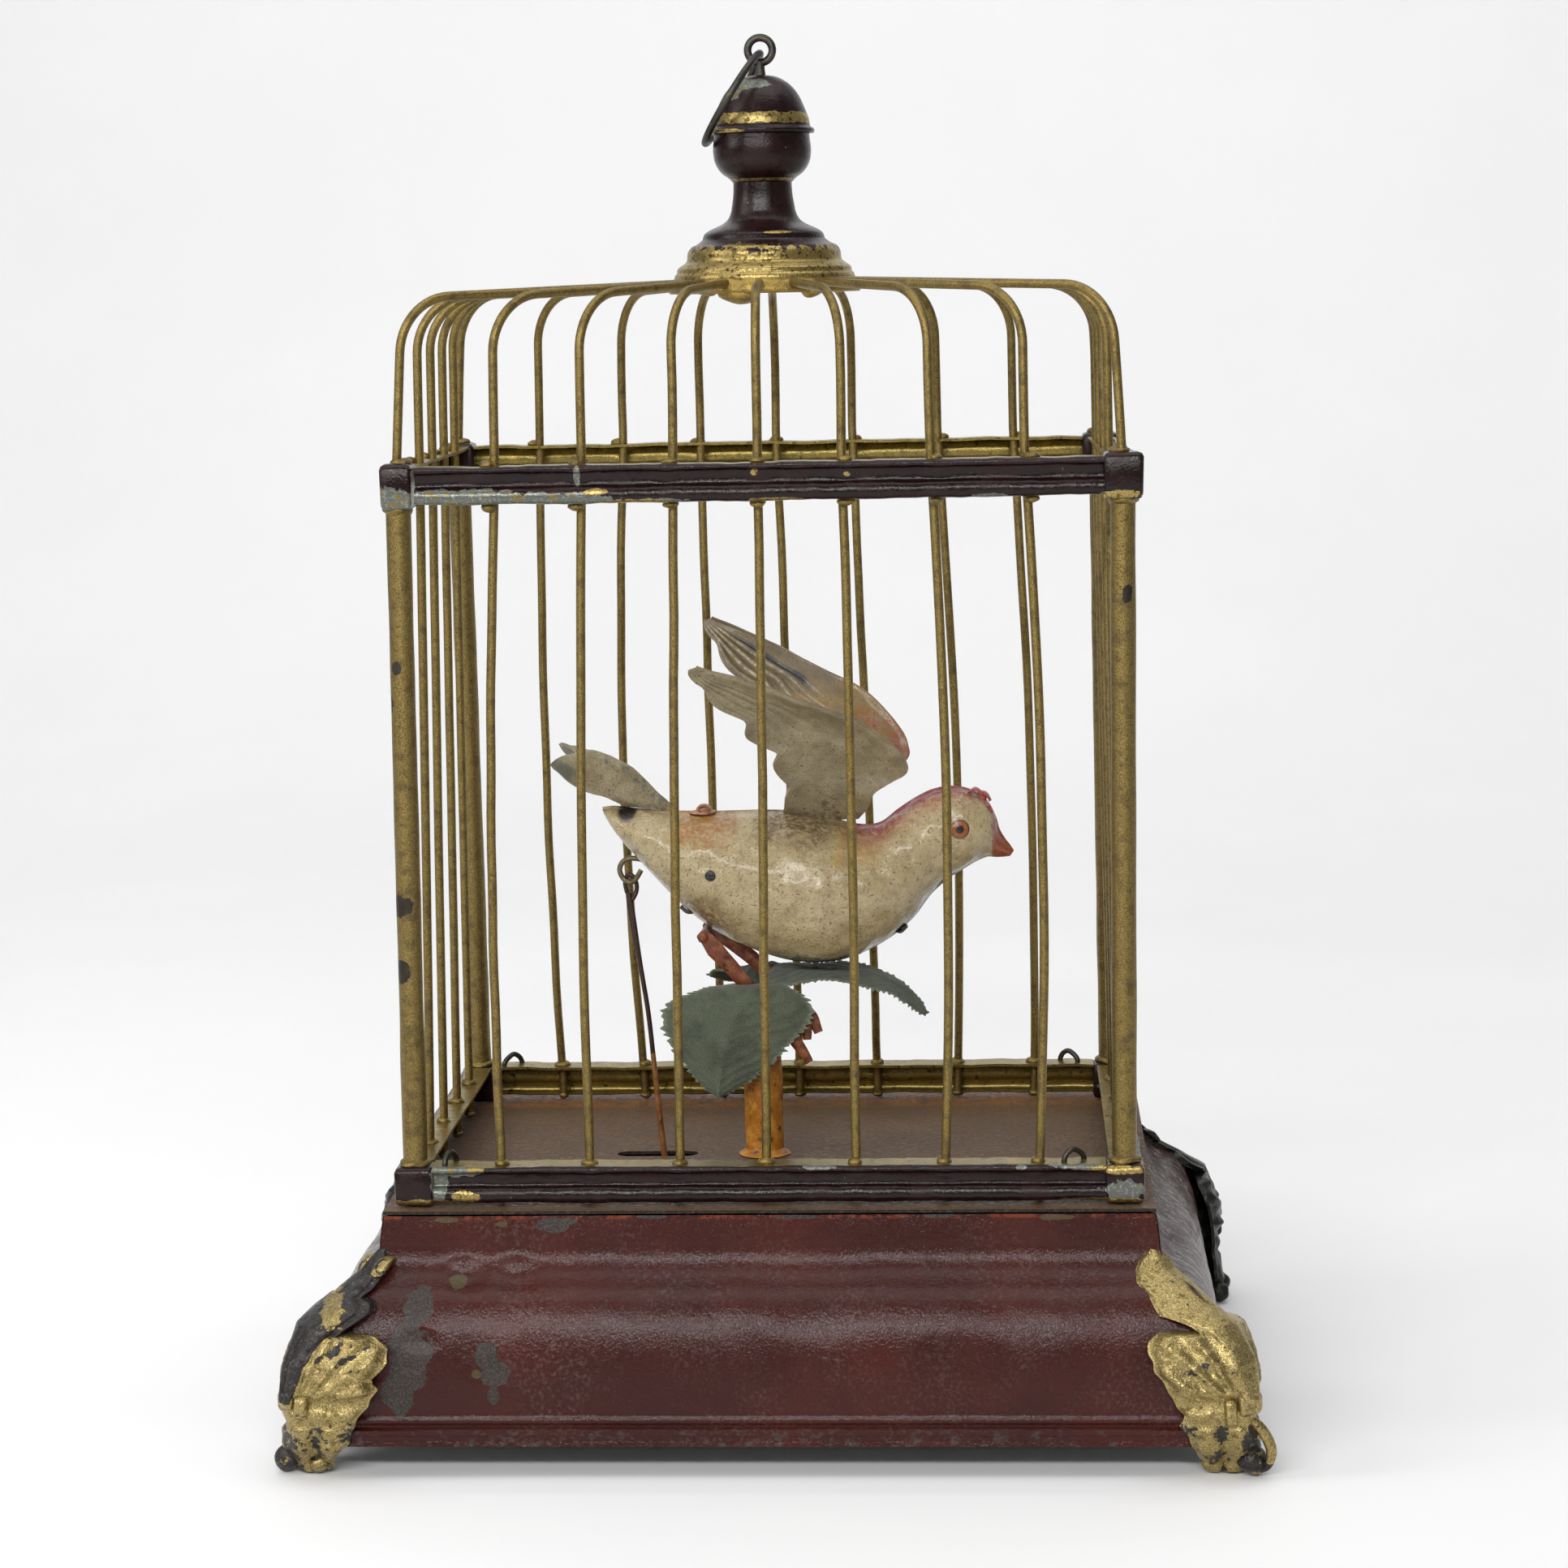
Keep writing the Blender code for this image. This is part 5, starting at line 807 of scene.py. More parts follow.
def skirtPanel(side, dents, finish, seed):
    # the skirt's line carried along a side and widening with it, pushed in at each dent with a low
    # swell round it
    halfAlong, halfOut = (halfX, halfY) if side in ("front", "back") else (halfY, halfX)
    line = skirtLine()
    tangent = unit(np.gradient(line, axis=0))
    normal = np.stack([-tangent[:, 1], tangent[:, 0]], axis=1)
    share = np.linspace(-1, 1, skirt["columns"])

    def layer(depth):
        lineHere = line - normal * depth
        x = share[None, :] * (halfAlong + lineHere[:, :1] - skirt["mitre"])
        z = lineHere[:, 1:] + 0 * x
        push = 0.0
        for at, height, deep, wide in dents:
            near = np.hypot((x - at) / wide, (z - height) / (wide * 0.6))
            push = push - deep * np.exp(-near ** 2) + max(deep, 0) * 0.2 * np.exp(-(near - 1.6) ** 2 * 3)
        flat = np.stack([x, z, 0 * x], axis=-1)
        push = push + unevenBy(flat, skirt["uneven"], seed) * step(z, *skirt["flatHem"])
        return onSide(side, x, lineHere[:, :1] + normal[:, :1] * push + halfOut, z + normal[:, 1:] * push)

    name = "base_%s_panel" % side
    newPiece(name, [slab(layer(0), layer(skirt["sheet"]))], paint[finish],
             stands=[name], sharp=50)


skirtPanel("front", skirt["frontDents"], "front", 1)
skirtPanel("back", skirt["sideDents"], "side", 2)
skirtPanel("left", skirt["sideDents"], "side", 3)
skirtPanel("right", skirt["sideDents"], "duskySide", 4)
print("skirt made")


# Corner feet

foot = {
    "sheet": 0.6, "corner": 2.4, "rows": 110, "columns": 120,
    # the shell's foot beside the fold, and how far the fan and the leaf reach from the floor's corner
    "shell": (2.0, 12.5), "fanSpan": 15.5, "leafSpan": 7.5,
    # how far the fold stands out from the floor's corner at each height, along X and along Y
    "reachX": [(38.2, 0.5), (34, 3.2), (31, 7.2), (27, 12.4), (21, 15), (15, 16), (10, 16.2), (5, 16.8),
               (2.4, 16.4), (0, 15.6)],
    "reachY": [(38.2, 0.5), (34, 3.2), (31, 7.2), (27, 12.4), (21, 15), (15, 16), (10, 15.4), (5.6, 13.6),
               (2.4, 11.0), (0, 10)],
}
leftFoot = {
    "fan": [(25.9, 9.0), (25.3, 13.2), (23.6, 15.9), (21.3, 17.3), (20.5, 16.7), (18.4, 15.2), (17.5, 15.3),
            (16.7, 16.3), (14.0, 15.0), (10.9, 12.7), (6.1, 11.4), (3.5, 8.7), (1.5, 7.8), (0.6, 6.5)],
    "leaf": [(37.9, 0.4), (35.0, 3.1), (31.9, 5.0), (30.9, 4.5), (30.3, 7.5), (28.9, 9.5), (27.3, 8.7),
             (25.2, 6.6), (23.3, 3.9), (20.7, 3.2), (16.6, 2.0), (14.5, 1.4)],
    "tabs": [((3.2, 13.8), (1.4, 2.3)), ((-0.7, 15.2), (2.5, 2.0)), ((-4.4, 13.8), (1.4, 2.2))],
    "bulbs": [((2.2, 35.0), 1.6, 0.6), ((-2.2, 35.0), 1.6, 0.6)],
    "toes": [((16.6, 8.9), 2.4, 0.0), ((11.0, 9.7), 2.1, 0.6), ((16.4, 3.2), 2.1, 0.4)],
    "fanGold": 0.92, "leafGold": -0.12, "legGold": 0.6, "rubbed": (10.5, 22.6), "rubbedShare": 1.0,
    "rays": (75, 55, 38, 20), "sideShare": 1.0, "curl": [],
}
rightFoot = {
    "fan": [(25.9, 10.0), (25.6, 13.4), (24.3, 15.6), (22.0, 16.4), (19.4, 16.1), (16.8, 14.6),
            (14.2, 13.7), (12.0, 12.1), (10.1, 12.9), (8.1, 11.8), (4.8, 10.8), (3.0, 9.5), (1.5, 8.0),
            (0.6, 6.5)],
    "leaf": [(37.9, 0.5), (35.0, 5.5), (32.3, 8.8), (30.5, 9.4), (28.0, 10.9), (26.9, 7.9), (24.4, 4.9),
             (19.8, 4.6), (18.4, 3.8), (16.5, 2.5), (14.5, 1.5)],
    "tabs": [((4.1, 12.7), (1.2, 2.5)), ((1.1, 14.0), (1.7, 2.1)), ((-2.6, 13.6), (1.7, 2.1))],
    "bulbs": [],
    "toes": [((15.6, 10.9), 2.7, 0.1), ((9.0, 9.3), 2.2, 0.8), ((15.4, 4.6), 2.1, 0.4)],
    "fanGold": 0.92, "leafGold": 0.84, "legGold": 0.75, "rubbed": (9.0, 20.5), "rubbedShare": 0.35,
    "rays": (68, 48, 28), "sideShare": 0.3,
    "curl": [(12.8, 12.6, 12.2), (15.2, 12.9, 10.8), (17.4, 12.9, 8.4), (18.7, 12.7, 5.2), (18.2, 12.2, 2.4),
             (16.8, 11.6, 1.2)],
}


def onFoot(w, z, up):
    # the sheet folded round the corner: w runs from the fold, positive on the long side, negative on
    # the short
    reachX, reachY = valueAt(z, foot["reachX"]), valueAt(z, foot["reachY"])
    bent = np.sqrt(w ** 2 + foot["corner"] ** 2)
    alongX, alongY = (w + bent) / 2, (bent - w) / 2
    x = halfX + reachX - alongX + up * (alongY / bent)
    y = halfY + reachY - alongY + up * (alongX / bent)
    return np.stack([x, y, z + 0 * x], axis=-1)


def footSheet(edge, relief, seed, sideShare=1.0):
    # a sheet across the fold, as wide as its edge line and narrower above the fan on the short side by
    # sideShare, its skin raised by the relief and rolled down at the rim
    z = np.linspace(edge[0][0], edge[-1][0], foot["rows"])[:, None]
    width = valueAt(z, edge) * (1 + 0.01 * np.sin(z * 1.9 + seed))
    share = np.linspace(-1, 1, foot["columns"])[None, :]
    w = np.sign(share) * np.abs(share) ** 1.1 * width
    w = np.where(w < 0, w * (1 - (1 - sideShare) * step(z, 22.0, 27.0)), w)
    rim = step(1 - np.abs(share), 0.0, 0.1) * step(np.minimum(edge[0][0] - z, 9.0), -0.3, 0.5)
    flat = np.stack([w, z + 0 * w, 0 * w], axis=-1)
    up = relief(np.abs(w), z, width) * rim - 0.45 * (1 - rim) + ripple(flat, 2.6, seed) * 0.1
    return slab(onFoot(w, z, up), onFoot(w, z, up - foot["sheet"]))


def dome(centre, half, height, base):
    # a pad with rounded corners, its height falling with the fourth power of the distance from its middle
    u, v = np.meshgrid(np.linspace(-1, 1, 24), np.linspace(-1, 1, 24), indexing="ij")
    a, b = u * np.sqrt(1 - v * v / 4), v * np.sqrt(1 - u * u / 4)
    up = base + height * (1 - np.maximum(np.abs(u), np.abs(v)) ** 4)
    w, z = centre[0] + a * half[0], centre[1] - b * half[1]
    return slab(onFoot(w, z, up), onFoot(w, z, 0 * w + base - 0.5))


def cornerFoot(name, signX, signY, form, finish, seed):
    # a fan sheet, an S-shaped leaf over the fold, band tabs, bulbs on the stem, a curled strip and ball toes

    def fanRelief(s, z, width):
        # a shell: a dome with raised rays from the fold, a roll below it and ribs down the leg
        outS, outZ = s - foot["shell"][0], z - foot["shell"][1]
        angle, far = np.degrees(np.arctan2(outZ, outS)), np.hypot(outS, outZ)
        rays = sum(hump(angle - ray, 3.2) for ray in form["rays"]) * step(far, 3.0, 6.0)
        shell = 1.2 * step(z, 14.2, 16.5) * step(width - s, 0.3, 3.0)
        strokes = hump(((far * 0.3 + 0.25) % 1) - 0.5, 0.14) * 0.15 * step(z, 15.5, 17)
        roll = 0.8 * hump(z - 12.2, 0.9)
        ribs = hump(s - 2.6, 1.3) + 0.9 * hump(s - 8.2, 1.5) - 0.5 * hump(s - 5.4, 0.7)
        return shell + 0.65 * rays * step(z, 15, 17) + strokes + roll + ribs * step(-z, -10.5, -9)

    def leafRelief(s, z, width):
        # a raised stem beside the fold and a groove outside it, lying closer to the skirt towards the top
        hug = 1 - (1 - form["sideShare"]) * step(z, 22.0, 30.0)
        stem = 1.3 * hump(s - 0.35 * width, 0.32 * width + 0.3)
        fold = -0.5 * hump(s - 0.72 * width, 0.5) * step(z, 22, 26)
        return (0.9 + stem) * hug + fold * hug

    shapes, golds = [], []

    def add(shape, gold):
        points, faces = shape
        shapes.append((points * (signX, signY, 1), faces))
        # the back feet get no gold
        golds.append(np.broadcast_to(gold if signY < 0 else -0.2, len(points)))

    fan = footSheet(form["fan"], fanRelief, seed)
    across, height = halfX + foot["fanSpan"] - fan[0][:, 0], fan[0][:, 2]
    lowLeg = step(-height, -11.5, -9.5)
    stripe = hump(across - 3.0, 1.1) + hump(across - 8.5, 1.6)
    rubbed = hump(np.hypot((across - form["rubbed"][0]) / 3.0, (height - form["rubbed"][1]) / 1.8), 0.8)
    strokes = hump(((across * 0.5 - height) * 0.42) % 1 - 0.5, 0.16)
    fanGold = form["fanGold"] - rubbed * (1 - strokes) * form["rubbedShare"]
    add(fan, fanGold * (1 - lowLeg) + lowLeg * (0.15 + form["legGold"] * stripe))
    leaf = footSheet(form["leaf"], leafRelief, seed + 1, form["sideShare"])
    leafEdge = hump(halfX + foot["leafSpan"] - leaf[0][:, 0], 1.3) * hump(leaf[0][:, 2] - 29.5, 1.6)
    add(leaf, form["leafGold"] + (0.9 - form["leafGold"]) * np.clip(leafEdge * 1.5, 0, 1))
    for centre, half in form["tabs"]:
        add(dome(centre, half, 1.1, 0.7), 0.85)
    for centre, size, gold in form["bulbs"]:
        add(dome(centre, (size, size), 1.5, 1.0), gold)
    if form["curl"]:
        line = curveThrough([(halfX + x, halfY + y, z) for x, y, z in form["curl"]], 40)
        curl = sweep(line, 0.4 + 0.6 * np.sin(np.linspace(0.3, 2.9, 40)), 12, across=(0, 1, 0))
        add(curl, np.clip(curl[0][:, 2] / 9, 0, 0.85))
    for (outX, outY), size, gold in form["toes"]:
        add(blob((halfX + outX, halfY + outY, size * 1.05), size * 0.94, (1.0, 1.0, 1.0), seed + outX, 18),
            gold)
    newPiece(name, shapes, paint[finish], stands=[name],
             marks={"gold": np.concatenate(golds)}, sharp=60)


cornerFoot("foot_front_left", -1, -1, leftFoot, "foot", 1.0)
cornerFoot("foot_front_right", 1, -1, rightFoot, "foot", 2.0)
cornerFoot("foot_back_left", -1, 1, rightFoot, "backFoot", 3.0)
cornerFoot("foot_back_right", 1, 1, leftFoot, "backFoot", 4.0)
print("feet made")


# Cage: moulded rails, round wires, posts, blocks, ribs and hub

rail = {"height": 6.5, "sheet": 0.5, "lower": 44.7, "upper": 166.7, "columns": 220, "end": 3.2,
        "uneven": ((12, 0.14), (3, 0.05))}
railLine = [(-2.6, 6.5), (-0.5, 6.5), (1.5, 6.5), (2.3, 6.5), (2.8, 6.35), (3.0, 6.0), (2.85, 5.6),
            (2.35, 5.4), (2.2, 5.2), (2.0, 4.8), (1.8, 4.0), (1.85, 3.4), (2.0, 3.0), (2.3, 2.95),
            (2.8, 2.6), (3.15, 2.0), (3.25, 1.4), (3.15, 0.8), (2.8, 0.3), (2.2, 0.05), (1.6, 0.0)]
frontBars = [-46.5, -31.0, -15.5, 0.0, 15.5, 31.0, 46.5]
sideBars = [-24.0, -8.0, 8.0, 24.0]
# sideways lean of each wire at the rail and at the shoulder, and its bow halfway up, from left to right
frontSway = {"low": [-0.3, -0.3, 0.1, -0.3, -0.2, -0.2, 0.5], "top": [1.0, 0.6, 1.2, 0.6, 0.1, 0.0, 0.7],
             "bow": [-1.4, -0.8, -0.4, 0.1, 0.5, 1.7, 2.0]}
backSway = {"low": [0.9, 1.7, 1.6, 1.3, 1.0, 1.1, 0.7], "top": [-1.3, -0.4, -0.6, -0.9, -1.2, 0.0, -0.9],
            "bow": [-1.1, -2.2, -0.1, 0.3, 0.4, 1.8, 1.4]}
sideSway = {"low": [0.0] * 4, "top": [0.0] * 4, "bow": [0.4, -0.5, 0.3, -0.3]}
frameTwist = {"byY": -0.018, "byX": -0.004, "low": 51.0, "high": 166.0}
wire = {"radius": 0.8, "start": 45.0, "straight": 173.9, "shoulder": 201.8, "lean": 2.0, "end": 14.7,
        "endZ": 203.4, "bend": 10.0}


def twisted(points):
    # the upper frame's shift along X, growing with height: the old cage has racked a little
    t = frameTwist
    up = np.clip((points[..., 2:] - t["low"]) / (t["high"] - t["low"]), 0, 1.05)
    shift = (t["byY"] * points[..., 1:2] + t["byX"] * points[..., :1]) * up
    return points + shift * np.array((1.0, 0, 0))


def mouldedRail(level, side, stand, seed):
    # the rail's line carried along a side, pressed out a little beside each bar and uneven along its length
    long = side in ("front", "back")
    halfAlong, halfOut = (postX - rail["end"], postY) if long else (postY - rail["end"], postX)
    line = curveThrough(railLine, 56)
    tangent = unit(np.gradient(line, axis=0))
    normal = np.stack([-tangent[:, 1], tangent[:, 0]], axis=1)
    x = np.linspace(-halfAlong, halfAlong, rail["columns"])[None, :]
    low = line[:, 1:] + 0 * x
    press = sum(hump(x - bar, 1.3) for bar in (frontBars if long else sideBars)) * hump(low - 4.6, 0.9) * 0.35
    flat = np.stack([x + 0 * low, low, 0 * low], axis=-1)
    push = press + unevenBy(flat, rail["uneven"], seed)

    def layer(depth):
        out = line[:, :1] - normal[:, :1] * depth + normal[:, :1] * push + halfOut
        height = low - normal[:, 1:] * depth + normal[:, 1:] * push + rail[level]
        return twisted(onSide(side, x, out, height))

    outer, inner = layer(0), layer(rail["sheet"])
    points, faces = slab(outer, inner)
    flange = step(-line[:, :1], -2.35, -1.95) * (line[:, 1:] > 6.3)
    inside = np.concatenate([np.zeros(outer.shape[:2]) + flange, np.ones(inner.shape[:2])]).ravel()
    newPiece("%s_rail_%s" % (level, side), [(points, faces)], paint[level + "Rail"],
             stands=[stand], marks={"inside": inside}, sharp=50)


lowerLosses = [((-57.5, -43, 49.2), (1.6, 4, 4.5)), ((-54, -42.5, 50.6), (4.5, 4, 1.2)),
               ((-63, -42, 44.6), (4, 4, 0.8)), ((62.2, -43, 46.6), (3.2, 4, 2.3)),
               ((54.4, -42.5, 51.4), (5.2, 4, 1.0)), ((61, 0, 47), (5, 50, 1.0)),
               ((44, -43, 50.9), (1.0, 4, 0.4)), ((9, -43, 51.0), (3, 4, 0.4))]
upperLosses = [((-50, -43, 167.6), (14, 4, 1.9)), ((-64, -43, 168.0), (6, 4, 2.3)),
               ((-34, -43, 167.3), (11, 4, 1.4)), ((-29.9, -43, 171.4), (0.6, 4, 1.9)),
               ((-16, -43, 167.0), (5, 4, 0.5)), ((40, -43, 167.0), (3.0, 4, 0.4))]
upperGold = [((-26.8, -43, 168.7), (2.3, 4, 0.6)), ((-20, -43, 166.9), (6.0, 4, 0.5)),
             ((4, -43, 166.9), (5.0, 4, 0.4)), ((0.3, -43, 171.6), (0.7, 4, 0.7)),
             ((16, -43, 171.0), (0.6, 4, 0.4)), ((62, -42, 166.8), (4, 4, 0.8))]
lowerGold = [((-51, -43, 50.9), (1.6, 4, 0.7)), ((-60, -43, 45.0), (6, 4, 0.7)),
             ((-53, -43, 46.0), (2.6, 4, 1.2)), ((58, -43, 45.0), (8, 4, 0.5)),
             ((61, -43, 50.4), (5, 4, 0.8))]
paint["lowerRail"] = maroonRail("chippedMaroonLowerRail", lowerLosses, lowerGold)
paint["upperRail"] = maroonRail("chippedMaroonUpperRail", upperLosses, upperGold)
for level, stand in (("lower", "lower_rail_"), ("upper", "cage_side_")):
    for number, side in enumerate(sideWays):
        mouldedRail(level, side, stand + side, number + 5)


def bentRun(start, corner, end, bend, counts):
    # straight from start, an arc of the bend radius at the corner, straight on to the end
    start, corner, end = (np.asarray(p, float) for p in (start, corner, end))
    back, on = unit(start - corner), unit(end - corner)
    half = math.acos(float(np.clip(back @ on, -1, 1))) / 2
    a, b = corner + back * bend / math.tan(half), corner + on * bend / math.tan(half)
    middle = corner + unit(back + on) * bend / math.sin(half)
    angle = math.pi - 2 * half
    t = np.linspace(0, 1, counts[1])[:, None]
    arc = np.sin((1 - t) * angle) * (a - middle) + np.sin(t * angle) * (b - middle)
    arc = middle + arc / math.sin(angle)
    first = start + np.linspace(0, 1, counts[0], endpoint=False)[:, None] * (a - start)
    last = b + np.linspace(0, 1, counts[2] + 1)[1:, None] * (end - b)
    return np.vstack([first, arc, last])


def swayWay(y):
    # wires of the front and back lean along X, those of the two ends along Y
    return np.array([1.0, 0, 0]) if abs(y) > postY - 1 else np.array([0, 1.0, 0])


def cageWire(x, y, swayLow, swayTop, bow, startZ, seed):
    # up from the rail, over the bend and in to the hub, leaning by its own sway and bowing a little
    inward = -unit(np.array([x, y, 0.0]))
    start = np.array([x, y, startZ])
    shoulder = np.array([x, y, wire["shoulder"]]) + inward * wire["lean"]
    end = -inward * wire["end"] + (0, 0, wire["endZ"])
    path = bentRun(start, shoulder, end, wire["bend"], (26, 14, 10))
    toHub = np.hypot(path[:, 0], path[:, 1]) - wire["end"]
    left = np.clip(toHub / (math.hypot(x, y) - wire["end"]), 0, 1)
    up = np.clip((path[:, 2] - wire["start"]) / (wire["straight"] - wire["start"]), 0, 1)
    lean = swayLow + (swayTop - swayLow) * up
    bowed = bow * np.sin(math.pi * up)
    wave = ripple(path, 26, seed) * 0.12
    racked = (twisted(path) - path) * left[:, None] * (1.0 if abs(x) > postX - 1 else 0.0)
    return path + swayWay(y) * ((lean + bowed + wave) * left)[:, None] + racked


solder = ((51.3, "low", 1.35), (45.1, "low", 1.1), (166.3, "top", 1.3), (173.4, "top", 1.2))


def wireSide(name, bars, sways, stand, seed):
    # one side's wires with the solder where they pass the rails
    shapes = []
    rng = np.random.default_rng(seed)
    for number, (x, y) in enumerate(bars):
        sway = {key: values[number] for key, values in sways.items()}
        atEnd = abs(x) > postX - 1
        path = cageWire(x, y, sway["low"], sway["top"], sway["bow"], wire["start"], seed + number)
        shapes.append(sweep(path, wire["radius"], 12, across=(1, 0, 0) if atEnd else (0, 1, 0)))
        for height, level, size in solder:
            spread = rng.uniform(0.9, 1.25, 3) * (1, 1, 0.62)
            place = np.array([x, y, height]) + swayWay(y) * sway[level]
            shapes.append(blob(twisted(place) if atEnd else place, size, spread, seed + number + height, 9))
    newPiece(name, shapes, paint["wire"], stands=[stand], sharp=60)


wireSide("wires_front", [(x, -postY) for x in frontBars], frontSway, "cage_side_front", 11)
wireSide("wires_back", [(x, postY) for x in frontBars], backSway, "cage_side_back", 23)
wireSide("wires_left", [(-postX, y) for y in sideBars], sideSway, "cage_side_left", 37)
wireSide("wires_right", [(postX, y) for y in sideBars], sideSway, "cage_side_right", 51)

post = {"low": 48.5, "high": 167.5, "radius": 2.15, "uneven": 0.06, "ribStart": 173.0, "rib": 0.8}
blocks = {"lower": 47.8, "upper": 169.95, "lowerHalf": (3.4, 3.4), "upperHalf": (3.4, 3.95), "bevel": 0.9,
          "squeeze": {"front_left": 0.8}}
for title, signX, signY in (("front_left", -1, -1), ("front_right", 1, -1), ("back_left", -1, 1),
                            ("back_right", 1, 1)):
    x, y = signX * postX, signY * postY
    seed = signX + 2 * signY
    rise = np.linspace(post["low"], post["high"], 60)
    path = twisted(np.stack([x + 0 * rise, y + 0 * rise, rise], axis=1))
    thick = post["radius"] + post["uneven"] * ripple(path, 18, seed + 40)
    rib = cageWire(x, y, 0, 0, 0.0, post["ribStart"], seed + 60)
    lumps = [blob((x, y, 51.6), 2.7, (1.05, 1.0, 0.4), seed + 70, 12),
             blob(twisted(np.array([x, y, 165.9])), 2.7, (1.0, 1.05, 0.4), seed + 80, 12),
             blob(twisted(np.array([x - signX * 0.6, y - signY * 0.5, 174.0])), 1.7, (1.1, 1.0, 0.5),
                  seed + 90, 12)]
    stands = ["corner_post_" + title]
    newPiece("post_" + title, [sweep(path, thick, 24)] + lumps, paint["post"],
             stands=stands, sharp=60)
    newPiece("rib_" + title, [sweep(rib, post["rib"], 12)], paint["wire"], stands=stands)
    bare = {"inside": np.zeros(blockRings * blockSides)}
    upper, upperFaces = roundedBlock((0, 0, blocks["upper"]), blocks["upperHalf"], blocks["bevel"], seed + 5)
    upper = twisted(upper * (blocks["squeeze"].get(title, 1.0), 1, 1) + (x, y, 0))
    newPiece("upper_block_" + title, [(upper, upperFaces)], paint["upperRail"],
             stands=stands, marks=bare, sharp=60)
    lower = roundedBlock((x, y, blocks["lower"]), blocks["lowerHalf"], blocks["bevel"], seed + 6)
    newPiece("lower_block_" + title, [lower], paint["lowerRail"],
             stands=["corner_block_" + title], marks=bare, sharp=60)


staple = {"wire": 0.5, "height": 2.0}
stapleFeet = [((51.6, -40.3), (54.9, -38.6)), ((-56.6, -41.4), (-55.2, -37.6)),
              ((-54.0, 41.6), (-57.0, 38.9)), ((52.4, 41.2), (55.6, 39.2))]


def bentStaple(first, last, seed):
    # a wire that comes up through the flange, bends over and goes down again
    (ax, ay), (bx, by) = first, last
    flange = rail["lower"] + rail["height"]
    low, top = flange - 1.2, flange + staple["height"]
    lean = 0.3 * math.sin(seed)
    line = [(ax, ay, low), (ax, ay, low + 1.6), (ax * 0.8 + bx * 0.2, ay * 0.8 + by * 0.2, top - 0.4),
            (ax * 0.45 + bx * 0.55, ay * 0.45 + by * 0.55 + lean, top), (bx, by, top - 1.3), (bx, by, low)]
    return sweep(curveThrough(line, 40), staple["wire"], 10, across=(0.3, 1, 0))


staples = [bentStaple(first, last, number) for number, (first, last) in enumerate(stapleFeet)]
newPiece("floor_staples", staples, paint["iron"], sharp=60)


hub = {"around": 180,
       "radius": [0.3, 5, 10, 12.6, 13.4, 14.4, 15.4, 16.4, 17.0, 17.2, 17.2, 16.9, 12, 6, 0.3],
       "height": [202.4, 202.4, 202.4, 202.5, 203.4, 204.3, 204.5, 203.9, 202.9, 202.2, 201.7, 201.5, 201.5,
                  201.5, 201.5]}


def solderedHub():
    # a thin disc with an uneven bead of solder over the wire ends round its rim
    turn = np.linspace(0, 2 * math.pi, hub["around"], endpoint=False)[:, None]
    radius, height = np.array(hub["radius"])[None, :], np.array(hub["height"])[None, :]
    over = step(height, 202.3, 203.2)
    ring = np.stack([radius * np.cos(turn), radius * np.sin(turn), height + 0 * turn], axis=-1)
    ring[..., 2] += over * ripple(ring, 3.2, 3) * 0.3
    return ring.reshape(-1, 3), [gridFaces(hub["around"], radius.size, True, True)]


hubLumps = [blob((-3.6, -14.5, 201.6), 2.4, (1.6, 1.0, 0.8), 5, 14),
            blob((-9.5, -12.0, 202.2), 1.5, (1.3, 1.0, 0.7), 6, 12),
            blob((9.0, -13.0, 202.0), 1.7, (1.2, 1.0, 0.9), 7, 12),
            blob((13.6, -8.0, 202.3), 1.4, (1, 1.2, 0.7), 8, 12)]
newPiece("hub_disc_dressed", [solderedHub()] + hubLumps, paint["solder"],
         stands=["hub_disc"], sharp=60)
print("cage made")


# Finial, eye and ring

finial = {
    "foot": [(15.6, 203.2), (16.2, 203.9), (16.1, 204.75), (15.7, 205.2), (15.6, 205.9), (14.9, 206.5),
             (14.05, 207.1), (13.85, 207.7), (13.8, 208.5), (13.6, 209.1), (13.05, 209.8), (12.0, 210.3),
             (11.05, 211.0), (10.85, 211.5), (10.55, 212.1), (9.7, 212.7), (8.65, 213.2), (7.4, 213.8),
             (6.45, 214.6), (5.85, 215.8), (5.55, 217.3), (5.3, 219.0), (5.2, 221.3)],
    "cup": [(5.2, 221.0), (5.6, 221.4), (6.1, 221.9), (7.2, 222.7), (8.0, 223.7), (8.5, 224.8),
            (8.7, 225.9), (8.75, 227.1), (8.6, 228.5), (8.5, 229.9)],
    "cap": [(9.3, 229.7), (9.4, 229.9), (9.4, 230.3), (9.1, 230.6), (8.75, 230.8), (8.6, 231.4),
            (8.45, 232.4), (7.95, 233.8), (7.3, 235.3), (6.5, 236.7), (5.5, 237.9), (4.4, 238.8),
            (2.9, 239.6), (1.3, 239.9)],
    "wall": 0.8,
}


def spunShell(line, wall, seed):
    # the outer line up, and the same line back down inside the wall, turned about the axis
    outer = curveThrough(line, len(line) * 5)
    tangent = unit(np.gradient(outer, axis=0))
    inner = outer + np.stack([-tangent[:, 1], tangent[:, 0]], axis=1) * wall
    inner[:, 0] = np.maximum(inner[:, 0], 0.4)
    inner[:, 1] = np.clip(inner[:, 1], outer[0, 1], outer[-1, 1] - wall * 0.5)
    lid = np.array([[0.4, outer[-1, 1]], [0.4, outer[-1, 1] - wall * 0.5]])
    points, faces = lathe(np.vstack([outer, lid, inner[::-1]]), (0, 0, 0), 120)
    push = ripple(points, 9, seed)[:, None] * 0.05
    return points + push * unit(points * (1, 1, 0)), faces


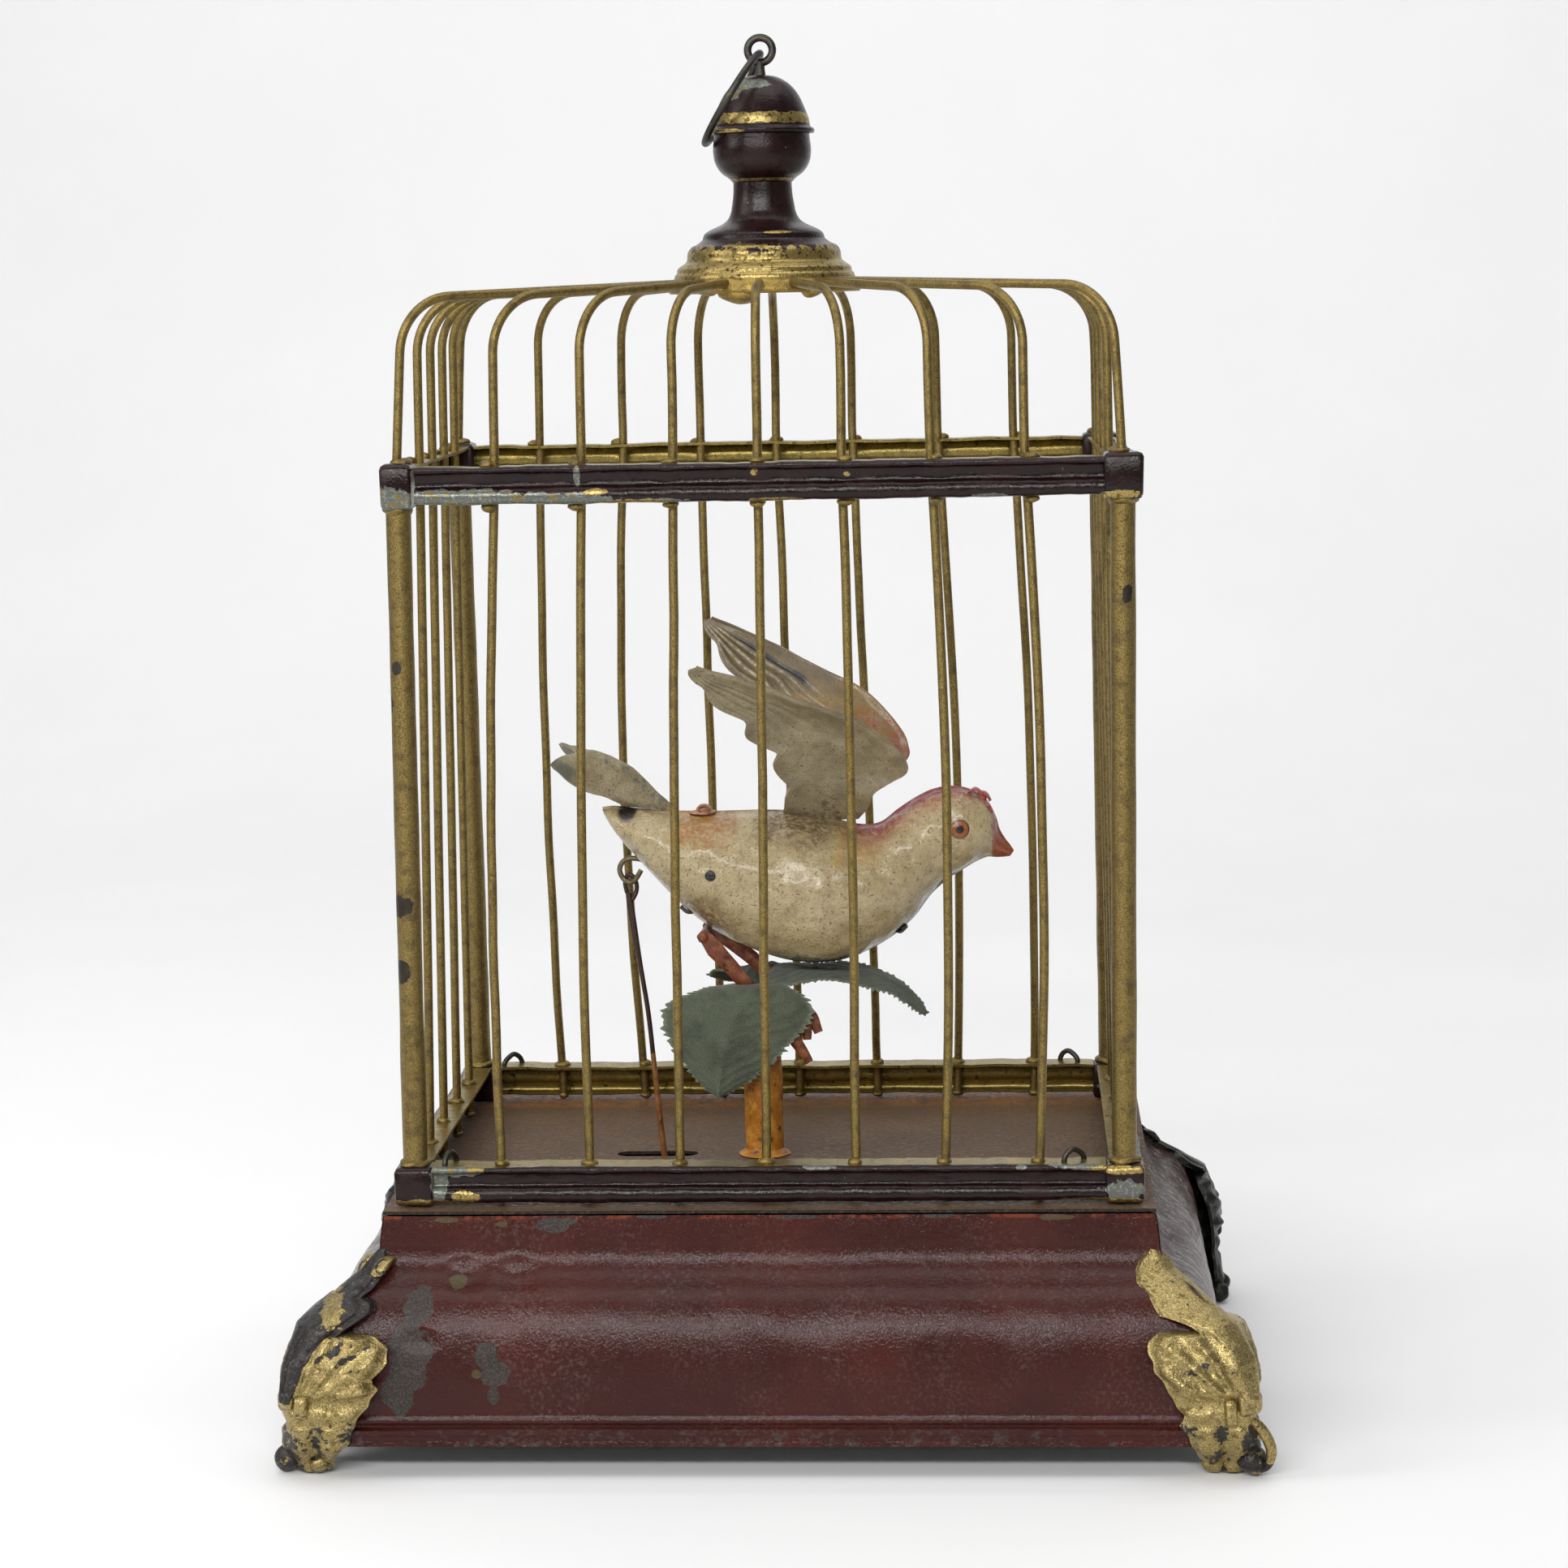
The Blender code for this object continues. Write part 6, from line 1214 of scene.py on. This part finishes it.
finialWorn = {"foot": [], "cup": [],
              "cap": [((-1.8, -4.5, 238.2), (4.0, 4, 1.0)), ((-4.6, -4.5, 236.6), (1.6, 4, 1.2))]}
finialGold = {
    "foot": [((0, 0, 205.4), (26, 26, 4.9)), ((3, -10, 212.1), (2.6, 4, 0.25)),
             ((-4, -16, 209.8), (5, 6, 0.6))],
    "cup": [((0, 0, 221.5), (20, 20, 0.25))],
    "cap": [((0, 0, 232.2), (20, 20, 1.05)), ((-6, -6, 229.9), (5, 5, 0.5))]}
for title, seed in (("foot", 1), ("cup", 2), ("cap", 3)):
    paintName = "finial_" + title
    paint[paintName] = maroonRail("japannedFinial" + title.capitalize(), finialWorn[title], finialGold[title])
    shape = spunShell(finial[title], finial["wall"], seed)
    newPiece("finial_%s_dressed" % title, [shape], paint[paintName],
             stands=["finial_" + title], marks={"inside": np.zeros(len(shape[0]))}, sharp=40)

eye = {"centre": 244.3, "major": 2.2, "wire": 0.7, "neck": 240.2}
turn = np.linspace(0, 2 * math.pi, 48, endpoint=False)
loop = np.stack([eye["major"] * np.cos(turn), 0 * turn, eye["centre"] + eye["major"] * np.sin(turn)], axis=1)
neck = np.array([[0, 0, eye["neck"] - 0.8], [0, 0, eye["neck"] + 0.8],
                 [0, 0, eye["centre"] - eye["major"] + 0.2]])
newPiece("hanger_eye_dressed",
         [sweep(loop, eye["wire"], 16, across=(0, 1, 0), closed=True), sweep(neck, [1.0, 0.8, 0.75], 16)],
         paint["iron"], stands=["hanger_eye"])

ring = {"pivot": 243.75, "major": 9.3, "wire": 0.65, "lean": math.radians(33.0)}
turn = np.linspace(0, 2 * math.pi, 120, endpoint=False)
hang = ring["major"] * (1 + np.sin(turn - math.pi))
loop = np.stack([-hang * math.sin(ring["lean"]), ring["major"] * np.cos(turn),
                 ring["pivot"] - hang * math.cos(ring["lean"])], axis=1)
newPiece("hanging_ring_dressed", [sweep(loop, ring["wire"], 14, across=(1, 0, 0), closed=True)],
         paint["iron"], body="ring", stands=["hanging_ring"])
print("finial made")


# Bird, wings, tail, hook, rod and legs

birdPlane = -4.4
birdStations = [
    (-31.3, 108.7, -31.2, 108.2, 0.8), (-29.0, 108.9, -29.4, 105.2, 3.4), (-25.0, 108.4, -26.6, 101.6, 5.2),
    (-20.0, 108.0, -22.5, 97.0, 7.4), (-14.0, 107.8, -17.3, 91.4, 9.4), (-8.0, 107.8, -11.5, 86.6, 10.8),
    (-2.0, 107.9, -4.5, 82.9, 12.2), (4.0, 107.6, 3.5, 80.5, 13.2), (10.0, 106.4, 11.5, 80.6, 13.2),
    (15.6, 105.1, 19.0, 83.6, 12.0), (19.4, 105.4, 24.6, 87.9, 10.0), (22.6, 107.7, 28.3, 92.6, 8.4),
    (25.8, 109.8, 31.6, 95.6, 7.4), (29.2, 111.4, 34.2, 97.2, 7.3), (32.8, 111.9, 36.0, 98.3, 7.2),
    (36.2, 111.1, 37.2, 98.9, 6.4), (38.8, 109.2, 38.0, 99.2, 5.2), (40.3, 106.2, 38.6, 99.4, 3.9),
    (40.9, 103.9, 39.2, 99.5, 2.7), (41.9, 102.1, 40.6, 99.4, 1.7), (43.3, 99.9, 43.0, 99.5, 0.5)]
bird = {"stations": 170, "around": 64, "wall": 0.5, "seam": 0.15, "ridge": 0.35, "hammer": 0.22, "fine": 0.07}


def birdHalf(side):
    # a half ellipse on each rung from back to belly, hammered a little, with a raised seam edge
    rungs = curveThrough(birdStations, bird["stations"])
    top = np.stack([rungs[:, 0], 0 * rungs[:, 0], rungs[:, 1]], axis=1)[:, None]
    low = np.stack([rungs[:, 2], 0 * rungs[:, 0], rungs[:, 3]], axis=1)[:, None]
    angle = np.linspace(0, math.pi, bird["around"])[None, :, None]
    rise = unit(top - low)
    half = np.linalg.norm(top - low, axis=-1, keepdims=True) / 2

    def layer(depth):
        tall = np.maximum(half - depth, 0.15)
        wide = np.maximum(rungs[:, 4][:, None, None] - depth, 0.1)
        shell = (top + low) / 2 + rise * tall * np.cos(angle) + np.array((0, side, 0)) * wide * np.sin(angle)
        beat = ripple(shell, 5.2, 3 + side) * bird["hammer"] + ripple(shell, 2.2, 9 + side) * bird["fine"]
        calm = step(np.sin(angle[..., 0]), 0.0, 0.22)
        shell = shell + unit(shell - (top + low) / 2) * (beat * calm)[..., None]
        lip = hump(np.sin(angle) * wide, 0.35) * bird["ridge"] * (1 if depth == 0 else 0)
        shell = shell + rise * np.sign(np.cos(angle)) * lip
        shell[..., 1] += birdPlane + side * bird["seam"]
        return shell

    ridge = np.tile(np.linspace(0, 1, bird["around"]), bird["stations"] * 2)
    return slab(layer(0), layer(bird["wall"])), {"ridge": ridge}


def foldedTab(line, width, thick):
    # a short strip of tin bent along its line
    share = np.linspace(-0.5, 0.5, 7)[None, :, None]
    return sheetOf(curveThrough(line, 14)[:, None] + share * width * np.array([0, 1.0, 0]), thick)


p = birdPlane  # a short name for the points below
crest = [foldedTab([(35.6, p - 1.3, 111.2), (36.8, p - 2.0, 111.9), (38.0, p - 1.8, 110.9)], 1.9, 0.5),
         foldedTab([(37.2, p - 1.0, 111.2), (38.6, p - 1.7, 111.0), (39.4, p - 1.5, 109.7)], 1.7, 0.5),
         foldedTab([(37.8, p - 1.4, 109.8), (39.1, p - 1.9, 108.9), (39.7, p - 1.4, 107.5)], 1.8, 0.5),
         blob((37.9, p - 1.7, 110.2), 0.85, (1.1, 0.7, 1), 4, 10)]
backTab = [blob((-12.9, p - 1.0, 108.0), 2.5, (1.0, 0.8, 0.2), 5, 14),
           blob((-12.7, p - 1.2, 108.7), 1.15, (1.1, 0.9, 0.7), 6, 12),
           foldedTab([(-13.9, p - 1.4, 108.3), (-13.4, p - 1.9, 109.3), (-12.2, p - 1.7, 109.4),
                      (-11.4, p - 1.3, 108.7)], 1.4, 0.35)]
seamTabs = [foldedTab([(-15.2, p, 89.4), (-16.3, p - 0.5, 89.6), (-17.4, p - 0.5, 90.6)], 2.0, 0.4),
            foldedTab([(21.6, p, 85.9), (22.8, p - 0.6, 85.6), (24.0, p - 0.6, 86.6)], 2.0, 0.4)]
paint["bird"] = enamelledBird()
paint["crest"] = brushedPaint("redCrestEnamel", "#8c3a34", "#a85a4c", "#4f1a18", 0.3)
paint["pinkTab"] = brushedPaint("pinkTabEnamel", "#8f6048", "#ab7f60", "#5a3826", 0.36)
paint["blueTab"] = brushedPaint("darkTabEnamel", "#3a3128", "#6d5a40", "#191512", 0.34)
for title, side, node in (("near", -1, "right"), ("far", 1, "left")):
    shell, shellMarks = birdHalf(side)
    newPiece("bird_%s_half" % title, [shell], paint["bird"], body="bird",
             stands=["bird_body_" + node], marks=shellMarks, sharp=50)
newPiece("bird_crest_tabs", crest, paint["crest"], body="bird")
newPiece("bird_back_tab", backTab, paint["pinkTab"], body="bird")
newPiece("bird_seam_tabs", seamTabs, paint["blueTab"], body="bird")

wing = {"rows": 130, "columns": 100, "sheet": 0.5, "dish": 2.2, "rootY": 1.0, "rootZ": 107.5,
        "rightLean": 37.0, "leftLean": 19.0, "lobe": 1.3, "lobeLength": 8.4}
wingRungs = [((15.4, -1.2), (1.2, -1.4)), ((17.3, 1.6), (2.0, 1.6)), ((18.8, 5.5), (2.2, 6.2)),
             ((24.2, 9.5), (1.2, 10.0)), ((24.5, 12.3), (0.4, 12.7)), ((23.1, 15.4), (0.2, 15.3)),
             ((19.2, 20.2), (-2.0, 17.4)), ((15.4, 23.4), (-3.9, 19.8)), ((10.4, 25.9), (-4.6, 23.0)),
             ((5.9, 28.3), (-8.1, 26.2)), ((0.5, 31.4), (-10.4, 29.7)), ((-6.2, 34.5), (-12.9, 34.6)),
             ((-11.6, 36.7), (-13.1, 36.0))]


def stampedWing(side, lean, quillDepth):
    # rungs from leading to trailing edge, dished, leaned out from the back, lobed behind and pressed
    # with long quills
    lead = curveThrough([rung[0] for rung in wingRungs], wing["rows"])
    trail = curveThrough([rung[1] for rung in wingRungs], wing["rows"])
    share = np.linspace(0, 1, wing["columns"])[None, :, None]
    flat = lead[:, None] * (1 - share) + trail[:, None] * share
    root = np.linspace(0, 1, wing["rows"])[:, None]
    across = share[..., 0]
    dish = wing["dish"] * np.sin(math.pi * across) * np.sin(math.pi * np.minimum(1.1 * root, 1))
    x, r = flat[..., 0], flat[..., 1]
    ease = step(across, 0.03, 0.12) * step(-across, -0.97, -0.88) * step(-root, -0.98, -0.9)
    quills = quillDepth * np.cos(across * 2 * math.pi * 6.5)
    quills = quills * step(root, 0.4, 0.6) * step(across, 0.3, 0.42) * ease
    shoulder = 0.5 * quillDepth * np.sin((x * 0.5 + r * 0.9) * 0.9)
    shoulder = shoulder * step(-root, -0.55, -0.4) * step(root, 0.1, 0.25) * ease
    rolled = 0.5 * hump(across, 0.035) * step(root, 0.15, 0.3)
    flatPlace = np.stack([x, r, 0 * x], axis=-1)
    raised = dish + quills + shoulder + rolled + ripple(flatPlace, 7.0, 12 + side) * 0.16
    tilt = math.radians(lean)
    y = side * (wing["rootY"] + r * math.sin(tilt) - raised * math.cos(tilt)) + birdPlane
    z = wing["rootZ"] + r * math.cos(tilt) + raised * math.sin(tilt)
    lobes = wing["lobe"] * (1 - np.abs(np.sin(math.pi * r / wing["lobeLength"] + 0.5)))
    lobes = lobes * step(across, 0.75, 1.0)
    grid = np.stack([x + lobes * step(r, 2, 6) * step(-root, -0.97, -0.85), y, z], axis=-1)
    span = np.concatenate([np.tile(root, (1, wing["columns"])).ravel()] * 2)
    outward = np.mean(gridNormal(grid)[..., 1] * side) < 0
    first, second = (1.0, 0.0) if outward else (0.0, 1.0)
    topSide = np.concatenate([np.full(x.size, first), np.full(x.size, second)])
    chord = np.tile(np.tile(across, (wing["rows"], 1)).ravel(), 2)
    return sheetOf(grid, wing["sheet"]), {"span": span, "chord": chord, "topSide": topSide}


paint["farWing"] = enamelledWing("brownQuillWingEnamel", "#8c7d5f", "#6f6249", True)
paint["nearWing"] = enamelledWing("thinCreamWingEnamel", "#9d9172", "#877b5e", True)
for title, side, lean, depth, node in (("near", -1, wing["rightLean"], 0.12, "right"),
                                       ("far", 1, wing["leftLean"], 0.34, "left")):
    shape, marks = stampedWing(side, lean, depth)
    newPiece("wing_" + title, [shape], paint[title + "Wing"], body="bird",
             stands=["wing_" + node], marks=marks, sharp=60)

tail = {"fold": [(-17.9, 108.0), (-19.5, 109.9), (-23, 113.2), (-26.6, 116.4), (-31.3, 118.6),
                 (-34.0, 118.9), (-35.6, 118.3)],
        "edge": [(-27.6, 109.5), (-29.4, 110.6), (-31.2, 111.3), (-34.7, 112.7), (-37.0, 114.4),
                 (-39.0, 116.6), (-39.8, 118.0)],
        "spread": [0.9, 2.2, 3.6, 5.0, 6.2, 6.9, 7.0], "rows": 100, "columns": 80, "sheet": 0.5,
        "farLift": 1.7}


def foldedTail():
    # the fold line and the two spread edges joined by an inverted V, pressed with quills and notched
    # at the end
    rungs = [(*fold, *edge, out) for fold, edge, out in zip(tail["fold"], tail["edge"], tail["spread"])]
    line = curveThrough(rungs, tail["rows"])[:, None, :]
    share = np.linspace(-1, 1, tail["columns"])[None, :]
    along = np.linspace(0, 1, tail["rows"])[:, None]
    off = np.sqrt(share ** 2 + 0.006) - 0.077
    crown = 0.9 * np.sin(math.pi * np.clip(np.abs(share), 0, 1)) * step(along, 0.0, 0.3)
    x = line[..., 0] + (line[..., 2] - line[..., 0]) * off
    z = line[..., 1] + (line[..., 3] - line[..., 1]) * off + crown * 0.8
    z = z + tail["farLift"] * np.clip(share, 0, 1) * step(along, 0.3, 1.0)
    y = birdPlane + line[..., 4] * share
    quill = np.cos(np.abs(share) * 15) * 0.16 * step(along, 0.2, 0.5) * step(-along, -0.99, -0.93)
    tip = step(along, 0.86, 1.0) * hump(np.abs(share) - 0.8, 0.2)
    grid = np.stack([x - 0.5 * tip, y, z + quill + 0.1 * tip], axis=-1)
    grid = grid + ripple(grid, 5.0, 8)[..., None] * np.array((0, 0, 0.15))
    span = np.concatenate([np.tile(along, (1, tail["columns"])).ravel()] * 2)
    chord = np.tile(np.tile(np.abs(share), (tail["rows"], 1)).ravel(), 2)
    return sheetOf(grid, tail["sheet"]), {"span": span, "chord": chord, "topSide": np.ones(len(span))}


paint["tail"] = enamelledWing("creamTailEnamel", "#9d9172", "#857959", False)
tailShape, tailMarks = foldedTail()
newPiece("bird_tail_dressed", [tailShape], paint["tail"], body="bird",
         stands=["bird_tail"], marks=tailMarks, sharp=50)

hookLine = [(-22.6, p, 98.0), (-23.6, p, 98.8), (-25.1, p, 99.4), (-26.9, p, 99.4), (-28.1, p, 98.6),
            (-28.5, p, 97.2), (-27.9, p, 95.8), (-27.0, p - 0.3, 95.2), (-26.0, p - 0.6, 95.3),
            (-25.2, p - 0.8, 96.2), (-24.5, p - 0.8, 97.4)]
newPiece("tail_hook_dressed", [sweep(curveThrough(hookLine, 60), 0.48, 12)], paint["hookWire"], body="bird",
         stands=["tail_hook"])

rod = {"upper": 0.45, "eye": 0.42, "strand": (0.42, 0.3), "lower": (0.47, 0.62), "lowEye": 0.6}
rodLine = curveThrough([(-26.9, p, 93.2), (-26.4, p, 90.0), (-25.2, p, 80.0), (-23.9, p, 70.5),
                        (-23.0, p, 60.0), (-22.5, p, 53.8), (-21.7, p, 45.0), (-20.9, p, 38.0),
                        (-20.4, p, 34.6)], 110)
topEye = curveThrough([(-27.3, p + 0.5, 93.0), (-27.6, p + 0.4, 94.9), (-27.0, p, 96.4),
                       (-26.1, p - 0.2, 96.2), (-25.5, p, 94.8), (-25.6, p + 0.2, 93.2),
                       (-26.3, p - 0.3, 91.8)], 50)
strand = curveThrough([(-27.2, p + 0.5, 93.2), (-26.9, p + 0.6, 89.5), (-26.1, p + 0.4, 84.0),
                       (-25.4, p + 0.3, 80.0)], 40)
turn = np.linspace(1.9, 2 * math.pi + 1.2, 40)
lowEye = np.stack([-20.4 + 1.35 * np.cos(turn) + 0.35, p + 0 * turn, 32.3 + 1.5 * np.sin(turn)], axis=1)
upperPart, lowerPart = rodLine[:58], rodLine[56:]  # dark wire above, painted and thicker below
newPiece("push_rod_upper", [sweep(upperPart, rod["upper"], 12), sweep(topEye, rod["eye"], 12),
                            sweep(strand, np.linspace(*rod["strand"], 40), 12)], paint["darkWire"],
         body="rod", stands=["push_rod"])
newPiece("push_rod_lower", [sweep(lowerPart, np.linspace(*rod["lower"], len(lowerPart)), 12),
                            sweep(lowEye, rod["lowEye"], 12)], paint["rust"], body="rod",
         stands=["push_rod"])


def stripLeg(line, widths, thick, seed):
    # a flattened strip along a line, its width changing, hammered a little
    line = curveThrough(line, 60)
    wide = np.interp(np.linspace(0, 1, 60), np.linspace(0, 1, len(widths)), widths)
    tangent = unit(np.gradient(line, axis=0))
    across = unit(np.cross(tangent, (0, 1.0, 0)))
    share = np.linspace(-0.5, 0.5, 13)[None, :, None]
    grid = line[:, None] + across[:, None] * share * wide[:, None, None]
    grid[..., 1] += 0.3 * (np.abs(share[..., 0]) * 2) ** 2 + ripple(grid, 3.0, seed) * 0.12
    return sheetOf(grid, thick)


legStrips = [  # the points, widths and thickness of each leg, the bar between them and the toes
    ([(-13.1, -9.3, 86.4), (-12.0, -9.2, 84.6), (-9.0, -8.8, 81.0), (-6.2, -8.3, 77.4),
      (-4.4, -7.6, 74.6)],
     [1.6, 3.0, 2.6, 2.3, 2.8], 0.8),
    ([(-13.1, 0.5, 86.4), (-11.4, 0.4, 85.1), (-7.4, 0.0, 82.0), (-3.4, -0.6, 78.7),
      (-1.2, -1.4, 75.4)],
     [1.6, 2.6, 2.4, 2.2, 2.4], 0.8),
    ([(-4.8, -7.8, 75.2), (-3.6, -6.6, 74.2), (-2.0, -4.4, 73.6), (-1.0, -2.0, 74.6),
      (-0.8, -1.2, 75.6)],
     [3.0, 3.4, 3.6, 3.0, 2.4], 0.8),
    ([(-3.6, -8.6, 74.4), (0.6, -8.8, 73.0), (4.4, -9.0, 71.6), (6.4, -9.2, 70.6),
      (7.7, -9.4, 67.8)],
     [3.0, 2.6, 2.4, 2.2, 1.2], 0.7),
    ([(1.6, -8.9, 72.2), (4.2, -9.2, 70.6), (5.4, -9.4, 68.8), (5.6, -9.5, 66.5)],
     [2.4, 2.2, 1.8, 1.0], 0.7),
    ([(-1.8, -8.7, 73.2), (1.2, -9.2, 70.0), (3.2, -9.4, 66.6), (4.8, -9.5, 64.2),
      (5.9, -9.5, 62.3)],
     [2.2, 2.2, 2.2, 1.8, 0.9], 0.7)]
legs = [stripLeg(*strip, number) for number, strip in enumerate(legStrips, 1)]
newPiece("bird_legs_dressed", legs, paint["brick"], stands=["bird_legs"], sharp=50)
pinLine = np.array([(-13.1, -10.1, 85.7), (-13.1, -9.6, 85.7), (-13.1, 0.9, 85.7), (-13.1, 1.3, 85.7)])
newPiece("leg_pin_dressed", [sweep(pinLine, [0.85, 0.9, 0.55, 0.9], 16, across=(1, 0, 0)),
                             blob((-13.1, -9.9, 85.7), 1.0, (1, 0.5, 1), 3, 10)], paint["brick"],
         stands=["leg_pin"])
print("bird made")


# Perch and its cloth leaves

perch = {"x": -3.0, "radius": 3.4, "lap": 0.32, "low": 44.3, "top": 72.4, "seam": -0.35, "rows": 60,
         "around": 96}


def rolledPost():
    # a sheet rolled to a tube: its radius grows by the lap round the turn and steps back at the seam
    turn = np.linspace(0, 2 * math.pi * 1.04, perch["around"])[None, :]
    z = np.linspace(perch["low"], perch["top"], perch["rows"])[:, None]
    bell = 1.3 * step(-z, -45.2, -44.3)
    radius = perch["radius"] - perch["lap"] * 0.5 + perch["lap"] * turn / (2 * math.pi) + bell
    angle = perch["seam"] + turn

    def layer(depth):
        grid = np.stack([perch["x"] + (radius - depth) * np.cos(angle),
                         p + (radius - depth) * np.sin(angle), z + 0 * angle], axis=-1)
        return grid + ripple(grid, 8, 6)[..., None] * np.array([0.12, 0.12, 0.0])

    return slab(layer(0), layer(0.3))


newPiece("perch_tube", [rolledPost()], paint["ochre"], stands=["perch_post"], sharp=50)


leafCloth = {"sheet": 0.35, "rows": 90, "columns": 60, "fray": 0.45, "vein": 0.25, "foldShare": 1.06}


def clothLeaf(left, right, depth, bulge, seed):
    # a sheet between two edge lines, bulged across, with a midrib, side veins and frayed ends
    rows, fray, vein = leafCloth["rows"], leafCloth["fray"], leafCloth["vein"]
    left, right = curveThrough(left, rows)[:, None], curveThrough(right, rows)[:, None]
    share = np.linspace(0, 1, leafCloth["columns"])[None, :]
    rng = np.random.default_rng(seed)
    torn = rng.uniform(-1, 1, (rows, 2)) * fray
    saw = np.array([((np.arange(rows) % 3) - 1) * fray * 0.7] * 2).T
    reach = (torn + saw) * step(np.linspace(0, 1, rows), 0.03, 0.1)[:, None]
    grid = left * (1 - share[..., None]) + right * share[..., None]
    pull = reach[:, 1:] * step(share, 0.9, 1.0) - reach[:, :1] * step(-share, -0.1, 0.0)
    grid = grid + unit(right - left) * pull[..., None]
    crown = np.sin(math.pi * share) * bulge
    off = np.abs(share - 0.5)
    midrib = hump(off, 0.03) * vein
    along = np.linspace(0, 1, rows)[:, None]
    veins = hump(((along * 9 + off * 5) % 1) - 0.5, 0.09) * vein * 0.7 * step(-off, -0.46, -0.4)
    push = crown + midrib + veins + ripple(grid, 9, seed) * 0.35
    edge = np.tile(1 - step(np.minimum(share, 1 - share), 0.0, 0.05), (rows, 1))
    return grid + np.array(depth) * push[..., None], edge


frontLeft = [(-8.0, -7.2, 76.4), (-12.5, -9.6, 76.2), (-17.2, -10.4, 74.9), (-19.4, -10.6, 74.0),
             (-20.4, -10.8, 72.4), (-20.7, -10.9, 70.0), (-19.9, -11.0, 67.6), (-18.9, -11.2, 65.1),
             (-17.1, -11.4, 62.7), (-15.0, -11.7, 60.0), (-13.0, -12.0, 58.1), (-10.8, -12.2, 56.8)]
frontRight = [(1.0, -7.2, 76.6), (2.2, -9.6, 76.4), (4.2, -10.4, 75.6), (5.6, -10.6, 74.6),
              (6.6, -10.8, 72.4), (6.1, -10.9, 69.9), (3.6, -11.0, 67.3), (1.6, -11.2, 64.8),
              (-1.0, -11.4, 62.3), (-4.2, -11.7, 59.9), (-7.0, -12.0, 58.2), (-10.2, -12.2, 56.7)]
archUpper = [(-1.6, 1.6, 77.4), (0.6, 1.8, 78.3), (7.4, 2.2, 78.6), (14.2, 2.0, 78.3), (18.5, 1.4, 77.2),
             (22.7, 0.2, 75.3), (25.7, -1.4, 72.8), (27.4, -3.0, 69.6)]
archLower = [(-2.0, -8.6, 76.0), (2.1, -9.0, 76.6), (5.6, -9.2, 77.2), (12.4, -9.0, 76.9),
             (15.8, -8.4, 76.2), (20, -7.2, 74.6), (23.6, -5.8, 72.4), (27.0, -3.6, 69.3)]
backLeft = [(-3.6, 1.0, 74.6), (-8.0, 3.6, 76.2), (-12.0, 7.0, 76.4), (-13.4, 10.0, 75.0),
            (-9.0, 12.6, 73.2), (-4.0, 13.3, 72.2)]
backRight = [(-1.0, 1.0, 74.8), (3.4, 3.4, 76.6), (8.6, 6.6, 76.4), (9.6, 9.4, 75.0), (6.2, 12.4, 73.2),
             (-2.0, 13.4, 72.1)]
paint["leaf"] = waxedLeafCloth("waxedLeafCloth", "#4b543f", "#8b917a", "#3a4232")
paint["darkLeaf"] = waxedLeafCloth("shadedLeafCloth", "#39402f", "#6d735c", "#22271c")
for title, left, right, depth, bulge, finish, node, seed in (
        ("cloth_leaf_front", frontLeft, frontRight, (0, -1, 0), 0.7, "leaf", "leaf_front", 5),
        ("cloth_leaf_right", archUpper, archLower, (0, 0, 1), 0.5, "leaf", "leaf_right", 6),
        ("cloth_leaf_back", backLeft, backRight, (0, 0, 1), 0.6, "darkLeaf", "leaf_back", 7)):
    grid, edge = clothLeaf(left, right, depth, bulge, seed)
    piece = newPiece(title, [sheetOf(grid, leafCloth["sheet"])], paint[finish],
                     stands=[node], marks={"edge": np.concatenate([edge.ravel(), edge.ravel()])}, sharp=80)
print("perch and leaves made")


# Crank knob

knobAxis = (-22.5, 0, 12.0)
knobLine = [(1.25, 61.0), (2.6, 61.0), (3.1, 61.3), (3.3, 62.0), (3.0, 63.2), (2.6, 64.2), (2.7, 65.6),
            (3.2, 67.6), (3.55, 69.6), (3.6, 71.0), (3.3, 72.2), (2.5, 72.85), (1.25, 73.0)]
newPiece("crank_knob_dressed", [lathe(curveThrough(knobLine, 60), knobAxis, 64, axis="y")], paint["wood"],
         body="knob", stands=["crank_knob"], sharp=50)
print("crank knob made")
